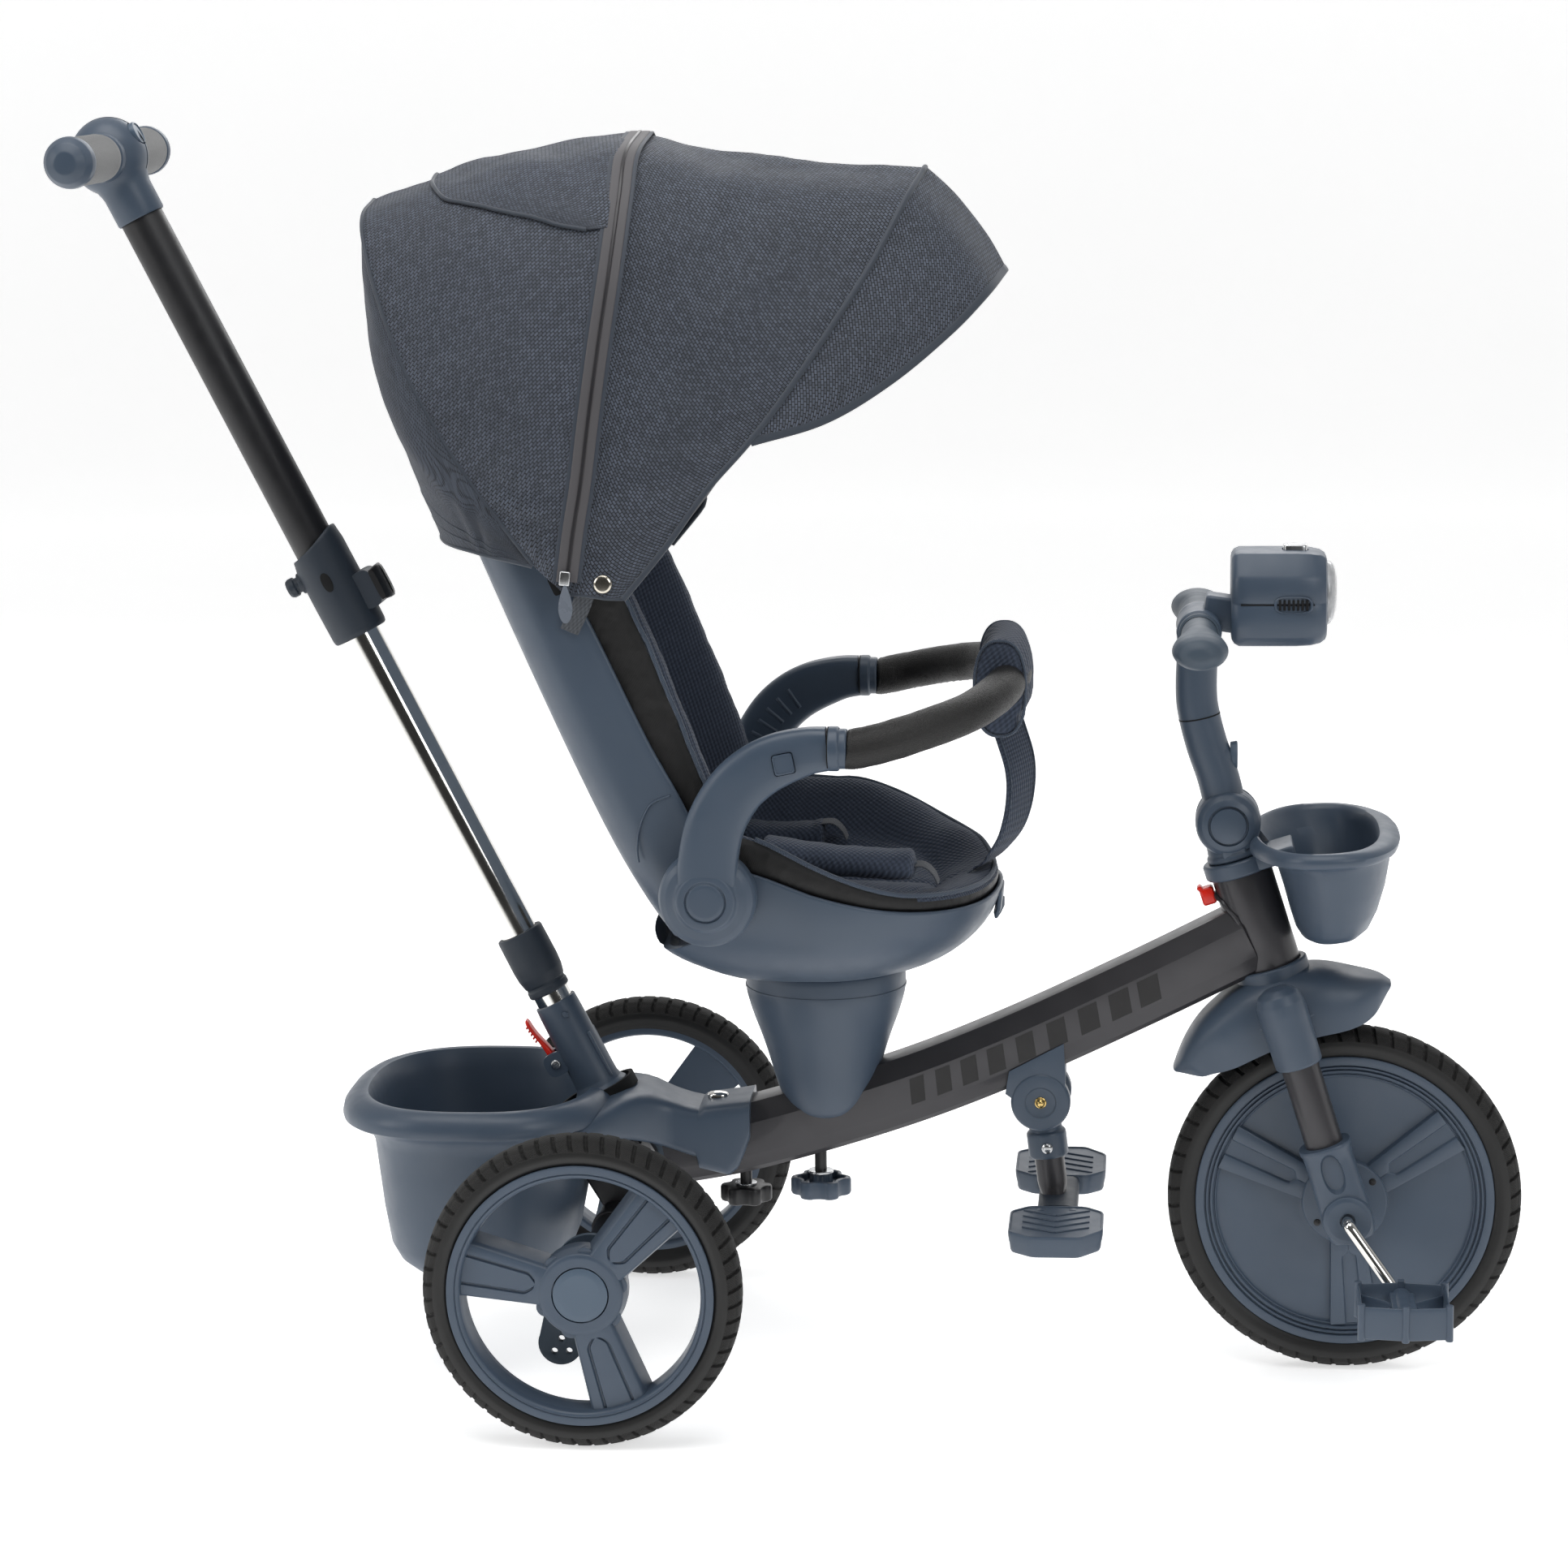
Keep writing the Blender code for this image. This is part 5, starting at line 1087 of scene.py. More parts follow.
def make_strut():
    """The steel box from the beam down to the rear axle, and the axle housing."""
    strut = box("strut_shell", (0.052, 0.050, 0.082), (-0.1475, 0, 0.1475), -0.55)
    beam_end = box("beam_end", (0.2, 0.08, 0.10), (-0.0176, 0, 0.199), -0.22)
    shaft = turned(
        "shaft", [(0.0, 0.03), (0.0128, 0.03), (0.0128, -0.052), (0.0, -0.052)],
        along(HANDLE_ROOT, HANDLE_TILT), 48
    )
    carve(strut, beam_end)
    bevel(strut, 0.003, 3)
    carve(strut, shaft)
    housing = rod("housing", REAR_AXLE + Vector((0, -0.168, 0)), REAR_AXLE + Vector((0, 0.168, 0)), 0.0130)
    rings = [
        rod(
            "housing_ring", REAR_AXLE + Vector((0, y - 0.004, 0)), REAR_AXLE + Vector((0, y + 0.004, 0)),
            0.0150
        )
        for y in (-0.160, -0.060, 0.060, 0.160)
    ]
    gather(strut, housing, *rings)
    piece(strut, "black_plastic", "frame", "black_plastic", "rear_strut")


# ---------------------------------------------------------------- rear basket and knobs


def oval(centre_x, half_x, half_y, z, power=2.6, count=96):
    """A level outline of the rear basket."""
    ring = []
    for a, b in rounded(half_x, half_y, power, count):
        ring.append(Vector((centre_x + a, b, z)))
    return ring


def make_rear_basket():
    """The deep tub with its broad rolled rim, then the hump and the saddle over the beam."""
    outside = [
        (0.0815, -0.232, -0.300, 0.052), (0.0822, -0.220, -0.312, 0.066), (0.0850, -0.212, -0.3225, 0.078),
        (0.0900, -0.205, -0.3330, 0.089), (0.0980, -0.199, -0.3430, 0.096), (0.1100, -0.194, -0.3495, 0.1005),
        (0.1400, -0.188, -0.3545, 0.1040), (0.1800, -0.182, -0.3590, 0.1070),
        (0.1985, -0.180, -0.3610, 0.1085), (0.2080, -0.177, -0.3650, 0.1120),
        (0.2140, -0.167, -0.3760, 0.1185), (0.2162, -0.161, -0.3830, 0.1225),
        (0.2180, -0.158, -0.3862, 0.1245), (0.2215, -0.157, -0.3870, 0.1250),
        (0.2280, -0.159, -0.3855, 0.1240), (0.2330, -0.163, -0.3815, 0.1210),
        (0.2368, -0.168, -0.3755, 0.1168), (0.2382, -0.173, -0.3700, 0.1125)
    ]
    inside = [
        (0.2376, -0.178, -0.3660, 0.1085), (0.2330, -0.182, -0.3630, 0.1060),
        (0.2200, -0.186, -0.3590, 0.1030), (0.1600, -0.190, -0.3530, 0.0990),
        (0.1100, -0.196, -0.3440, 0.0945), (0.0960, -0.203, -0.3360, 0.0880),
        (0.0905, -0.212, -0.3240, 0.0780), (0.0885, -0.226, -0.3060, 0.0600)
    ]
    tub = loft(
        "rear_basket_moulding",
        [oval((f + b) / 2, (f - b) / 2, half, z) for z, f, b, half in outside + inside]
    )
    hump = make_hump()
    handle_slot = loft("slot", [[handle_point(at, -0.004 + a, b) for a, b in rounded(0.0330, 0.0275, 2.2, 48)]
                                for at in (-0.060, 0.060)])
    carve(tub, handle_slot)
    gather(tub, hump)
    make_deck_slit()
    piece(tub, "slate", "frame", "slate", "rear_basket", smooth=42)
    screw = loft(
        "tongue_screw",
        [
            oval(-0.0745, 0.0090 * k, 0.0072 * k, z, 2.2, 40) for k,
            z in ((1.0, 0.2125), (1.0, 0.2262), (0.92, 0.2276), (0.7, 0.2286), (0.3, 0.2292))
        ]
    )
    piece(screw, "chrome", "frame", "slate")


HUMP_TOP = (
    (-0.204, 0.2050), (-0.200, 0.2110), (-0.192, 0.2165), (-0.187, 0.2215), (-0.170, 0.2290),
    (-0.149, 0.2350), (-0.138, 0.2355), (-0.128, 0.2338), (-0.112, 0.2275), (-0.0985, 0.2228),
    (-0.0875, 0.2205)
)


def make_hump():
    """The body between tub and beam: wide and low at the tub, drawn in to a saddle on the beam."""
    rows = []
    for i in range(65):
        x = mix(-0.197, -0.0455, i / 64)
        t = (x + 0.206) / 0.1605
        half = mix(0.104, 0.0335, ease(min(t / 0.62, 1.0)))
        top = height_on(HUMP_TOP, x) if x < -0.0875 else mix(
            0.2205, 0.2232, ease((x + 0.0875) / 0.0030)
        ) + (x + 0.0875) * 0.125
        low = mix(0.200, 0.176, ease((x + 0.170) / 0.10))
        if x > -0.0900:
            low = height_on(
                (
                    (-0.0900, 0.1690), (-0.0635, 0.1628), (-0.0560, 0.1690), (-0.0500, 0.1830),
                    (-0.0455, 0.1960)
                ),
                x
            )
        power = mix(3.0, 6.5, ease(t))
        middle, high = (top + low) / 2, (top - low) / 2
        rows.append([Vector((x, a * (1 - 0.10 * ease(b / high + 0.1) * (1 - t)), middle + b))
                     for a, b in rounded(half, high, power, 64)])
    return loft("hump", rows)


def make_deck_slit():
    """A near-black ring laid in the oval slit round the foot of the push handle: painted shade."""
    ring = [[handle_point(at, -0.004 + a, b) for a, b in rounded(0.0342 - cut, 0.0287 - cut, 2.2, 64)]
            for at, cut in ((-0.004, 0.0), (0.0060, 0.0), (0.0060, 0.0034), (-0.004, 0.0034))]
    slit = loft("handle_slit", ring, closed=True)
    piece(slit, "gap", "frame", "slate")


def height_on(table, x):
    """The height at x on straight lines between the table's points."""
    for (x0, z0), (x1, z1) in zip(table, table[1:]):
        if x <= x1:
            return mix(z0, z1, (x - x0) / (x1 - x0))
    return table[-1][1]


def make_star_knob(name, centre, radius, height, rod_top, material, body, slot, hollow):
    """A six-lobed knob with its washer and threaded rod."""
    outline = []
    for i in range(144):
        angle = 2 * math.pi * i / 144
        wave = math.cos(6 * angle)
        reach = radius * (0.900 + 0.100 * math.copysign(abs(wave) ** 0.6, wave))
        outline.append((reach * math.cos(angle), reach * math.sin(angle)))
    levels = [
        (0.90, 0.0), (0.96, 0.0006), (1.0, 0.0024), (1.0, height - 0.0022), (0.965, height - 0.0005),
        (0.91, height)
    ]
    if hollow:
        levels += [(0.84, height), (0.80, height - 0.0008), (0.78, height - 0.0060), (0.40, height - 0.0066),
                   (0.36, height + 0.0030), (0.30, height + 0.0040)]
    rings = [
        [Vector((centre[0] + x * k, centre[1] + y * k, centre[2] + z)) for x, y in outline] for k, z in levels
    ]
    knob = loft(name + "_star", rings)
    piece(knob, material, body, slot, name)
    washer = turned(
        name + "_washer",
        eased([(0.0, 0.0), (radius * 0.42, 0.0), (radius * 0.42, 0.0022), (0.0, 0.0022)], 0.0005),
        Matrix.Translation((centre[0], centre[1], centre[2] + height + (0.0036 if hollow else -0.0002))), 48
    )
    piece(washer, "silver", body, slot)
    stem = rod(
        name + "_rod", (centre[0], centre[1], centre[2] + height / 2), (centre[0], centre[1], rod_top),
        0.0050, steps=32
    )
    piece(stem, "black_plastic", body, slot)


# ---------------------------------------------------------------- fork, fender, front basket


def make_fork():
    """The steerer, the bridge over the wheel and the two legs."""
    steerer = rod("steerer", steering_point(0.182), steering_point(0.3022), 0.0148)
    tops = tube_along(
        "fork_bridge",
        [
            steering_point(0.150, 0, -LEG_Y), steering_point(0.172, 0, -LEG_Y * 0.95),
            steering_point(0.181, 0, -LEG_Y * 0.6), steering_point(0.181, 0, LEG_Y * 0.6),
            steering_point(0.172, 0, LEG_Y * 0.95), steering_point(0.150, 0, LEG_Y)
        ],
        0.0120, 24
    )
    legs = [
        rod(
            "leg", steering_point(-0.010, 0, side * LEG_Y), steering_point(0.176, 0, side * LEG_Y), 0.0155,
            steps=56
        )
        for side in (-1, 1)
    ]
    gather(steerer, tops, *legs)
    steerer.name = "fork_tubes"
    piece(steerer, "frame_paint", "steering", "frame_paint", "fork")


def make_leg_cap(side, label):
    """A moulded shoe from a round sleeve on the leg to the axle disc, hollowed on its outer face."""
    rings = []
    stations = (
        (-0.0205, 0.0130, 0.0070, 0.062), (-0.0195, 0.0165, 0.0100, 0.062), (-0.0160, 0.0190, 0.0125, 0.0615),
        (-0.0080, 0.0203, 0.0142, 0.0608), (0.0, 0.0207, 0.0148, 0.0602), (0.0100, 0.0205, 0.0155, 0.0595),
        (0.0200, 0.0203, 0.0165, 0.0580), (0.0350, 0.0202, 0.0180, 0.0562), (0.0480, 0.0200, 0.0190, 0.0550),
        (0.0560, 0.0205, 0.0200, 0.0547), (0.0585, 0.0216, 0.0212, 0.0546), (0.0605, 0.0218, 0.0214, 0.0546),
        (0.0618, 0.0212, 0.0208, 0.0546), (0.0620, 0.0180, 0.0180, 0.0546)
    )
    for reach, half_x, half_y, middle in stations:
        rings.append(
            [steering_point(reach, a, side * middle + b) for a, b in rounded(half_x, half_y, 2.5, 56)]
        )
    cap = loft("leg_cap_moulding_" + label, rings)
    hollow = []
    for out, scale in ((0.0702, 0.80), (0.0738, 0.94), (0.0900, 1.26)):
        hollow.append(
            [
                steering_point(0.0400 + b * scale, a * scale, side * out) for a,
                b in rounded(0.0098, 0.0178, 2.2, 48)
            ]
        )
    carve(cap, loft("hollow", hollow))
    place = across(FRONT_AXLE, side)
    disc = turned(
        "cap_disc",
        eased(
            [
                (0.0062, 0.0700), (0.0062, 0.0772), (0.0160, 0.0778), (0.0197, 0.0768), (0.0203, 0.0740),
                (0.0203, 0.0620), (0.0062, 0.0620)
            ],
            0.0006, 3, True
        ),
        place, 72, ring=True
    )
    gather(cap, disc)
    piece(cap, "slate", "steering", "slate", "leg_cap_" + label)
    # A near-black disc across the axle bore: painted shade in the hole.
    gap = turned(
        "cap_bore_" + label, [(0.0, 0.0712), (0.0061, 0.0712), (0.0061, 0.0700), (0.0, 0.0700)], place, 32
    )
    piece(gap, "gap", "steering", "slate")


FENDER = ((142.4, 0.1784, 0.1755, 0.0120), (138.0, 0.1835, 0.1600, 0.0270), (135.0, 0.1870, 0.1555, 0.0310),
          (130.0, 0.1920, 0.1500, 0.0370), (125.0, 0.1955, 0.1475, 0.0410), (114.0, 0.2005, 0.1465, 0.0445),
          (98.0, 0.1985, 0.1475, 0.0440), (88.0, 0.1925, 0.1515, 0.0375), (82.0, 0.1900, 0.1620, 0.0260),
          (78.8, 0.1862, 0.1830, 0.0110))


def make_fender():
    """One thick saddle over the tyre, with a collar that flares out of it and a sleeve on each leg."""
    rows = []
    for i in range(97):
        degrees = mix(142.4, 78.8, ease(i / 96) * 0.5 + i / 192)
        crown, edge, half = (smooth_on([(-row[0], row[k]) for row in FENDER], -degrees) for k in (1, 2, 3))
        angle = math.radians(degrees)
        tread = FRONT_WHEEL_RADIUS + 0.0300
        outer, inner = [], []
        for k in range(41):
            turn = math.pi * k / 40
            outer.append((-half * math.copysign(abs(math.cos(turn)) ** 0.62, math.cos(turn)),
                          edge + (crown - edge) * math.sin(turn) ** 0.55))
            under = min(crown - 0.0032, tread)
            inner.append((-(half - 0.0032) * math.copysign(abs(math.cos(turn)) ** 0.5, math.cos(turn)),
                          edge + max(under - edge, 0.0004) * math.sin(turn) ** 0.5))
        rows.append(
            [
                FRONT_AXLE + Vector((r * math.cos(angle), y, r * math.sin(angle))) for y,
                r in outer + inner[::-1]
            ]
        )
    shell = loft("fender_shell", rows)
    collar = turned(
        "fender_collar",
        eased(
            [
                (0.0163, 0.1890), (0.0163, 0.1945), (0.0254, 0.1945), (0.0254, 0.2064), (0.0290, 0.2064),
                (0.0302, 0.2052), (0.0304, 0.1930), (0.0325, 0.1850), (0.0380, 0.1770), (0.0450, 0.1700),
                (0.0500, 0.1650), (0.0440, 0.1610), (0.0163, 0.1740)
            ],
            0.0008, 3, True
        ),
        along(FRONT_AXLE, STEERING_TILT), 96, ring=True
    )
    sleeves = []
    for side in (-1, 1):
        profile = eased(
            [
                (0.0157, 0.1310), (0.0184, 0.1310), (0.0194, 0.1325), (0.0196, 0.1500), (0.0202, 0.1760),
                (0.0196, 0.1850), (0.0168, 0.1925), (0.0100, 0.1972), (0.0002, 0.1985), (0.0002, 0.1800),
                (0.0157, 0.1800)
            ],
            0.0012, 3, True
        )
        start = steering_point(0.0, 0, side * LEG_Y)
        sleeves.append(turned("fender_sleeve", profile, along(start, STEERING_TILT), 64, ring=True))
    gather(shell, collar, *sleeves)
    shell.name = "fender_moulding"
    piece(shell, "slate", "steering", "slate", "fender", smooth=46)


def front_basket_ring(rear, front, half_width, height, slope, count=96):
    """An outline of the front basket that rises towards the front by the slope."""
    points = []
    for a, b in rounded(1.0, 1.0, 2.5, count):
        px = mix(rear, front, (a + 1) / 2)
        wide = half_width * (1.0 if a > 0 else 1 - 0.10 * a * a)
        points.append(Vector((px, b * wide, 0.4400 + height + (px - 0.37) * slope)))
    return points


def make_front_basket():
    """The tub with its sloping lip, held by a clamp ring on the head tube."""
    outside = [
        (0.4150, 0.4400, 0.0420, -0.0730), (0.4110, 0.4480, 0.0520, -0.0728),
        (0.4070, 0.4560, 0.0600, -0.0705), (0.4030, 0.4635, 0.0670, -0.0640),
        (0.3985, 0.4700, 0.0745, -0.0500), (0.3930, 0.4755, 0.0840, -0.0300),
        (0.3870, 0.4785, 0.0925, -0.0110), (0.3820, 0.4790, 0.0965, -0.0040),
        (0.3750, 0.4800, 0.1005, -0.0010), (0.3675, 0.4825, 0.1090, 0.0), (0.3645, 0.4850, 0.1130, 0.0015),
        (0.3640, 0.4860, 0.1148, 0.0040), (0.3640, 0.4868, 0.1150, 0.0075), (0.3650, 0.4845, 0.1138, 0.0100),
        (0.3670, 0.4790, 0.1110, 0.0122), (0.3700, 0.4735, 0.1080, 0.0134)
    ]
    inside = [
        (0.3722, 0.4705, 0.1045, 0.0122), (0.3745, 0.4690, 0.1015, 0.0085), (0.3810, 0.4690, 0.0985, 0.0010),
        (0.3910, 0.4690, 0.0910, -0.0130), (0.3965, 0.4670, 0.0830, -0.0290),
        (0.4020, 0.4630, 0.0735, -0.0500), (0.4070, 0.4570, 0.0650, -0.0630),
        (0.4110, 0.4480, 0.0550, -0.0690), (0.4160, 0.4380, 0.0430, -0.0700)
    ]
    rings = [front_basket_ring(*row, 0.045) for row in outside + inside]
    tub = loft("front_basket_moulding", rings)
    low = HEAD_HIGH + 0.0003
    ring = turned(
        "basket_ring",
        eased(
            [
                (0.0151, low), (0.0278, low), (0.0292, low + 0.0015), (0.0292, low + 0.0115),
                (0.0278, low + 0.013), (0.0151, low + 0.013)
            ],
            0.0006, 3, True
        ),
        along(FRONT_AXLE, STEERING_TILT), 80, ring=True
    )
    bridge = box(
        "basket_bridge", (0.034, 0.050, 0.0122), steering_point(low + 0.0065, 0.030), -STEERING_TILT, 0.002
    )
    room = [rod("column", steering_point(0.15), steering_point(low), HEAD_RADIUS + 0.001),
            rod("stem_room", steering_point(low + 0.0132), steering_point(0.42), 0.033)]
    carve(tub, *room)
    bore = [rod("bore", steering_point(0.1), steering_point(0.4), 0.0152)]
    carve(bridge, *bore)
    gather(tub, ring, bridge)
    piece(tub, "slate", "steering", "slate", "front_basket", smooth=42)


# ---------------------------------------------------------------- stem, handlebar and light

STEM_LINE = (
    (0.348, 0, 0.4613), (0.3405, 0, 0.4950), (0.3300, 0, 0.5260), (0.3235, 0, 0.5520), (0.3217, 0, 0.5695),
    (0.3222, 0, 0.5950), (0.3240, 0, 0.6205)
)


def make_stem():
    """The stem with its hinge at the foot, the handlebar across its top and the grips."""
    low = HEAD_HIGH + 0.0139
    base = turned(
        "stem_base_moulding",
        eased(
            [
                (0.0151, low), (0.0236, low), (0.0242, low + 0.002), (0.0236, low + 0.0045),
                (0.0222, low + 0.0060), (0.0212, low + 0.0140), (0.0151, low + 0.0140)
            ],
            0.0006, 3, True
        ),
        along(FRONT_AXLE, STEERING_TILT), 80, ring=True
    )
    cheeks = []
    for side in (-1, 1):
        profile = eased(
            [
                (0.0, 0.0142), (0.0262, 0.0142), (0.0264, 0.0160), (0.0250, 0.0195), (0.0215, 0.0232),
                (0.0166, 0.0258), (0.0162, 0.0236), (0.0148, 0.0236), (0.0144, 0.0266), (0.0, 0.0272)
            ],
            0.0004, 2
        )
        cheeks.append(turned("cheek", profile, across(STEM_PIVOT, side), 80))
        cheeks.append(
            box(
                "cheek_foot", (0.0200, 0.0082, 0.0240), steering_point(0.3120, 0.0, side * 0.0180),
                -STEERING_TILT, 0.002
            )
        )
    gather(base, *cheeks)
    piece(base, "slate", "steering", "slate", "stem_base")

    def stem_radius(t):
        return mix(0.0172, 0.0165, t) + 0.0018 * ease((t - 0.86) / 0.14)

    stem = swept(
        "stem_tube", smooth_path(STEM_LINE, 64), lambda t: rounded(stem_radius(t), stem_radius(t), 2, 56)
    )
    knuckle = turned(
        "knuckle",
        eased(
            [
                (0.0, 0.0134), (0.0225, 0.0134), (0.0262, 0.0105), (0.0268, 0.0), (0.0262, -0.0105),
                (0.0225, -0.0134), (0.0, -0.0134)
            ],
            0.0012, 3
        ),
        across(STEM_PIVOT, 1), 80
    )
    lobe_path = [
        Vector(p)
        for p in (
            (0.3365, 0, 0.4970), (0.3470, 0, 0.5060), (0.3500, 0, 0.5150), (0.3455, 0, 0.5245),
            (0.3320, 0, 0.5330)
        )
    ]
    lobe = loft(
        "lobe",
        [
            [
                Vector((p.x - 0.010 + (a if a > 0 else a * 0.2), b, p.z)) for a,
                b in rounded(0.0118 * k, 0.0135 * k, 2.3, 48)
            ] for p,
            k in zip(
                smooth_path(lobe_path, 15),
                [0.35, 0.62, 0.80, 0.91, 0.97, 1.0, 1.0, 1.0, 1.0, 1.0, 0.97, 0.91, 0.80, 0.62, 0.35]
            )
        ]
    )
    bar = rod("bar_core", BAR_CENTRE + Vector((0, -0.0975, 0)), BAR_CENTRE + Vector((0, 0.0975, 0)), 0.0108)
    collar = turned(
        "bar_collar",
        eased(
            [
                (0.0, 0.0295), (0.0158, 0.0295), (0.0180, 0.0278), (0.0184, 0.0200), (0.0176, 0.0150),
                (0.0176, -0.0150), (0.0184, -0.0200), (0.0180, -0.0278), (0.0158, -0.0295), (0.0, -0.0295)
            ],
            0.0010, 3
        ),
        across(BAR_CENTRE, 1), 64
    )
    tongue = box("light_tongue", (0.034, 0.030, 0.028), (0.3440, 0, 0.6330), 0.15, 0.003)
    gather(stem, knuckle, lobe, bar, collar, tongue)
    piece(stem, "slate", "handlebar", "slate", "stem")
    # A near-black ring in the stem's seam: painted shade.
    seam_at = curve_at(STEM_LINE, 0.47)
    lean = (curve_at(STEM_LINE, 0.49) - seam_at).normalized()
    turn = Vector((0, 0, 1)).rotation_difference(lean).to_matrix().to_4x4()
    seam = turned("stem_seam", [(0.0160, 0.0006), (0.0171, 0.0006), (0.0171, -0.0006), (0.0160, -0.0006)],
                  Matrix.Translation(seam_at) @ turn, 56, ring=True)
    piece(seam, "gap", "handlebar", "slate")
    button_at = Vector((0.3532, 0, 0.5153))
    rings = []
    for out, scale in ((-0.0040, 1.0), (0.0012, 1.0), (0.0020, 0.94), (0.0024, 0.80), (0.0025, 0.4)):
        rings.append([button_at + Vector((out * 0.95, a * scale, b * scale + out * 0.2)) for a, b in
                      rounded(0.0072, 0.0122, 2.2, 40)])
    piece(loft("stem_button_cap", rings), "slate_light", "stem_button", "slate", "stem_button")
    for side, label in SIDES:
        profile = eased(
            [
                (0.0, 0.1212), (0.0090, 0.1200), (0.0170, 0.1150), (0.0210, 0.1060), (0.0222, 0.0940),
                (0.0212, 0.0820), (0.0185, 0.0720), (0.0158, 0.0640), (0.0148, 0.0540), (0.0146, 0.0300),
                (0.0146, 0.0080), (0.0166, 0.0060), (0.0166, 0.0010), (0.0150, 0.0), (0.0, 0.0)
            ],
            0.0030, 6
        )
        place = across(BAR_CENTRE + Vector((0, side * 0.0305, 0)), side)
        grip = turned("bar_grip_" + label, profile, place, 80)
        for vertex in grip.data.vertices:
            bulge = ease((abs(vertex.co.y) - 0.088) / 0.030)
            vertex.co.z = mix(vertex.co.z, BAR_CENTRE.z + (vertex.co.z - BAR_CENTRE.z) * 0.66, bulge)
        piece(grip, "slate_matt", "handlebar", "slate", "grip_" + label, smooth=60)
        # A near-black ring in the seam of each grip: painted shade.
        ring = turned(
            "grip_seam_" + label, [(0.0140, 0.0098), (0.0149, 0.0098), (0.0149, 0.0090), (0.0140, 0.0090)],
            place, 64, ring=True
        )
        piece(ring, "gap", "handlebar", "slate")


LIGHT_CENTRE = Vector((0.3905, 0, 0.6490))
LENS_TURN = Matrix.Rotation(math.radians(90) + 0.02, 4, "Y")


def light_section():
    """Half of the light case's cut across Y: upright lower side, sloped shoulder, narrow flat top."""
    return [
        (0.0, 0.0360), (0.0180, 0.0360), (0.0235, 0.0350), (0.0372, 0.0195), (0.0390, 0.0150),
        (0.0392, -0.0025), (0.0386, -0.0038), (0.0386, -0.0050), (0.0392, -0.0063), (0.0390, -0.0215),
        (0.0365, -0.0315), (0.0290, -0.0385), (0.0240, -0.0400), (0.0, -0.0400)
    ]


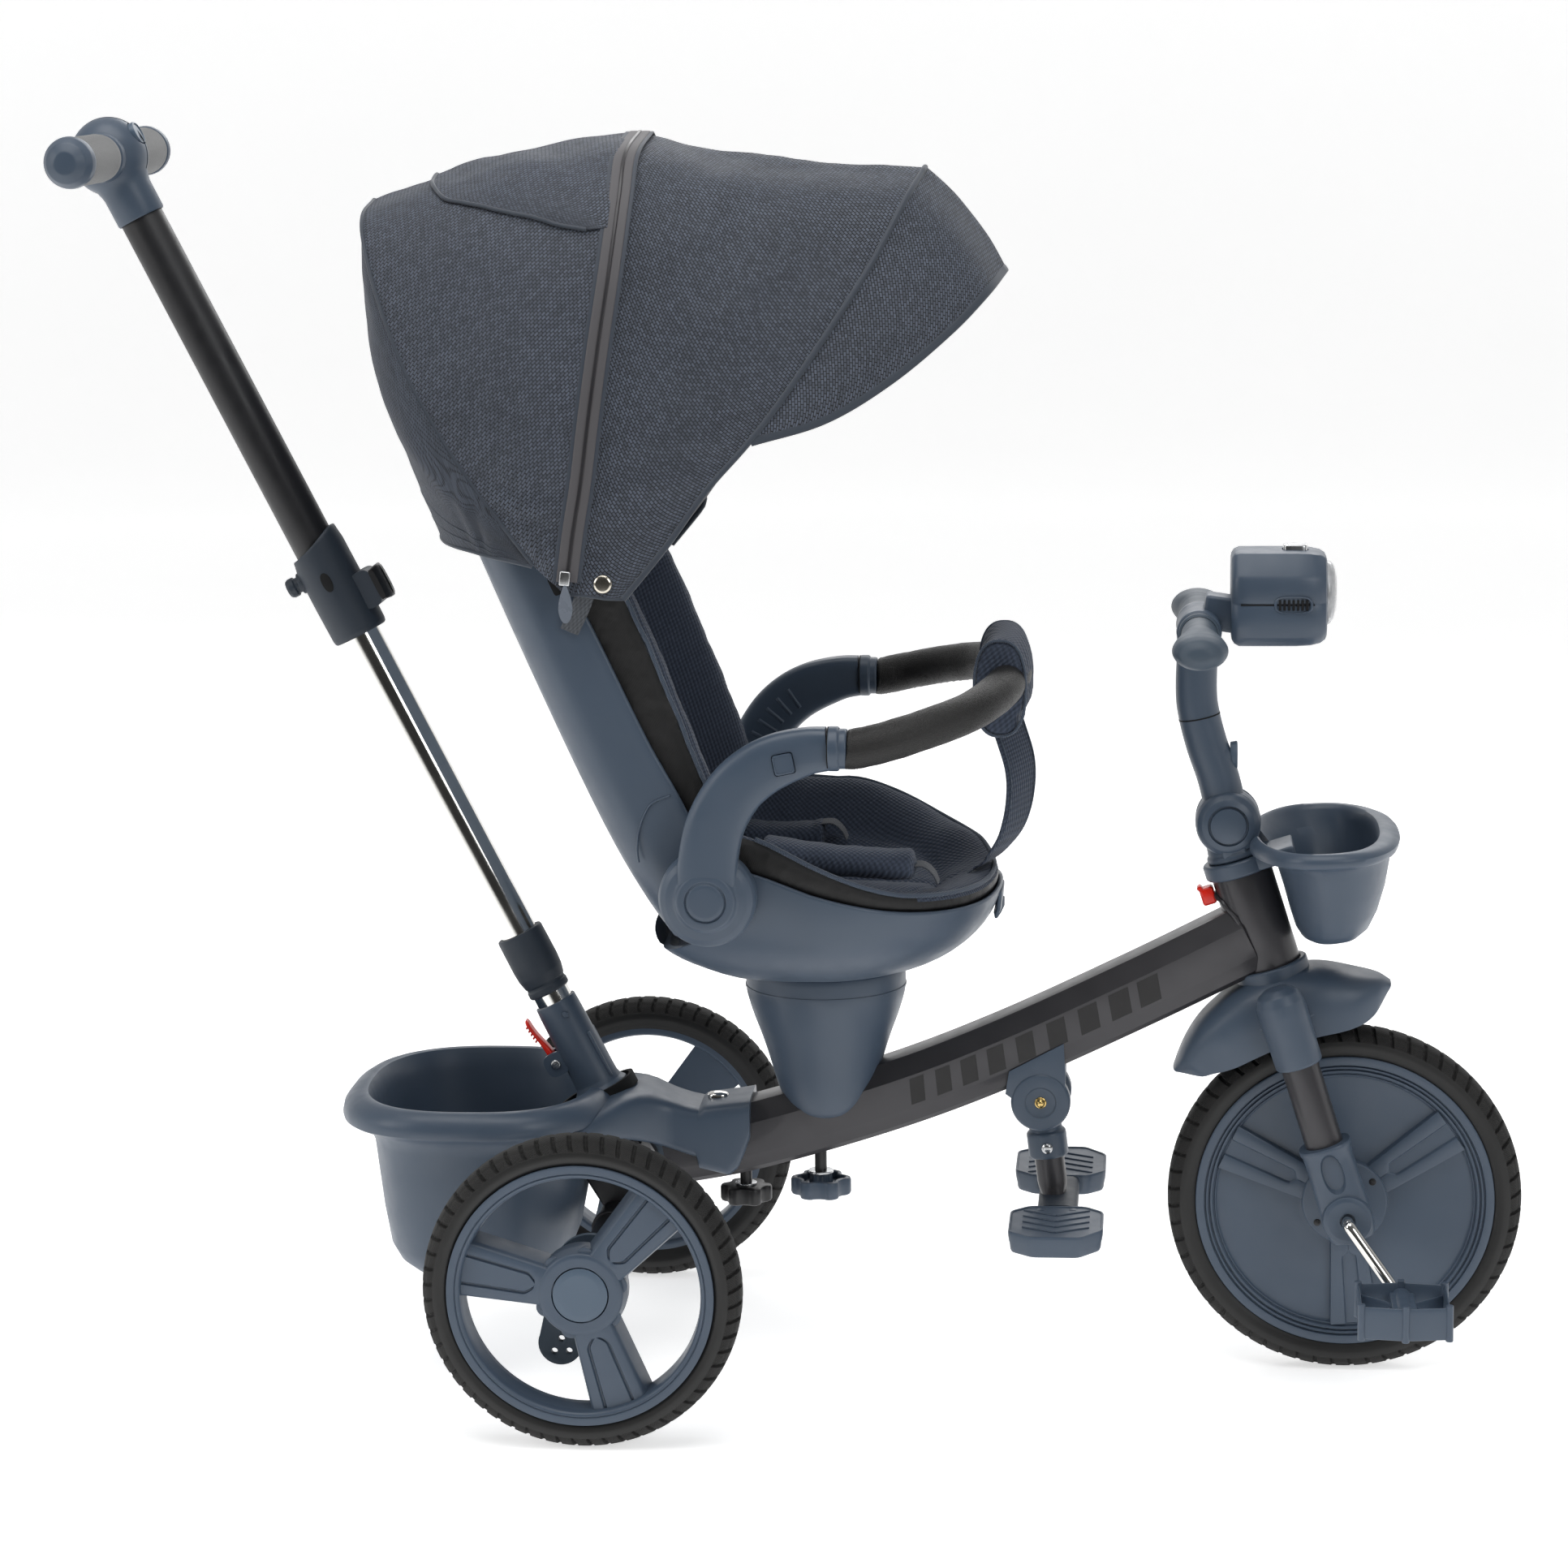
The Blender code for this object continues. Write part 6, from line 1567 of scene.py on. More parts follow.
def make_light_box():
    """The light and sound box: case, speaker slits, lens and top button."""
    centre = LIGHT_CENTRE
    half = light_section()
    loop = half + [(-y, z) for y, z in reversed(half[1:-1])]
    rings = []
    stations = (
        (-0.0415, 0.80, 0.80), (-0.0410, 0.86, 0.87), (-0.0390, 0.93, 0.95), (-0.0350, 0.985, 1.0),
        (-0.0250, 1.0, 1.0), (0.0100, 1.0, 1.0), (0.0220, 0.97, 0.985), (0.0300, 0.91, 0.94),
        (0.0340, 0.84, 0.87), (0.0352, 0.76, 0.80)
    )
    for x, wide, high in stations:
        rings.append([centre + Vector((x, y * wide, z * high)) for y, z in loop])
    case = loft("light_case", rings)
    well = loft(
        "button_well",
        [
            [centre + Vector((0.0100 + a, b, 0.0300 + z)) for a, b in rounded(0.0106, 0.0088, 5, 48)]
            for z in (0.0, 0.02)
        ]
    )
    ring_room = turned("lens_room", [(0.0, 0.02), (0.0268, 0.02), (0.0268, -0.0050), (0.0, -0.0050)],
                       Matrix.Translation(centre + Vector((0.0360, 0, 0))) @ LENS_TURN, 64)
    carve(case, well, ring_room)
    speakers = []
    for side in (-1, 1):
        y = side * 0.0392
        frame_ring = loft(
            "speaker",
            [
                [
                    centre + Vector((a * k + 0.0080, y + side * out, b * k - 0.0045)) for a,
                    b in rounded(0.0146, 0.0066, 3, 64)
                ] for k,
                out in (
                    (1.06, -0.0030), (1.06, 0.0006), (1.02, 0.0010), (0.94, 0.0008), (0.90, -0.0002),
                    (0.88, -0.0016)
                )
            ]
        )
        speakers.append(frame_ring)
        for n in range(7):
            x = centre.x + 0.0080 + (n - 3) * 0.0036
            # Near-black blocks in the speaker slits: painted shade.
            slit = box(
                f"slit_{side}_{n}", (0.0019, 0.0014, 0.0084), (x, y + side * 0.0006, centre.z - 0.0045), 0.0,
                0.0003
            )
            slit.name = f"speaker_slit_{'right' if side < 0 else 'left'}_{n}"
            piece(slit, "gap", "handlebar", "slate")
    gather(case, *speakers)
    piece(case, "slate", "handlebar", "slate", "light_box", smooth=32)
    # A near-black strip along the case's seam on each side: painted shade.
    seam = []
    for side in (-1, 1):
        cut = [
            (side * 0.0390, -0.0050), (side * 0.0390, -0.0038), (side * 0.0378, -0.0038),
            (side * 0.0378, -0.0050)
        ]
        seam.append(loft("seam", [[centre + Vector((x, y, z)) for y, z in cut] for x in (-0.0340, 0.0250)]))
    line = gather(*seam)
    line.name = "light_seam"
    piece(line, "gap", "handlebar", "slate")
    face = Matrix.Translation(centre + Vector((0.0366, 0, 0))) @ LENS_TURN
    lens = turned(
        "light_lens_cover",
        eased(
            [
                (0.0, 0.0072), (0.0150, 0.0066), (0.0220, 0.0046), (0.0252, 0.0022), (0.0262, 0.0),
                (0.0262, -0.0040), (0.0, -0.0040)
            ],
            0.0010, 3
        ),
        face, 72
    )
    piece(lens, "lens", "handlebar", "clear_lens", "light_lens")
    for n, reach in enumerate((0.0080, 0.0150)):
        ring = turned(
            f"light_reflector_{n}",
            [
                (reach, 0.0066 - n * 0.0012), (reach + 0.0018, 0.0064 - n * 0.0014), (reach + 0.0018, -0.001),
                (reach, -0.001)
            ],
            face, 48, ring=True
        )
        piece(ring, "silver", "handlebar", "clear_lens")
    top = loft(
        "light_button_cap",
        [
            [
                centre + Vector((0.0100 + a * k, b * k, 0.0340 + z)) for a,
                b in rounded(0.0098, 0.0080, 5, 48)
            ] for k,
            z in ((1.0, -0.002), (1.0, 0.0046), (0.97, 0.0056), (0.90, 0.0061), (0.5, 0.0064))
        ]
    )
    piece(top, "silver", "light_button", "silver_button", "light_button")
    plate = box("light_back_plate", (0.0050, 0.0420, 0.0420), (0.3530, 0, 0.6400), 0.05, 0.0020)
    piece(plate, "slate_dark", "handlebar", "slate")


def make_head_lock():
    """The red latch at the back of the head tube."""
    at = steering_point(0.276, -HEAD_RADIUS - 0.0068)
    latch = box("head_lock_lever", (0.0116, 0.0136, 0.0146), at, -STEERING_TILT, 0.0022)
    tab = box(
        "latch_tab", (0.0040, 0.0110, 0.0060), at + Vector((-0.0062, 0, 0.0052)), -STEERING_TILT - 0.5, 0.0012
    )
    gather(latch, tab)
    piece(latch, "red", "head_lock", "red_plastic", "head_lock")


# ---------------------------------------------------------------- push handle


def make_push_handle():
    """The receiver, the chrome tube with its sleeve, and the painted tube that slides over it."""
    place = along(HANDLE_ROOT, HANDLE_TILT)
    receiver = turned(
        "receiver_body",
        eased(
            [
                (0.0158, 0.0880), (0.0176, 0.0880), (0.0180, 0.0800), (0.0186, 0.0300), (0.0192, 0.0130),
                (0.0206, 0.0085), (0.0236, 0.0055), (0.0242, 0.0010), (0.0240, -0.0040), (0.0125, -0.0040),
                (0.0125, -0.0480), (0.0090, -0.0480), (0.0090, 0.0270), (0.0158, 0.0270)
            ],
            0.0007, 3, True
        ),
        place, 80, ring=True
    )
    ear = []
    for side in (-1, 1):
        ear.append(
            loft(
                "ear",
                [
                    [
                        handle_point(0.0404 + b, -0.0222 + a, side * y) for a,
                        b in rounded(0.0098, 0.0100, 3.0, 40)
                    ]
                    for y in (0.0066, 0.0100, 0.0108)
                ]
            )
        )
        ear.append(
            rod(
                "spring_button", handle_point(0.0760, 0.006, side * 0.0155),
                handle_point(0.0760, 0.006, side * 0.0186), 0.0032, 0.0024, steps=24
            )
        )
    web = [
        box(
            "receiver_rib", (0.0030, 0.0030, 0.0420), handle_point(0.0330, 0.0190 * a, 0.0190 * b),
            -HANDLE_TILT, 0.001
        ) for a,
        b in ((0.8, 0.6), (0.8, -0.6))
    ]
    gather(receiver, *ear, *web)
    piece(receiver, "slate", "handle_lower", "slate", "handle_receiver")
    at = handle_point(0.0404, -0.0225, 0)
    bolt = turned(
        "receiver_bolt",
        eased([(0.0, 0.0126), (0.0034, 0.0124), (0.0044, 0.0112), (0.0046, 0.0100), (0.0, 0.0100)], 0.0004),
        across(at, -1), 32
    )
    cross = [
        box("cross", (0.0044, 0.0010, 0.0010), at + Vector((0, -0.0124, 0)), turn)
        for turn in (0.3, 0.3 + math.pi / 2)
    ]
    carve(bolt, *cross)
    piece(bolt, "steel", "handle_lower", "slate")
    make_release_lever()
    tube = turned(
        "chrome_tube", [(0.0155, 0.560), (0.0155, 0.0275), (0.0140, 0.0275), (0.0140, 0.560)], place, 72,
        ring=True
    )
    piece(tube, "chrome", "handle_lower", "chrome", "lower_tube")
    sleeve = turned(
        "tube_sleeve",
        eased(
            [
                (0.0157, 0.1530), (0.0194, 0.1530), (0.0200, 0.1510), (0.0202, 0.1240), (0.0196, 0.1150),
                (0.0178, 0.1070), (0.0170, 0.1062), (0.0170, 0.1040), (0.0178, 0.1032), (0.0178, 0.0985),
                (0.0168, 0.0972), (0.0157, 0.0972)
            ],
            0.0006, 3, True
        ),
        place, 72, ring=True
    )
    piece(sleeve, "slate_dark", "handle_lower", "black_plastic")
    upper = turned(
        "painted_tube",
        eased([(0.0180, 0.8215), (0.0180, 0.4480), (0.0163, 0.4480), (0.0163, 0.8215)], 0.0004, 2, True),
        place, 80, ring=True
    )
    piece(upper, "black_tube", "handle_upper", "black_tube", "upper_tube")
    make_collar(place)
    make_handle_head(place)


def make_release_lever():
    """The red lever at the foot of the push handle, with finger ribs near its tip."""
    rings = []
    for i in range(33):
        t = i / 32
        s = mix(0.0385, 0.0840, t)
        out = -0.0234 - 0.0060 * ease((t - 0.25) / 0.75) - 0.0012 * math.sin(math.pi * t)
        thick = mix(0.0030, 0.0017, ease((t - 0.2) / 0.5)) * math.sqrt(
            max(1e-3, 1 - max(0.0, (t - 0.94) / 0.0615) ** 2)
        )
        half = mix(0.0059, 0.0064, t) * (1 - 0.35 * ease((t - 0.90) / 0.10))
        rings.append([handle_point(s, out + a, b) for a, b in rounded(max(thick, 0.0004), half, 3.5, 36)])
    lever = loft("release_lever_blade", rings)
    ribs = [
        box(
            "rib", (0.0012, 0.0092, 0.0016), handle_point(0.0640 + 0.0034 * n, -0.0303 - 0.0004 * n),
            -HANDLE_TILT, 0.0004
        )
        for n in range(5)
    ]
    gather(lever, *ribs)
    piece(lever, "red", "release_lever", "red_plastic", "release_lever")


def make_collar(place):
    """The clamp collar: round below, its top edge cut in a crescent that rises to a point at the front."""
    steps = 96
    rings = []
    levels = (
        (0.0162, 0.4340, 0), (0.0218, 0.4340, 0), (0.0230, 0.4352, 0), (0.0236, 0.4385, 0),
        (0.0240, 0.4700, 0), (0.0238, 0.5020, 0), (0.0226, 0.5080, 1), (0.0224, 0.5100, 1),
        (0.0216, 0.5110, 1), (0.0184, 0.5110, 1), (0.0184, 0.4476, 0), (0.0162, 0.4476, 0)
    )
    for radius, height, top in levels:
        ring = []
        for i in range(steps):
            angle = 2 * math.pi * i / steps
            rise = 0.0145 * (0.5 + 0.5 * math.cos(angle)) ** 1.5 if top else 0.0
            if not top and height > 0.5:
                rise = 0.0100 * (0.5 + 0.5 * math.cos(angle)) ** 1.5
            ring.append(place @ Vector((radius * math.cos(angle), radius * math.sin(angle), height + rise)))
        rings.append(ring)
    collar = loft("collar_body", rings, closed=True)
    knob = turned(
        "knob",
        eased(
            [
                (0.0, 0.0375), (0.0070, 0.0368), (0.0082, 0.0345), (0.0082, 0.0300), (0.0066, 0.0290),
                (0.0066, 0.0262), (0.0090, 0.0256), (0.0094, 0.0200), (0.0, 0.0200)
            ],
            0.0006, 3
        ),
        Matrix.Translation(handle_point(0.4930)) @ Matrix.Rotation(-HANDLE_TILT, 4, "Y") @ Matrix.Rotation(
            math.radians(-90), 4, "Y"
        ),
        48
    )
    ears = loft(
        "ears",
        [
            [handle_point(0.4650 + b, 0.0245 + a, y) for a, b in rounded(0.0090, 0.0160, 3.5, 40)]
            for y in (-0.0148, -0.0140, 0.0140, 0.0148)
        ]
    )
    gather(collar, knob, ears)
    piece(collar, "slate_dark", "handle_upper", "slate", "telescopic_collar", smooth=42)
    # A near-black patch in the collar's hole: painted shade.
    hole = loft(
        "collar_hole",
        [
            [
                handle_point(0.4850 + b * k, a * k * 0.9, -0.0234 - out) for a,
                b in rounded(0.0046, 0.0084, 2.2, 32)
            ] for k,
            out in ((1.0, 0.0), (1.0, 0.0007), (0.92, 0.0009))
        ]
    )
    piece(hole, "gap", "handle_upper", "slate")
    rings = []
    for t in range(25):
        u = t / 24
        y = mix(-0.0150, 0.0150, u)
        bend = 0.0045 * (1 - (y / 0.0150) ** 2)
        tall = 0.0150 * (1 - 0.12 * abs(y / 0.015) ** 3)
        rings.append(
            [handle_point(0.4650 + b, 0.0345 + bend + a, y) for a, b in rounded(0.0024, tall, 4.0, 36)]
        )
    clamp = loft("clamp_lever_blade", rings)
    ridge = loft(
        "ridge",
        [
            [handle_point(0.4650 + b, 0.0400 + a, y) for a, b in rounded(0.0020, 0.0135, 3.0, 32)]
            for y in (-0.0032, 0.0032)
        ]
    )
    gather(clamp, ridge)
    piece(clamp, "black_plastic", "clamp_lever", "black_plastic", "clamp_lever")


HEAD_BALL_RADIUS = 0.0316


def make_handle_head(place):
    """The ball on top of the handle, with its neck, button and two foam grips."""
    middle = HANDLE_HUB_AT
    profile = []
    for i in range(25):
        angle = math.radians(mix(90, -44, i / 24))
        profile.append(
            (HEAD_BALL_RADIUS * math.cos(angle) if i else 0.0, middle + HEAD_BALL_RADIUS * math.sin(angle))
        )
    profile += [
        (0.0213, middle - 0.0265), (0.0204, middle - 0.0310), (0.0203, middle - 0.0540),
        (0.0196, middle - 0.0556), (0.0183, middle - 0.0556), (0.0183, middle - 0.0500),
        (0.0, middle - 0.0500)
    ]
    hub = turned("head_ball", profile, place, 96)
    slot = box("neck_slot", (0.060, 0.0022, 0.0300), handle_point(middle - 0.0470, -0.02), -HANDLE_TILT)
    chamfer = box(
        "neck_chamfer", (0.050, 0.06, 0.0260), handle_point(middle - 0.0640, 0.0300), -HANDLE_TILT - 0.70
    )
    well = loft(
        "well",
        [
            [handle_point(middle + 0.0060 + b, 0.0265 + out, a) for a, b in rounded(0.0128, 0.0105, 2.2, 56)]
            for out in (0.0, 0.02)
        ]
    )
    carve(hub, slot, chamfer, well)
    # A darker slate ring along the ball's seam: painted shade.
    seam = turned("seam", [(0.0310, 0.0005), (0.0319, 0.0005), (0.0319, -0.0005), (0.0310, -0.0005)],
                  across(handle_point(middle), 1), 96, ring=True)
    bosses = [
        turned(
            "boss",
            eased(
                [(0.0, 0.0345), (0.0178, 0.0345), (0.0194, 0.0325), (0.0205, 0.0260), (0.0, 0.0230)], 0.001
            ),
            across(handle_point(middle), side), 64
        )
        for side in (-1, 1)
    ]
    gather(hub, *bosses)
    piece(hub, "slate", "handle_upper", "slate", "handle_hub")
    piece(seam, "slate_dark", "handle_upper", "slate")
    seam.name = "head_seam"
    face = Matrix.Translation(handle_point(middle + 0.0060, 0)) @ Matrix.Rotation(-HANDLE_TILT, 4, "Y")
    button = loft(
        "hub_button_cap",
        [
            [face @ Vector((out, a * k, b * k)) for a, b in rounded(0.0120, 0.0097, 2.2, 56)] for k,
            out in (
                (1.0, 0.0262), (1.0, 0.0300), (0.95, 0.0312), (0.84, 0.0314), (0.80, 0.0304), (0.55, 0.0308),
                (0.2, 0.0309)
            )
        ]
    )
    piece(button, "slate_light", "hub_button", "slate", "hub_button")
    for side, label in SIDES:
        start = across(handle_point(middle) + Vector((0, side * 0.0350, 0)), side)
        grip = turned(
            "foam_grip_" + label,
            eased(
                [
                    (0.0125, 0.0), (0.0172, 0.0), (0.0190, 0.0020), (0.0195, 0.0100), (0.0195, 0.0850),
                    (0.0190, 0.0900), (0.0125, 0.0905)
                ],
                0.0012, 4
            ),
            start, 80
        )
        piece(grip, "foam", "handle_upper", "foam", "handle_grip_" + label)
        cap = turned(
            "grip_cap_" + label,
            eased(
                [
                    (0.0, 0.1112), (0.0090, 0.1102), (0.0160, 0.1058), (0.0198, 0.0985), (0.0206, 0.0930),
                    (0.0202, 0.0885), (0.0190, 0.0878), (0.0, 0.0878)
                ],
                0.0012, 4
            ),
            start, 80
        )
        piece(cap, "slate", "handle_upper", "foam")


# ---------------------------------------------------------------- pedestal and footrest


def make_pedestal():
    """The moulded cone under the seat, with a bead near its top."""
    profile = [(0.0, 0.3396), (0.0640, 0.3396), (0.0656, 0.3390), (0.0662, 0.3374)]
    shape = (
        (0.2105, 0.0200), (0.2145, 0.0270), (0.2215, 0.0329), (0.2310, 0.0380), (0.2420, 0.0420),
        (0.2560, 0.0460), (0.2680, 0.0495), (0.2830, 0.0545), (0.2980, 0.0600), (0.3110, 0.0640),
        (0.3200, 0.0660), (0.3374, 0.0662)
    )
    profile += [(smooth_on(shape, z), z) for z in (mix(0.3330, 0.2105, i / 48) for i in range(49))]
    profile += [(0.0130, 0.2088), (0.0, 0.2082)]
    pedestal = turned("pedestal_moulding", profile, Matrix.Translation((SEAT_AXIS_X, 0, 0)), 128)
    ring = turned("pedestal_ring", [(0.0655, 0.3240), (0.0668, 0.3238), (0.0668, 0.3222), (0.0655, 0.3220)],
                  Matrix.Translation((SEAT_AXIS_X, 0, 0)), 128, ring=True)
    gather(pedestal, ring)
    piece(pedestal, "slate", "frame", "slate", "seat_pedestal", smooth=60)


FOOTPLATE_MIDDLE = Vector((0.2095, 0.0925))


def make_footrest():
    """The bracket under the beam, the folding barrel and tube, and the two plates on their cross block."""
    pivot = FOOTREST_PIVOT
    parts = []
    for side in (-1, 1):
        parts.append(
            turned(
                "cheek",
                eased(
                    [
                        (0.0, 0.0136), (0.0240, 0.0136), (0.0246, 0.0160), (0.0246, 0.0250), (0.0228, 0.0276),
                        (0.0130, 0.0280), (0.0122, 0.0268), (0.0, 0.0268)
                    ],
                    0.0008, 3
                ),
                across(pivot, side), 80
            )
        )
    mount = loft(
        "mount",
        [
            [
                pivot + Vector((x, y, z)) for x,
                z in (
                    (-0.0290, 0.0070), (-0.0260, 0.0260), (0.0190, 0.0500), (0.0205, 0.0240),
                    (0.0200, 0.0060), (0.0150, -0.0020), (-0.0190, 0.0000)
                )
            ]
            for y in (-0.0262, 0.0262)
        ]
    )
    clear = 0.0004
    beam_cut = rounded(BEAM_HEIGHT / 2 + clear, BEAM_WIDTH / 2 + clear, 9, 32)
    room = swept("footrest_beam_room", smooth_path(BEAM_LINE, 30), lambda t: beam_cut)
    tongue = rod(
        "tongue_room", pivot - Vector((0, 0.0135, 0)), pivot + Vector((0, 0.0135, 0)), 0.0275, steps=64
    )
    carve(mount, room, tongue)
    bevel(mount, 0.0015, 3)
    mount = gather(mount, *parts)
    mount.name = "footrest_bracket_moulding"
    piece(mount, "slate", "frame", "slate", "footrest_bracket")
    nut = turned(
        "footrest_nut",
        eased(
            [
                (0.0, 0.0316), (0.0020, 0.0312), (0.0034, 0.0296), (0.0037, 0.0280), (0.0048, 0.0278),
                (0.0050, 0.0266), (0.0, 0.0266)
            ],
            0.0005, 3
        ),
        across(pivot, -1), 40
    )
    piece(nut, "brass", "frame", "slate")
    place = Matrix.Translation(pivot) @ Matrix.Rotation(math.pi - FOOTREST_TILT, 4, "Y")
    stem = rod("stem_disc", pivot - Vector((0, 0.0132, 0)), pivot + Vector((0, 0.0132, 0)), 0.0180, steps=72)
    barrel = turned(
        "barrel",
        eased(
            [
                (0.0, 0.010), (0.0128, 0.0110), (0.0134, 0.0260), (0.0140, 0.0292), (0.0160, 0.0308),
                (0.0165, 0.0325), (0.0165, 0.0500), (0.0158, 0.0518), (0.0135, 0.0520), (0.0, 0.0520)
            ],
            0.0010, 3
        ),
        place, 80
    )
    gather(stem, barrel)
    stem.name = "footrest_barrel"
    piece(stem, "slate", "footrest", "slate", "footrest_stem")
    rivet_at = place @ Vector((0.0, 0, 0.0420))
    rivet = turned(
        "footrest_rivet",
        eased([(0.0, 0.0192), (0.0030, 0.0186), (0.0046, 0.0174), (0.0048, 0.0160), (0.0, 0.0156)], 0.0004),
        across(rivet_at, -1), 32
    )
    piece(rivet, "steel", "footrest", "slate")
    rings = []
    for i in range(29):
        t = i / 28
        reach = mix(0.0490, 0.1005, t)
        flat = ease((t - 0.45) / 0.40)
        rings.append([place @ Vector((a, b, reach)) for a, b in
                      rounded(mix(0.0124, 0.0085, flat), mix(0.0124, 0.0152, flat), mix(2.0, 3.2, flat), 48)])
    tube = loft("footrest_tube", rings)
    piece(tube, "frame_paint", "footrest", "frame_paint")
    beam = loft(
        "cross_block",
        [
            [Vector((FOOTPLATE_MIDDLE.x + a, y, 0.1378 + b)) for a, b in rounded(0.0165, 0.0088, 4.0, 40)]
            for y in (-0.0445, -0.0435, 0.0435, 0.0445)
        ]
    )
    piece(beam, "slate_dark", "footrest", "slate")
    for side, label in SIDES:
        make_footplate(side, label)


def make_footplate(side, label):
    """A folding plate with chevron ribs and its hinge eyes."""
    corners = (
        (0.1715, 0.0620), (0.1865, 0.0468), (0.2330, 0.0468), (0.2480, 0.0620), (0.2480, 0.1150),
        (0.2300, 0.1380), (0.1900, 0.1380), (0.1715, 0.1220)
    )
    middle = FOOTPLATE_MIDDLE
    outline = []
    for n, corner in enumerate(corners):
        before, after = Vector(corners[n - 1]), Vector(corners[(n + 1) % 8])
        point = Vector(corner)
        start, end = point + (
            before - point
        ).normalized() * 0.005, point + (after - point).normalized() * 0.005
        for k in range(5):
            t = k / 4
            outline.append(start * (1 - t) ** 2 + point * 2 * t * (1 - t) + end * t * t)
    rings = []
    for scale, z in (
        (0.88, 0.1285), (0.93, 0.1290), (0.955, 0.1312), (0.965, 0.1350), (0.985, 0.1385), (0.997, 0.1420),
        (1.0, 0.1440), (1.0, 0.1456), (0.99, 0.1467), (0.97, 0.1470), (0.955, 0.1468), (0.945, 0.1458),
        (0.90, 0.1456)
    ):
        rings.append(
            [
                Vector((middle.x + (p.x - middle.x) * scale, side * (middle.y + (p.y - middle.y) * scale), z))
                for p in outline
            ]
        )
    plate = loft("footplate_moulding_" + label, rings)
    chevrons = []
    for n in range(4):
        y = 0.0580 + 0.0160 * n
        for half in (-1, 1):
            start = Vector((middle.x, side * (y + 0.015), 0.1459))
            end = Vector((middle.x + half * 0.0270, side * y, 0.1459))
            chevrons.append(rod("chevron", start, end, 0.0011, 0.0009, steps=10))
    hinges = [
        loft(
            "hinge",
            [
                [
                    Vector((x + a, side * (0.0478 + y), 0.1385 + b)) for a,
                    b in rounded(0.0060, 0.0075, 3.0, 28)
                ]
                for y in (-0.0020, 0.0090)
            ]
        )
        for x in (0.1965, 0.2225)
    ]
    gather(plate, *chevrons, *hinges)
    piece(plate, "slate", "footplate_" + label, "slate", "footplate_" + label)


# ---------------------------------------------------------------- seat, arms and bumper

RIM_TABLE = (
    (-0.118, 0.392), (-0.090, 0.425), (-0.062, 0.450), (-0.025, 0.446), (0.005, 0.434), (0.050, 0.421),
    (0.095, 0.412), (0.147, 0.408), (0.170, 0.412)
)


def smooth_on(table, x):
    """The height at x on a smooth curve through the table's points."""
    last = len(table) - 2
    for i in range(last + 1):
        if x <= table[i + 1][0] or i == last:
            break
    (x0, z0), (x1, z1) = table[i], table[i + 1]
    xb, zb = table[i - 1] if i else (2 * x0 - x1, 2 * z0 - z1)
    xa, za = table[i + 2] if i < last else (2 * x1 - x0, 2 * z1 - z0)
    u = min(max((x - x0) / (x1 - x0), 0.0), 1.0)
    m0 = (z1 - zb) / (x1 - xb) * (x1 - x0)
    m1 = (za - z0) / (xa - x0) * (x1 - x0)
    return z0 * (
        2 * u**3 - 3 * u**2 + 1
    ) + m0 * (u**3 - 2 * u**2 + u) + z1 * (3 * u**2 - 2 * u**3) + m1 * (u**3 - u**2)


def seat_outline(count):
    """The seat's unit outline from above: rounder in front, squarer behind."""
    points = []
    for (x, y), (rear_x, rear_y) in zip(rounded(1.0, 1.0, 2.35, count), rounded(1.0, 1.0, 4.5, count)):
        points.append((x, y) if x > 0 else (rear_x, rear_y))
    return points


def seat_ring(level, inset=0.0, count=144, lift=0.0):
    """The bowl's outline at a level from 0 at its floor to 1 at its rim."""
    points = []
    for x, y in seat_outline(count):
        fullness = mix(2.7, 1.5, ease((x + 0.2) / 1.0))
        spread = 0.34 + 0.66 * math.sqrt(max(0.0, 1 - (1 - level) ** fullness))
        px = SEAT_AXIS_X + x * ((0.147 if x > 0 else 0.134) * spread - inset)
        narrow = 1 - 0.10 * max(0.0, x) ** 2
        py = y * (SEAT_HALF_WIDTH * spread * narrow - inset)
        points.append(Vector((px, py, mix(SEAT_FLOOR_Z, smooth_on(RIM_TABLE, px), level) + lift)))
    return points


def back_solid(name, half_width, rear, front, low, high, count=48):
    """A block in the backrest's own directions, to cut room for it."""
    return loft(
        name,
        [
            [
                back_point(up, mix(rear, front, (a + 1) / 2), half_width * b) for a,
                b in rounded(1.0, 1.0, 5.0, count)
            ]
            for up in (low, high)
        ]
    )


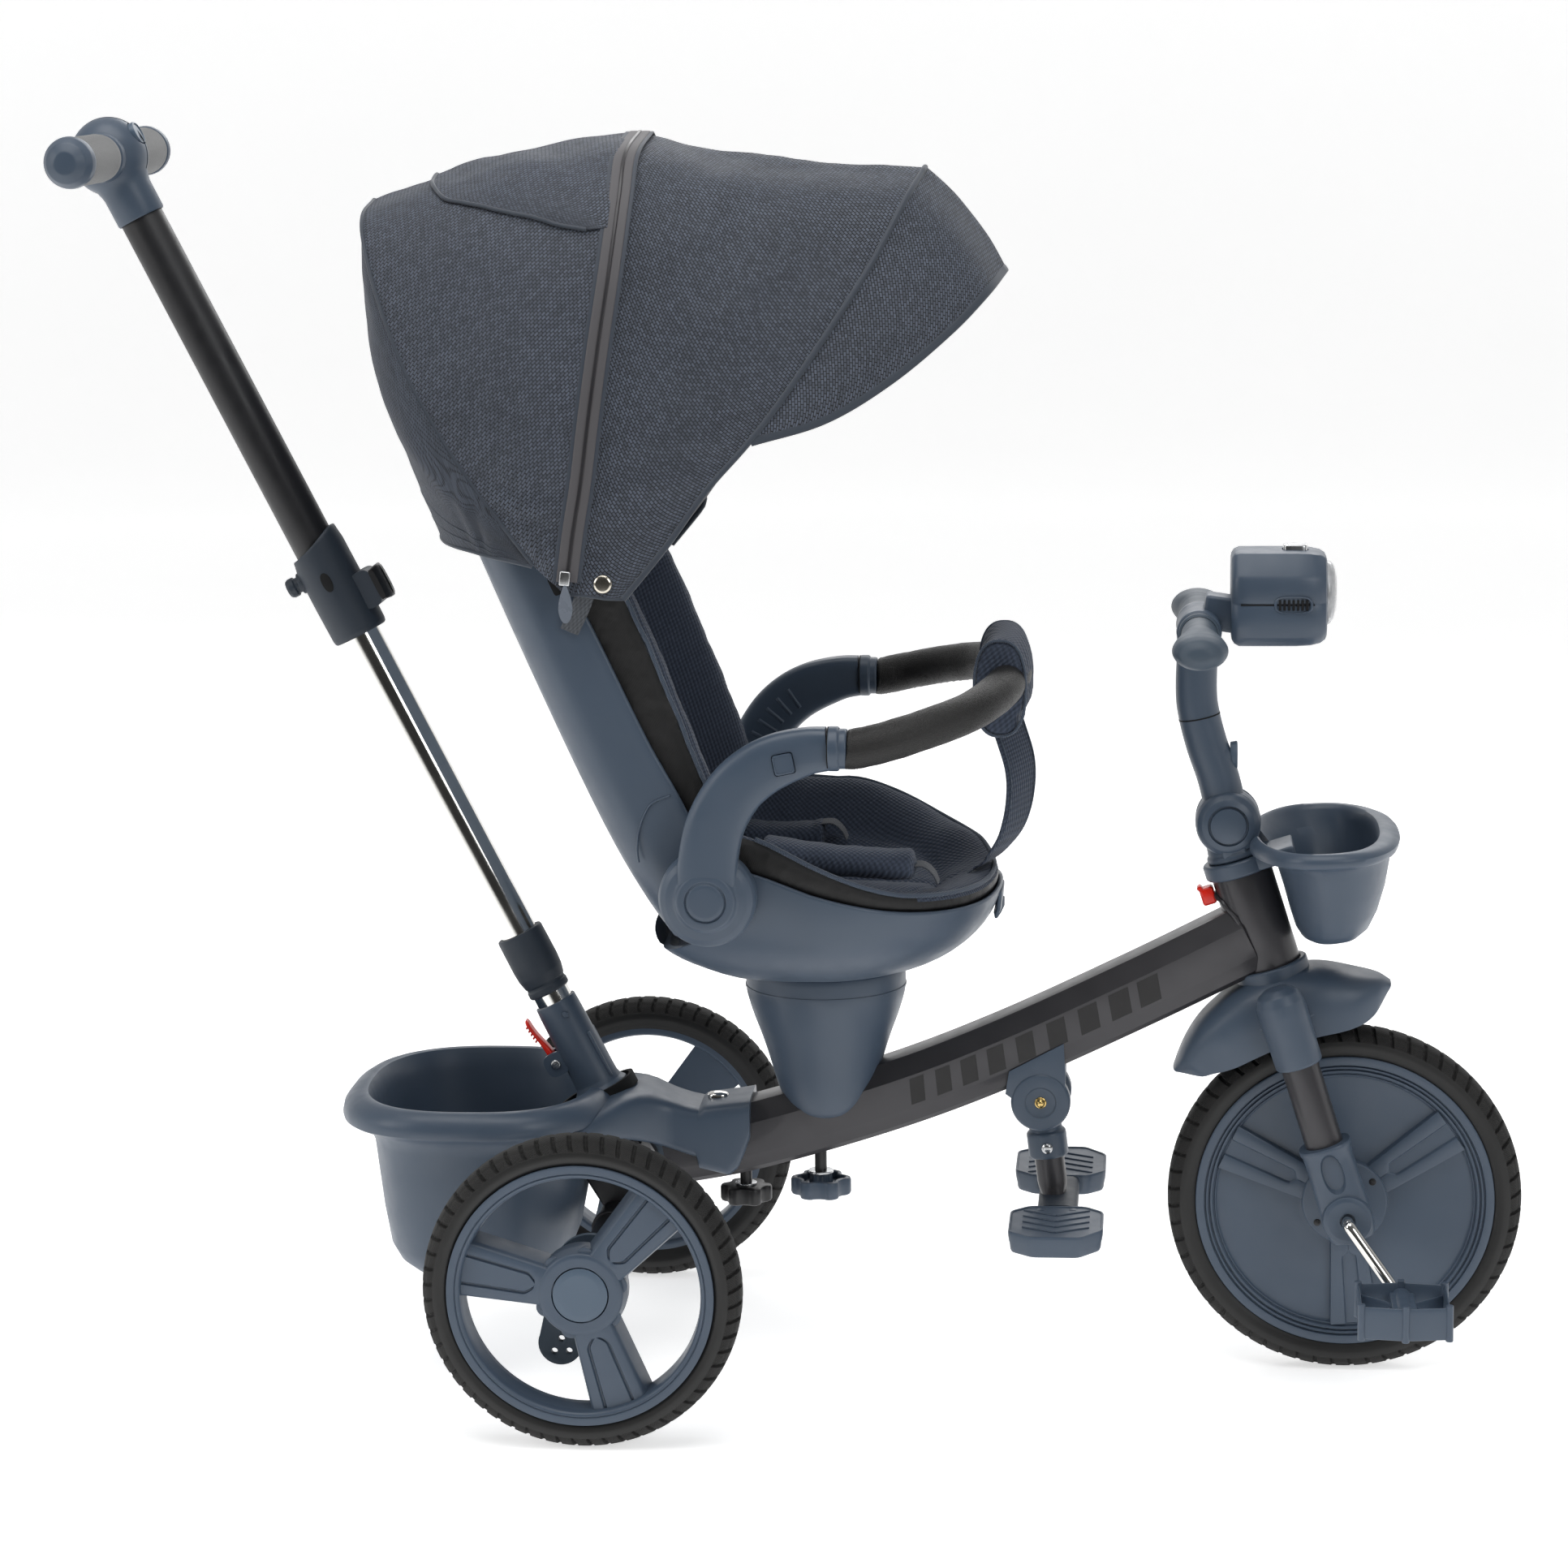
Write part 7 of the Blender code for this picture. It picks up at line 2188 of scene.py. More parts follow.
def make_seat_shell():
    """The bowl under the seat, open for the backrest, with an ear on each side for the recline hinge."""
    wall = 0.0042
    levels = [0.0, 0.012, 0.03, 0.06, 0.10, 0.15, 0.22, 0.30, 0.40, 0.50, 0.60, 0.70, 0.80, 0.90, 0.97]
    rings = [seat_ring(level) for level in levels]
    rings += [seat_ring(1.0, 0.0, lift=-0.0012), seat_ring(1.0, 0.0004), seat_ring(1.0, 0.0012, lift=0.0006),
              seat_ring(1.0, 0.0030, lift=0.0006), seat_ring(1.0, wall, lift=-0.0004)]
    rings += [seat_ring(level, wall) for level in (0.90, 0.75, 0.60, 0.45, 0.35)]
    rings += [seat_ring(level, wall, lift=0.012) for level in (0.16, 0.08)]
    shell = loft("seat_shell_moulding", rings)
    shell_room = back_solid("shell_back_room", BACK_HALF_WIDTH + 0.0012, -0.0675, 0.020, -0.034, 0.20)
    ear_room = box("ear_room", (0.066, 2 * 0.1505, 0.062), RECLINE_PIVOT + Vector((0, 0, 0.006)))
    carve(shell, ear_room, shell_room)
    extras = []
    for side in (-1, 1):
        ear = turned(
            "ear",
            eased(
                [
                    (0.0, 0.1540), (0.0300, 0.1540), (0.0312, 0.1560), (0.0312, 0.1630), (0.0300, 0.1645),
                    (0.0, 0.1645)
                ],
                0.0008, 3
            ),
            across((RECLINE_PIVOT.x, 0, RECLINE_PIVOT.z), side), 80
        )
        carve(ear, back_solid("ear_back_room", BACK_HALF_WIDTH + 0.0012, -0.0675, 0.020, -0.034, 0.20))
        extras.append(ear)
    gather(shell, *extras)
    piece(shell, "slate", "seat", "slate", "seat_shell", smooth=40)
    flap = loft(
        "front_latch",
        [
            [
                Vector((0.1600 + 0.0012 * k + a * 0.6, b, 0.4000 + z)) for a,
                b in rounded(0.0040, 0.0240, 4, 40)
            ] for k,
            z in ((0, -0.0120), (1, -0.0095), (2, 0.0040), (2, 0.0060))
        ]
    )
    piece(flap, "slate", "seat", "slate")
    tail = loft(
        "front_latch_tail",
        [
            [Vector((0.1585 + lean + a * k, b, z)) for a, b in rounded(0.0040, 0.0075, 3, 24)] for z, lean,
            k in ((0.3800, 0.0, 0.35), (0.3840, 0.0010, 0.8), (0.3900, 0.0030, 1.0), (0.3960, 0.0030, 1.0))
        ]
    )
    piece(tail, "slate", "seat", "slate")


def make_arm(label, side):
    """An arm that rises from the hub disc and bends forward to the bumper bar, with its button."""
    y = side * ARM_MIDDLE_Y
    line = [
        (RECLINE_PIVOT.x, y, RECLINE_PIVOT.z), (-0.0612, y, 0.452), (-0.0590, y, 0.4710),
        (-0.0545, y, 0.4900), (-0.0465, y, 0.5070), (-0.0355, y, 0.5220), (-0.0215, y, 0.5340),
        (-0.0070, y, 0.5420), (0.0080, y, 0.5475), (0.0210, y, 0.5508), (0.0348, y, ARM_TIP.z)
    ]
    arm = swept(
        "arm_moulding_" + label, smooth_path(line, 72),
        lambda t: rounded(
            smooth_on(((0.0, 0.0240), (0.40, 0.0228), (0.70, 0.0212), (0.88, 0.0186), (1.0, 0.0170)), t),
            0.0130, 3.2, 64
        )
    )
    collar = turned(
        "collar",
        eased(
            [
                (0.0100, 0.0), (0.0170, 0.0), (0.0176, 0.0012), (0.0176, 0.0075), (0.0168, 0.0086),
                (0.0158, 0.0090), (0.0158, 0.0138), (0.0150, 0.0150), (0.0100, 0.0150)
            ],
            0.0006, 3
        ),
        Matrix.Translation((ARM_TIP.x, y, ARM_TIP.z)) @ Matrix.Rotation(math.radians(90), 4, "Y"), 72
    )
    place = across((RECLINE_PIVOT.x, 0, RECLINE_PIVOT.z), side)
    hub = turned(
        "hub",
        eased(
            [
                (0.0, 0.1652), (0.0380, 0.1652), (0.0388, 0.1668), (0.0385, 0.1790), (0.0365, 0.1836),
                (0.0322, 0.1866), (0.0262, 0.1888), (0.0242, 0.1904), (0.0234, 0.1925), (0.0220, 0.1938),
                (0.0166, 0.1944), (0.0161, 0.1928), (0.0153, 0.1928), (0.0148, 0.1946), (0.0120, 0.1952),
                (0.0, 0.1954)
            ],
            0.0008, 3
        ),
        place, 112
    )
    at = Vector((0.0010, side * 0.1955, 0.5420))
    well = loft("well", [[at + Vector((a * 0.98 - b * 0.20, side * out, a * 0.20 + b * 0.98))
                          for a, b in rounded(0.0087, 0.0087, 8, 48)] for out in (-0.0040, 0.010)])
    socket = rod("socket", (0.0130, y, ARM_TIP.z), (0.070, y, ARM_TIP.z), 0.0105)
    carve(arm, well, socket)
    ribs = []
    for n in range(6):
        t = 0.30 + 0.060 * n
        centre = curve_at(line, t)
        ahead = (curve_at(line, t + 0.01) - centre).normalized()
        over = Vector((-ahead.z, 0, ahead.x))
        ribs.append(rod("vent", centre - over * 0.0095 + Vector((0, -side * 0.0124, 0)),
                        centre + over * 0.0095 + Vector((0, -side * 0.0124, 0)), 0.0018, steps=12))
    gather(arm, hub, collar, *ribs)
    piece(arm, "slate", "seat", "slate", "arm_" + label, smooth=40)
    cap = loft(
        "arm_button_cap_" + label,
        [
            [
                at + Vector(
                    (a * k * 0.98 - b * k * 0.20, side * (-0.0020 + out), a * k * 0.20 + b * k * 0.98)
                ) for a,
                b in rounded(0.0079, 0.0079, 8, 48)
            ] for k,
            out in ((1.0, 0.0), (1.0, 0.0020), (0.965, 0.0026), (0.86, 0.0027), (0.83, 0.0022), (0.4, 0.0022))
        ]
    )
    piece(cap, "slate", "arm_button_" + label, "slate", "arm_button_" + label)
    # A near-black ring at the arm's seam by the bumper: painted shade.
    ring = turned(
        "arm_seam_" + label, [(0.0150, 0.0), (0.0173, 0.0), (0.0173, 0.0009), (0.0150, 0.0009)],
        Matrix.Translation((ARM_TIP.x - 0.0003, y, ARM_TIP.z)) @ Matrix.Rotation(math.radians(90), 4, "Y"),
        56, ring=True
    )
    piece(ring, "gap", "seat", "slate")


ARM_TIP = Vector((0.0350, 0.0, 0.5522))
BUMPER_RADIUS = 0.0158
WRAP_X = 0.1680
WRAP_Z = 0.5790
WRAP_HALF_WIDTH = 0.0550
WRAP_BEND = 1.4  # how fast the wrap falls back from its middle, per metre
BUMPER_HALF = (
    (0.0508, 0.1810, 0.5520), (0.0560, 0.1810, 0.5522), (0.0780, 0.1800, 0.5570), (0.1100, 0.1650, 0.5650),
    (0.1420, 0.1350, 0.5730), (0.1620, 0.0900, 0.5800), (0.1710, 0.0400, 0.5840), (0.1730, 0.0, 0.5850)
)


def bumper_line():
    """The bar's middle line from its left end round the front to its right end."""
    return list(BUMPER_HALF) + [(x, -y, z) for x, y, z in reversed(BUMPER_HALF[:-1])]


def make_bumper():
    """The leatherette bar with a stitched seam, and the pad and strap on it."""
    line = bumper_line()
    path = smooth_path(line, 160)

    def puckered(t):
        wave = noise.noise(Vector((t * 34, 0.4, 1.7))) * 0.00045 + noise.noise(
            Vector((t * 110, 2.4, 0.7))
        ) * 0.0002
        return BUMPER_RADIUS + wave - 0.0012 * (ease((0.012 - t) / 0.012) + ease((t - 0.988) / 0.012))

    bar = tube_along("bumper_cover", path, puckered, 64)
    plugs = [
        rod(
            "plug", (0.0165, side * ARM_MIDDLE_Y, ARM_TIP.z), (0.0560, side * ARM_MIDDLE_Y, ARM_TIP.z), 0.0082
        )
        for side in (-1, 1)
    ]
    gather(bar, *plugs)
    piece(bar, "leather", "bumper", "leatherette", "bumper_bar", smooth=60)
    stitch = []
    for i in range(6, 150, 2):
        if 56 < i < 103:
            continue
        a, b = path[i], path[i + 1]
        drop = Vector((0, 0, -BUMPER_RADIUS))
        stitch.append(rod("stitch", a + drop, a.lerp(b, 0.75) + drop, 0.0006, steps=8))
    seam = gather(*stitch)
    seam.name = "bumper_stitching"
    piece(seam, "black_plastic", "bumper", "leatherette")
    make_wrap(line)
    make_crotch_strap()


def make_wrap(line):
    """The cloth pad folded over the bar: ribbed faces that meet at a piped edge at the back and under it."""
    rings = []
    for i in range(73):
        y = mix(-WRAP_HALF_WIDTH, WRAP_HALF_WIDTH, i / 72)
        middle = Vector((WRAP_X - WRAP_BEND * y * y, 0, WRAP_Z))
        end = max(0.0, 1 - ((WRAP_HALF_WIDTH - abs(y)) / 0.005))
        scale = 1 - 0.14 * end * end
        rib = 0.0006 * math.cos(2 * math.pi * y / 0.0055)
        ring = []
        for a, b in rounded(0.0205 * scale + rib, 0.0400 * scale, 2.5, 72):
            pinch = 1 - 0.20 * math.exp(-(((b + 0.024) / 0.007) ** 2)) * (1 if a > 0 else 0.6)
            soft = 0.0005 * noise.noise(Vector((a * 90, y * 60, b * 60)))
            ring.append(middle + Vector((a * pinch + soft, y, b)))
        rings.append(ring)
    wrap = loft("bumper_pad", rings)
    wrap = plump(wrap, 0.004, 0.0016)
    carve(wrap, tube_along("wrap_room", smooth_path(line, 90), 0.0150, 48))
    piece(wrap, "pad_mesh", "bumper", "pad_fabric", "bumper_wrap", smooth=70)
    for side, label in SIDES:
        loop = []
        for a, b in rounded(0.0206, 0.0388, 2.5, 56):
            loop.append(Vector((WRAP_X - WRAP_BEND * 0.0535**2 + a, side * 0.0538, WRAP_Z + b)))
        piping = tube_along("wrap_piping_" + label, loop + loop[:1], 0.0013, 10)
        piece(piping, "piping", "bumper", "pad_fabric")


def make_crotch_strap():
    """The padded strap from the bar down to the seat."""
    line = (
        (0.1660, 0, 0.5480), (0.1715, 0, 0.5320), (0.1778, 0, 0.5100), (0.1790, 0, 0.4900),
        (0.1760, 0, 0.4680), (0.1690, 0, 0.4490), (0.1560, 0, 0.4320), (0.1420, 0, 0.4220)
    )
    path = smooth_path(line, 56)
    aside = Vector((0.50, 0.84, 0.20)).normalized()
    strap = ribbon("crotch_strap_pad", path, 0.0440, 0.0034, lambda t: aside, 0.0006)
    piece(strap, "pad_mesh", "seat", "pad_fabric", "crotch_strap")
    stitches = []
    for across_y in (-0.0185, 0.0185):
        edge = [p + aside * across_y + Vector((0.0018, -0.0011, 0.0004)) for p in path]
        stitches.append(tube_along("stitch_row", edge, 0.0006, 8))
    row = gather(*stitches)
    row.name = "crotch_strap_stitching"
    piece(row, "piping", "seat", "pad_fabric")
    for obj in (strap, row):
        obj.parent = None
        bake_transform(obj)


def plump(obj, cap, voxel=0.003, pressure=3.0, frames=14):
    """Swells a soft piece by a short cloth simulation with pressure; no point moves more than cap."""
    remesh = obj.modifiers.new("even skin", "REMESH")
    remesh.mode = "VOXEL"
    remesh.voxel_size = voxel
    bpy.context.view_layer.update()
    settle(obj)
    before = [v.co.copy() for v in obj.data.vertices]
    cloth = obj.modifiers.new("swell", "CLOTH")
    cloth.settings.use_pressure = True
    cloth.settings.uniform_pressure_force = pressure
    cloth.settings.effector_weights.gravity = 0.0
    cloth.settings.quality = 4
    cloth.settings.tension_stiffness = 30
    cloth.settings.compression_stiffness = 30
    cloth.point_cache.frame_start = 1
    cloth.point_cache.frame_end = frames
    for frame_number in range(1, frames + 1):
        bpy.context.scene.frame_set(frame_number)
    graph = bpy.context.evaluated_depsgraph_get()
    moved = [v.co.copy() for v in obj.evaluated_get(graph).data.vertices]
    obj.modifiers.clear()
    bpy.context.scene.frame_set(1)
    for vertex, start, end in zip(obj.data.vertices, before, moved):
        step = end - start
        if step.length > cap:
            step = step.normalized() * cap
        vertex.co = start + step
    return obj


# ---------------------------------------------------------------- backrest and seat cushions


def back_point(up, ahead, y=0.0):
    """A point of the backrest, from its pivot: up along it and ahead of it."""
    s, c = math.sin(RECLINE_TILT), math.cos(RECLINE_TILT)
    return RECLINE_PIVOT + Vector((-s * up + c * ahead, y, c * up + s * ahead))


BACK_STATIONS = ((-0.026, -0.052, -0.010, 0.97), (0.010, -0.0575, 0.004, 1.0), (0.060, -0.0620, 0.0105, 1.0),
                 (0.130, -0.0630, 0.0070, 1.0), (0.240, -0.0610, 0.0062, 1.0), (0.345, -0.0575, 0.0010, 0.99),
                 (0.420, -0.0540, -0.0120, 0.94), (0.440, -0.0480, -0.0260, 0.86))


def station(table, place, column):
    """The value of one of the table's columns at this place."""
    return smooth_on([(row[0], row[column]) for row in table], place)


def channel(up, rear, front, narrow):
    """A U across the backrest: round rear corners, straight sides and a rolled front edge."""
    half = BACK_HALF_WIDTH * narrow
    wall = 0.0042
    outer = [(front - 0.0012, half), (front - 0.0030, half + 0.0004)]
    outer += [(mix(front - 0.008, rear + 0.034, k / 5), half * mix(1.0, 0.997, k / 5)) for k in range(6)]
    for k in range(1, 11):
        angle = math.pi / 2 * k / 10
        outer.append((rear + 0.034 - 0.034 * math.sin(angle), half * 0.997 - 0.052 * (1 - math.cos(angle))))
    outer += [(rear - 0.0020, half * 0.40), (rear - 0.0030, 0.0)]
    edge = [(front - 0.0002, half - 0.0010), (front, half - 0.0024), (front - 0.0008, half - 0.0038)]
    inner = [
        (
            max(a, rear + 0.0015) + (wall if a < rear + 0.033 else 0.0) * min(1.0, (rear + 0.036 - a) / 0.02),
            max(y - wall, 0.0)
        ) for a,
        y in outer[1:-1]
    ]
    inner.append((rear + wall - 0.0030, 0.0))
    half_out = edge[::-1] + outer
    whole_outer = half_out + [(a, -y) for a, y in reversed(half_out[:-1])]
    whole_inner = [(a, -y) for a, y in inner] + [(a, y) for a, y in reversed(inner[:-1])]
    return [back_point(up, a, y) for a, y in whole_outer + whole_inner]


def make_back_shell():
    """The backrest's shell with the line of its inlay, a slot for the canopy, and the recline lever."""
    rings = []
    for i in range(57):
        up = mix(-0.026, 0.440, i / 56)
        rings.append(channel(up, *(station(BACK_STATIONS, up, column) for column in (1, 2, 3))))
    shell = loft("back_shell_moulding", rings)
    panel = []
    for side in (-1, 1):
        outline = ((0.045, -0.0420), (0.055, -0.0385), (0.070, -0.0290), (0.083, -0.0130), (0.083, 0.0040))
        line = [back_point(up, a, side * (BACK_HALF_WIDTH + 0.0002)) for up, a in outline]
        panel.append(tube_along("inlay_line", smooth_path(line, 60), 0.0009, 8))
    gather(shell, *panel)
    piece(shell, "slate", "backrest", "slate", "back_shell", smooth=45)
    for side, label in SIDES:
        # Near-black patches in the slots where the canopy enters the back shell: painted shade.
        slot = loft(
            "shell_slot_" + label,
            [
                [
                    back_point(0.272 + b * k, -0.0045 + a * k, side * (0.1488 + out)) for a,
                    b in rounded(0.0048, 0.0080, 6, 32)
                ] for k,
                out in ((1.0, 0.0), (1.0, 0.0006), (0.9, 0.0008))
            ]
        )
        piece(slot, "gap", "backrest", "slate")
    rings = []
    for k, out in ((0.90, -0.0586), (1.0, -0.0600), (1.0, -0.0690), (0.96, -0.0708), (0.86, -0.0716)):
        rings.append([back_point(0.012 + b * k, out, a * k) for a, b in rounded(0.0250, 0.0130, 4, 56)])
    lever = loft("recline_lever_grip", rings)
    ribs = [
        box("rib", (0.0014, 0.0400, 0.0022), back_point(0.004 + 0.0045 * n, -0.0716), -RECLINE_TILT, 0.0005)
        for n in range(5)
    ]
    gather(lever, *ribs)
    piece(lever, "black_plastic", "recline_lever", "black_plastic", "recline_lever")


BACK_PAD = ((0.022, -0.046, 0.020), (0.060, -0.0530, 0.030), (0.130, -0.0540, 0.036), (0.240, -0.0520, 0.040),
            (0.345, -0.0485, 0.034), (0.405, -0.0450, 0.020))


def pad_front(up, y):
    """How far ahead the back pad's face is: side bolsters, channels beside them, crowned panels."""
    depth = station(BACK_PAD, up, 2)
    half = (BACK_HALF_WIDTH - 0.0065) * (1.0 - 0.10 * ease((up - 0.36) / 0.04))
    reach = abs(y) / half
    bolster = depth + 0.003
    centre = -0.026 - 0.010 * ease((up - 0.20) / 0.2)
    face = mix(centre, bolster, ease((reach - 0.52) / 0.34)) - 0.0055 * ease((reach - 0.93) / 0.07)
    face -= 0.0045 * math.exp(-(((reach - 0.52) / 0.035) ** 2))
    seams = min(abs(up - s) for s in (0.115, 0.205, 0.295))
    face -= 0.0042 * math.exp(-((seams / 0.0050) ** 2)) * (1 - ease((reach - 0.48) / 0.06))
    puff = 0.0035 * abs(math.sin(math.pi * (up - 0.025) / 0.09)) * (1 - ease((reach - 0.48) / 0.06))
    crease = 0.0010 * noise.noise(Vector((up * 42, y * 30, 3.1))) + 0.0006 * noise.noise(
        Vector((up * 110, y * 80, 8.1))
    )
    return face + puff + crease


def make_back_pad():
    """The back cushion, its satin sides and the piping along its front edges."""
    rings = []
    for i in range(109):
        t = i / 108
        up = mix(0.024, 0.4050, t)
        rear = station(BACK_PAD, up, 1)
        half = (BACK_HALF_WIDTH - 0.0072) * (1.0 - 0.10 * ease((up - 0.36) / 0.04))
        close = 1 - 0.10 * (ease((0.03 - t) / 0.03) + ease((t - 0.965) / 0.035))
        ring = []
        for k in range(81):
            y = half * close * math.sin(mix(-math.pi / 2, math.pi / 2, k / 80))
            ring.append(back_point(up, pad_front(up, y) - 0.10 * (1 - close), y))
        side_ring = []
        for k in range(1, 9):
            a = mix(pad_front(up, half), rear + 0.020, k / 8)
            side_ring.append(back_point(up, a, half * close + 0.0012 * math.sin(math.pi * k / 8)))
        back_ring = [
            back_point(up, rear + 0.006, half * 0.92), back_point(up, rear, half * 0.5),
            back_point(up, rear, -half * 0.5), back_point(up, rear + 0.006, -half * 0.92)
        ]
        other_side = [Vector((p.x, -p.y, p.z)) for p in reversed(side_ring)]
        rings.append(ring + side_ring + back_ring + other_side)
    pad = loft("back_cushion", rings)
    piece(pad, "pad_mesh", "backrest", "pad_fabric", "back_pad", smooth=75)
    pad.data.materials.append(MATERIALS["satin"])
    lean = Vector((math.cos(RECLINE_TILT), 0, math.sin(RECLINE_TILT)))
    for face in pad.data.polygons:
        if abs(face.normal.y) > 0.80 and abs(face.center.y) > 0.115 or face.normal.dot(lean) < -0.3:
            face.material_index = 1
    for side, label in SIDES:
        line = []
        for i in range(61):
            up = mix(0.045, 0.402, i / 60)
            half = (BACK_HALF_WIDTH - 0.0080) * (1.0 - 0.10 * ease((up - 0.36) / 0.04))
            line.append(back_point(up, pad_front(up, half) + 0.0016, side * half))
        piping = tube_along("back_piping_" + label, line, 0.0019, 14)
        piece(piping, "piping", "backrest", "pad_fabric", smooth=70)


FAR_BOLSTER = (
    (-0.118, 0.430), (-0.0555, 0.450), (-0.010, 0.4620), (0.0295, 0.4670), (0.0661, 0.4580), (0.1164, 0.4385),
    (0.170, 0.4240)
)


def cushion_rim(x, y):
    """Height of the cushion's upper edge, which is puffed up more along the left side."""
    low = smooth_on(RIM_TABLE, x) + 0.012 + 0.016 * ease((0.100 - x) / 0.14)
    return mix(low, max(low, smooth_on(FAR_BOLSTER, x)), ease((y - 0.02) / 0.06))


def seat_top(x, y, edge):
    """Height of the seat cushion's face: a bolster round the rim, a sunk middle, T-shaped channels."""
    ground = 0.4085 + 0.004 * ease((0.11 - x) / 0.12)
    half_round = 0.022 * math.sin(math.pi * min(max(edge / 0.046, 0.0), 1.0)) ** 0.8
    reach = mix(0.052, 0.085, ease((y - 0.02) / 0.06))
    shoulder = mix(cushion_rim(x, y), ground, ease(edge / reach)) + half_round * 0.20
    lobes = 0.0060 * math.exp(-(((abs(y) - 0.045) / 0.030) ** 2)) * ease((edge - 0.03) / 0.03)
    grooves = math.exp(-((y / 0.0042) ** 2)) * ease((x - 0.020) / 0.01) + math.exp(
        -(((x - 0.018) / 0.0045) ** 2)
    ) * ease((0.075 - abs(y)) / 0.01)
    ring_groove = 0.0045 * math.exp(-(((edge - 0.050) / 0.0045) ** 2))
    crease = 0.0009 * noise.noise(Vector((x * 50, y * 42, 1.3))) + 0.0005 * noise.noise(
        Vector((x * 130, y * 120, 5.3))
    )
    return shoulder + lobes - 0.0040 * grooves * ease((edge - 0.02) / 0.02) - ring_groove + crease


def make_seat_pad():
    """The seat cushion: satin sides, a puffed rim and a sewn face, with piping along the rim."""
    inset = 0.0056
    rings = [[Vector((p.x, p.y, SEAT_FLOOR_Z + 0.0215)) for p in seat_ring(0.10, inset + 0.006)]]
    rings += [seat_ring(level, inset + 0.001) for level in (0.40, 0.60, 0.80, 0.95)]
    for share, extra in ((0.15, -0.0010), (0.40, -0.0018), (0.70, -0.0014), (0.95, 0.0006)):
        ring = seat_ring(1.0, inset + extra)
        rings.append([Vector((p.x, p.y, mix(p.z, cushion_rim(p.x, p.y), share))) for p in ring])
    outline = seat_ring(1.0, inset)
    centre = Vector((0.022, 0, 0))
    for k in range(1, 31):
        shrink = k / 30
        ring = []
        for p in outline:
            flat = Vector((p.x, p.y, 0))
            reach = (flat - centre).length
            edge = reach * shrink
            q = flat.lerp(centre, shrink * 0.985)
            ring.append(Vector((q.x, q.y, seat_top(q.x, q.y, edge))))
        rings.append(ring)
    pad = loft("seat_cushion", rings)
    room = back_solid("seat_back_room", BACK_HALF_WIDTH + 0.0015, -0.064, -0.014, -0.040, 0.20)
    carve(pad, room)
    piece(pad, "pad_mesh", "seat", "pad_fabric", "seat_pad", smooth=75)
    pad.data.materials.append(MATERIALS["satin"])
    for face in pad.data.polygons:
        if face.normal.z < 0.55 and math.hypot((face.center.x - 0.017) / 0.134, face.center.y / 0.150) > 0.90:
            face.material_index = 1
    line = [
        Vector((p.x, p.y, cushion_rim(p.x, p.y) + 0.0005))
        for p in seat_ring(1.0, inset + 0.0014) if p.x > -0.030
    ]
    right = sorted([p for p in line if p.y < 0], key=lambda p: math.atan2(p.y, p.x - 0.02))
    left = sorted([p for p in line if p.y >= 0], key=lambda p: math.atan2(p.y, p.x - 0.02))
    piping = tube_along("seat_piping", right + left, 0.0020, 14)
    piece(piping, "piping", "seat", "pad_fabric", smooth=70)
    make_belts()


def make_belts():
    """The two rolled belt pads that lie on the seat, each with the end of its strap."""
    for side, label in SIDES:
        y = side * 0.100 if side < 0 else 0.078
        rings = []
        for i in range(49):
            t = i / 48
            x = mix(-0.026, 0.099, t) if side < 0 else mix(-0.058, 0.012, t)
            z = (mix(0.4560, 0.4440, t) if side < 0 else 0.4340) - 0.003 * math.sin(math.pi * t)
            end = math.sqrt(max(0.02, 1 - max(0.0, abs(2 * t - 1) - 0.90) ** 2 / 0.0102))
            soft = 0.0010 * noise.noise(Vector((t * 9, side * 2.0, 4.0)))
            rings.append(
                [Vector((x, y + b * end, z + a * end + soft)) for a, b in rounded(0.0118, 0.0200, 2.4, 48)]
            )
        roll = loft("belt_pad_" + label, rings)
        piece(roll, "pad_mesh", "seat", "pad_fabric", smooth=75)
        start = 0.090 if side < 0 else 0.004
        path = smooth_path([Vector((start + ahead, y, height)) for ahead, height in
                            ((0.0, 0.4430), (0.014, 0.4440), (0.022, 0.4380), (0.026, 0.4300))], 24)
        strap = ribbon("belt_strap_" + label, path, 0.0250, 0.0018, lambda t: (0, 1, 0))
        piece(strap, "strap", "seat", "pad_fabric")


# ---------------------------------------------------------------- canopy

VISOR_EDGE = (
    (0.1664, 0.0, 0.9121), (0.1530, 0.055, 0.8960), (0.1250, 0.085, 0.8680), (0.0800, 0.110, 0.8320),
    (0.0300, 0.130, 0.8035), (-0.0265, 0.1465, 0.7880)
)
FRONT_BOW = (
    (0.1037, 0.0, 0.9919), (0.0900, 0.055, 0.9670), (0.0640, 0.090, 0.9180), (0.0290, 0.117, 0.8640),
    (-0.0030, 0.135, 0.8180), (-0.0275, 0.1465, 0.7870), (-0.0600, 0.158, 0.7510), (-0.0900, 0.165, 0.7100),
    (-0.1250, 0.1700, 0.6680)
)
ZIP_BOW = (
    (-0.1257, 0.0, 1.0210), (-0.1290, 0.070, 1.0060), (-0.1290, 0.115, 0.9740), (-0.1340, 0.146, 0.9200),
    (-0.1420, 0.162, 0.8620), (-0.1500, 0.169, 0.8050), (-0.1560, 0.1715, 0.7600), (-0.1630, 0.172, 0.7200),
    (-0.1700, 0.172, 0.6720)
)
REAR_BOW = (
    (-0.3430, 0.0, 0.9700), (-0.3400, 0.070, 0.9600), (-0.3320, 0.105, 0.9350), (-0.3160, 0.130, 0.8900),
    (-0.2940, 0.148, 0.8400), (-0.2680, 0.158, 0.7950), (-0.2430, 0.164, 0.7580), (-0.2200, 0.168, 0.7280),
    (-0.1950, 0.170, 0.6950)
)
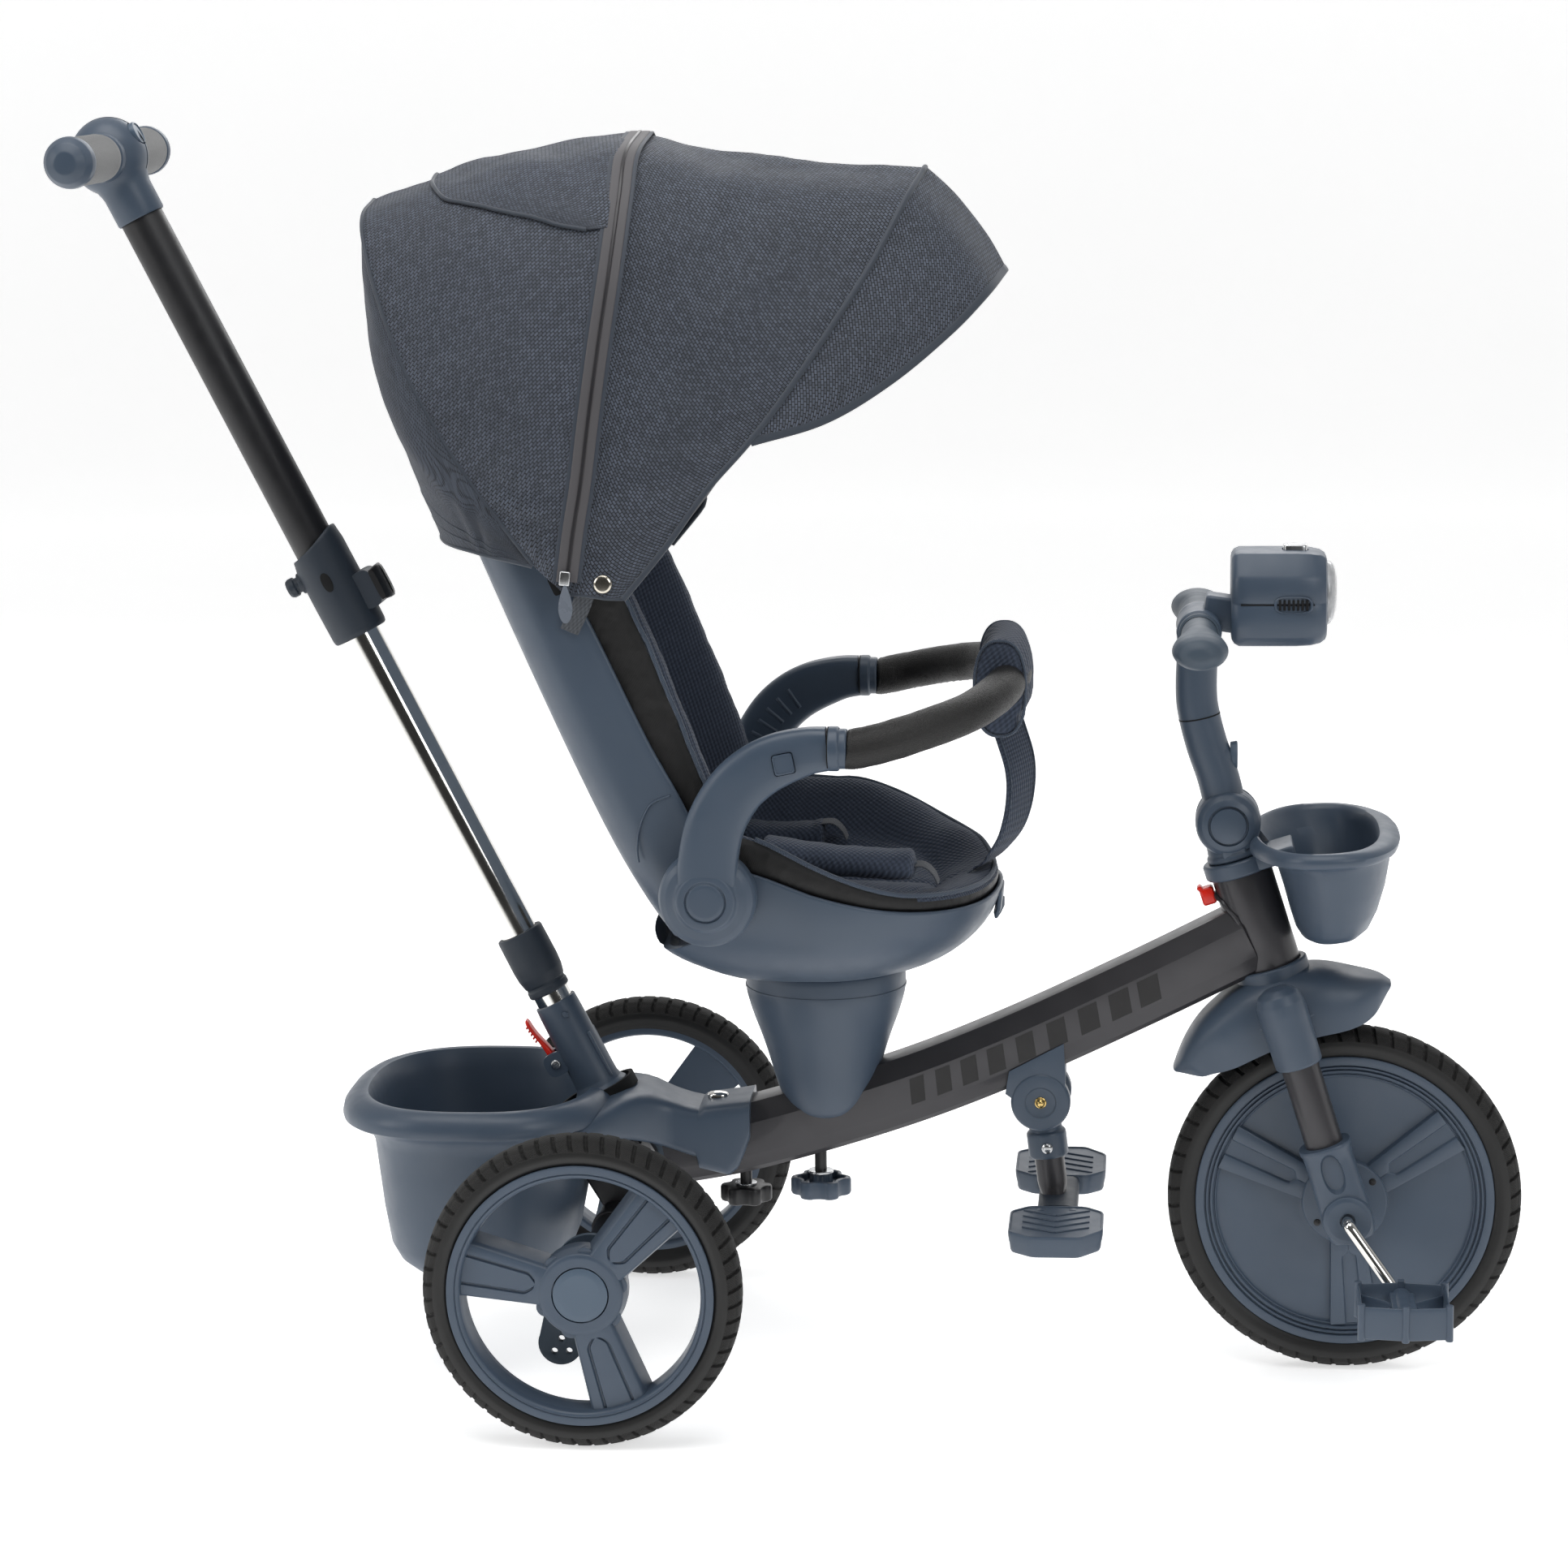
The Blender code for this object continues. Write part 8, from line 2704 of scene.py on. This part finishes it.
REAR_HEM = (
    (-0.2850, 0.0, 0.7080), (-0.2840, 0.050, 0.7080), (-0.2800, 0.090, 0.7080), (-0.2720, 0.120, 0.7070),
    (-0.2600, 0.142, 0.7060), (-0.2450, 0.155, 0.7040), (-0.2300, 0.163, 0.7010), (-0.2130, 0.168, 0.6980),
    (-0.1960, 0.170, 0.6940)
)
FAR_SIDE_PULL = 0.037
CLOTH_THICKNESS = 0.0016
CLOTH_COLUMNS = 120
REAR_BOW_ROW = 40  # the rear cloth's row that lies on the rear bow
BACK_BULGE = (
    (0.0, 0.0), (0.10, 0.012), (0.20, 0.021), (0.43, 0.033), (0.56, 0.026), (0.75, 0.011), (1.0, 0.0)
)


def bow(points, t):
    """A point on a bow from its right foot (t = 0) over the top to its left foot (t = 1)."""
    place = curve_at(points, abs(2 * t - 1))
    return Vector((place.x, math.copysign(place.y, t - 0.5) if t != 0.5 else 0.0, place.z))


def outwards(point):
    """The way out of the canopy at a point."""
    return (point - Vector((point.x * 0.5 + CANOPY_MIDDLE.x * 0.5, 0, CANOPY_MIDDLE.z))).normalized()


def cloth(name, rows, thickness):
    """A sheet of cloth through a grid of points, with its weave measured in metres along both directions."""
    count_r, count_c = len(rows), len(rows[0])
    normals = []
    for r in range(count_r):
        line = []
        for c in range(count_c):
            along_r = rows[min(r + 1, count_r - 1)][c] - rows[max(r - 1, 0)][c]
            along_c = rows[r][min(c + 1, count_c - 1)] - rows[r][max(c - 1, 0)]
            normal = along_r.cross(along_c).normalized()
            line.append(normal if normal.dot(outwards(rows[r][c])) >= 0 else -normal)
        normals.append(line)
    us = []
    for row in rows:
        total = [0.0]
        for a, b in zip(row, row[1:]):
            total.append(total[-1] + (b - a).length)
        us.append([x - total[len(row) // 2] for x in total])
    vs = [[0.0] * count_c]
    for r in range(1, count_r):
        vs.append([vs[-1][c] + (rows[r][c] - rows[r - 1][c]).length for c in range(count_c)])
    bm = bmesh.new()
    layer = bm.loops.layers.uv.new("UVMap")
    layers = []
    for half in (0.5, -0.5):
        layers.append(
            [
                [bm.verts.new(rows[r][c] + normals[r][c] * thickness * half) for c in range(count_c)]
                for r in range(count_r)
            ]
        )
    place = {}
    for grid in layers:
        for r in range(count_r):
            for c in range(count_c):
                place[grid[r][c]] = (us[r][c], vs[r][c])

    def add(corners, material=0):
        face = bm.faces.new(corners)
        face.material_index = material
        for loop in face.loops:
            loop[layer].uv = place[loop.vert]

    outer, inner = layers
    for r in range(count_r - 1):
        for c in range(count_c - 1):
            add((outer[r][c], outer[r][c + 1], outer[r + 1][c + 1], outer[r + 1][c]))
            add((inner[r][c], inner[r + 1][c], inner[r + 1][c + 1], inner[r][c + 1]), 1)
    edge = [(r, 0) for r in range(count_r)] + [(count_r - 1, c) for c in range(1, count_c)]
    edge += [
        (r, count_c - 1) for r in range(count_r - 2, -1, -1)
    ] + [(0, c) for c in range(count_c - 2, 0, -1)]
    for (r0, c0), (r1, c1) in zip(edge, edge[1:] + edge[:1]):
        add((outer[r0][c0], outer[r1][c1], inner[r1][c1], inner[r0][c0]))
    return mesh_from(name, bm)


def rumple(point, size, depth, seed):
    """Soft folds: a slow wave plus a finer one, along the way outwards."""
    slow = noise.noise(Vector((point.x * size, point.y * size * 0.8, point.z * size + seed)))
    fine = noise.noise(Vector((point.x * size * 3.1, point.y * size * 2.6, point.z * size * 2.8 + seed * 2)))
    return point + outwards(point) * depth * (slow + 0.35 * fine)


def canopy_rows(first, second, rows, columns, bulge, depth, seed, f_range=(0.0, 1.0)):
    """Cloth points from one bow to the next: full, wrinkled between them, folded near the feet."""
    grid = []
    for r in range(rows + 1):
        f = mix(f_range[0], f_range[1], r / rows)
        row = []
        for c in range(columns + 1):
            t = c / columns
            point = bow(first, t).lerp(bow(second, t), f)
            point = point + outwards(point) * bulge(f, t)
            if point.y > 0.10 and point.x > -0.10:
                point.x -= FAR_SIDE_PULL * ease((point.y - 0.10) / 0.06) * ease((point.x + 0.10) / 0.04)
            held = math.sin(math.pi * f) ** 0.5
            low = abs(2 * t - 1)
            fold = math.sin(
                low * 46 + f * 2.6 + 1.2 * math.sin(low * 17 + seed)
            ) * ease((low - 0.50) / 0.25) * ease((1.0 - low) / 0.06)
            point = point + outwards(point) * 0.0019 * fold * held
            row.append(rumple(point, 21.0, depth * held, seed))
        grid.append(row)
    return grid


def make_canopy():
    """Three cloths: the front, left on no body, the visor, which rides on the bow, and the rear, which stays
    on the backrest.
    """
    front = canopy_rows(
        ZIP_BOW, FRONT_BOW, 36, CLOTH_COLUMNS, lambda f, t: -0.006 * 4 * f * (1 - f) * math.sin(math.pi * t),
        0.0032, 1.0, (0.012, 0.998)
    )
    front_cloth = cloth("canopy_front_cloth", front, CLOTH_THICKNESS)
    visor = []
    for r in range(21):
        row = []
        for c in range(97):
            t = c / 96
            a, b = bow(FRONT_BOW[:6], t), bow(VISOR_EDGE, t)
            point = a.lerp(b, r / 20) + Vector((0.0010, 0, 0))
            belly = 0.0060 * math.sin(math.pi * r / 20) * math.sin(math.pi * t)
            row.append(
                rumple(point + outwards(point) * belly, 24.0, 0.0010 * math.sin(math.pi * r / 20), 3.0)
            )
        visor.append(row)
    visor_cloth = cloth("canopy_visor_cloth", visor, CLOTH_THICKNESS)
    rear = canopy_rows(
        ZIP_BOW, REAR_BOW, REAR_BOW_ROW, CLOTH_COLUMNS, lambda f,
        t: 0.008 * 4 * f * (1 - f) * math.sin(math.pi * t), 0.0036, 5.0
    )
    back = canopy_rows(REAR_BOW, REAR_HEM, 34, CLOTH_COLUMNS,
                       lambda f, t: smooth_on(BACK_BULGE, f) * math.sin(math.pi * t) ** 1.5, 0.0030, 7.0)
    rear_grid = rear + back[1:]
    rear_cloth = cloth("canopy_rear_cloth", rear_grid, CLOTH_THICKNESS)
    grids = (
        (front_cloth, front, "canopy_front"), (visor_cloth, visor, "canopy_visor"),
        (rear_cloth, rear_grid, "canopy_rear")
    )
    for obj, grid, node in grids:
        body = "canopy_bow" if node == "canopy_visor" else "backrest"
        piece(obj, "canopy", body, "canopy_fabric", node, smooth=70)
        obj.data.materials.append(MATERIALS["canopy_inner"])
    make_canopy_bows()
    trims = make_canopy_trims(front, visor, rear_grid)
    front_cloth.parent = None
    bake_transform(front_cloth)


def offset_line(points, out):
    """The line lifted off the canopy."""
    return [p + outwards(p) * out for p in points]


def make_canopy_bows():
    """The thin rails that the cloth is stretched over."""
    rail = []
    for i in range(81):
        p = bow(FRONT_BOW, i / 80).lerp(bow(ZIP_BOW, i / 80), 0.05)
        rail.append(p - outwards(p) * 0.0052)
    piece(tube_along("canopy_bow_rail", rail, 0.0030, 16), "black_plastic", "canopy_bow", "canopy_fabric")
    for name, points in (("canopy_rear_rail", REAR_BOW), ("canopy_zip_rail", ZIP_BOW)):
        rail = [bow(points, mix(0.02, 0.98, i / 80)) for i in range(81)]
        rail = [p - outwards(p) * 0.0046 for p in rail]
        piece(tube_along(name, rail, 0.0028, 16), "black_plastic", "backrest", "canopy_fabric")


def make_canopy_trims(front, visor, rear):
    """Zip, bindings, seams and snaps, listed by the cloth that each belongs to."""
    trims = {"canopy_front": [], "canopy_visor": [], "canopy_rear": []}

    def trim(obj, material, node, smooth=70):
        body = "canopy_bow" if node == "canopy_visor" else "backrest"
        piece(obj, material, body, "canopy_fabric", smooth=smooth)
        trims[node].append(obj)
        return obj

    zip_line = [bow(ZIP_BOW, mix(0.014, 0.986, i / 200)) for i in range(201)]
    for name, shift, out, width, material in (("canopy_zip_tape", 0.0046, 0.0021, 0.0074, "zip_tape"),
                                              ("canopy_zip_tape_front", -0.0046, 0.0021, 0.0074, "zip_tape"),
                                              ("canopy_zip_edge", 0.0098, 0.0016, 0.0034, "binding"),
                                              ("canopy_zip_edge_front", -0.0098, 0.0016, 0.0034, "binding"),
                                              ("canopy_zip_teeth", 0.0, 0.0028, 0.0026, "zip_teeth")):
        line = [p + Vector((-shift, 0, 0)) for p in offset_line(zip_line, out)]
        trim(ribbon(name, line, width, 0.0014, lambda t: (1, 0, 0)), material, "canopy_rear")
    foot = bow(ZIP_BOW, 0.0)
    slider = box(
        "canopy_zip_slider", (0.0084, 0.0040, 0.0115), foot + Vector((0.0004, -0.0036, 0.0130)), 0.10, 0.0012
    )
    trim(slider, "silver", "canopy_rear")
    pull = loft(
        "canopy_zip_puller",
        [
            [
                foot + Vector(
                    (0.0006 + a * (0.6 + 0.4 * ease((-b + 0.014) / 0.02)), -0.0046 + y, -0.0070 + b)
                ) for a,
                b in rounded(0.0058, 0.0150, 2.1, 40)
            ]
            for y in (-0.0009, 0.0009)
        ]
    )
    trim(pull, "puller", "canopy_rear")
    trim(
        tube_along("canopy_bow_piping", offset_line(front[-1], 0.0008), 0.0024, 12), "binding", "canopy_visor"
    )
    trim(
        ribbon(
            "canopy_visor_binding", offset_line(visor[-1], 0.0002), 0.0070, 0.0030, lambda t: (0.55, 0, -0.8)
        ),
        "binding", "canopy_visor"
    )
    trim(tube_along("canopy_hem", offset_line(rear[-1], 0.0003), 0.0017, 12), "binding", "canopy_rear")
    for edge_name, index in (("right", 0), ("left", -1)):
        side_line = [row[index] for row in front]
        hem = tube_along("canopy_front_hem_" + edge_name, side_line, 0.0014, 10)
        piece(hem, "binding", "backrest", "canopy_fabric", smooth=70)
        hem.parent = None
        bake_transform(hem)
        trims["canopy_front"].append(hem)
    trim(
        tube_along("canopy_rear_seam", offset_line(rear[REAR_BOW_ROW], 0.0006), 0.0016, 10), "binding",
        "canopy_rear"
    )
    for row_name, row_index in (("a", -4), ("b", -7)):
        line = offset_line(rear[row_index], 0.0009)
        trim(tube_along("canopy_hem_stitch_" + row_name, line[3:-3], 0.0005, 6), "binding", "canopy_rear")
    make_window_flap(rear, trim)
    for side, label in SIDES:
        at = Vector((-0.1404, side * 0.1716, 0.6800))
        snap = turned(
            "canopy_snap_" + label,
            eased(
                [
                    (0.0, 0.0028), (0.0055, 0.0025), (0.0070, 0.0017), (0.0076, 0.0003), (0.0076, -0.0010),
                    (0.0, -0.0010)
                ],
                0.0004
            ),
            across(at, side), 40
        )
        trim(snap, "snap", "canopy_rear", 40)
    return trims


WINDOW_EDGE = (
    (-0.3125, 0.06), (-0.285, 0.25), (-0.245, 0.45), (-0.185, 0.64), (-0.13, 0.70), (-0.06, 0.74), (0.0, 0.75)
)


def make_window_flap(rear, trim):
    """The rolled-down window's cover: a second layer on the top's rear half with a curved lower edge."""
    grid = []
    for r in range(29):
        row = []
        for c in range(97):
            side_way = mix(-0.305, 0.305, c / 96)
            last = smooth_on(WINDOW_EDGE, -abs(side_way))
            down = mix(0.030, last, r / 28) * REAR_BOW_ROW
            column = (side_way + 1) * CLOTH_COLUMNS / 2
            i, k = min(int(down), REAR_BOW_ROW - 1), int(column)
            upper = rear[i][k].lerp(rear[i][k + 1], column - k)
            lower = rear[i + 1][k].lerp(rear[i + 1][k + 1], column - k)
            point = upper.lerp(lower, down - i)
            row.append(point + outwards(point) * 0.0024)
        grid.append(row)
    flap = cloth("canopy_window_flap", grid, 0.0012)
    trim(flap, "canopy", "canopy_rear")
    trim(
        tube_along("canopy_window_edge", offset_line(grid[-1], 0.0006), 0.0016, 10), "binding", "canopy_rear"
    )


def make_side_straps():
    """The webbing that ties the canopy's foot to the back shell."""
    for side, label in SIDES:
        line = [
            Vector(p)
            for p in (
                (-0.150, side * 0.1665, 0.690), (-0.158, side * 0.1590, 0.665), (-0.170, side * 0.1530, 0.640)
            )
        ]
        strap = ribbon("canopy_strap_" + label, smooth_path(line, 24), 0.0150, 0.0016, lambda t: (1, 0, 0))
        piece(strap, "webbing", "backrest", "canopy_fabric")


make_camera()
make_floor()
make_light()
for side, label in SIDES:
    make_rear_wheel(side, label)
    make_leg_cap(side, label)
    make_arm(label, side)
make_front_wheel()
make_frame()
make_rear_basket()
make_star_knob("seat_knob", (0.0110, 0, 0.1415), 0.0252, 0.0150, 0.1950, "slate", "seat_screw", "slate", True)
make_star_knob(
    "basket_knob", (-0.0520, 0, 0.1350), 0.0216, 0.0140, 0.1780, "black_plastic", "basket_screw",
    "black_plastic", False
)
make_fork()
make_fender()
make_front_basket()
make_stem()
make_light_box()
make_head_lock()
make_push_handle()
make_pedestal()
make_footrest()
make_seat_shell()
make_bumper()
make_back_shell()
make_back_pad()
make_seat_pad()
make_canopy()
make_side_straps()
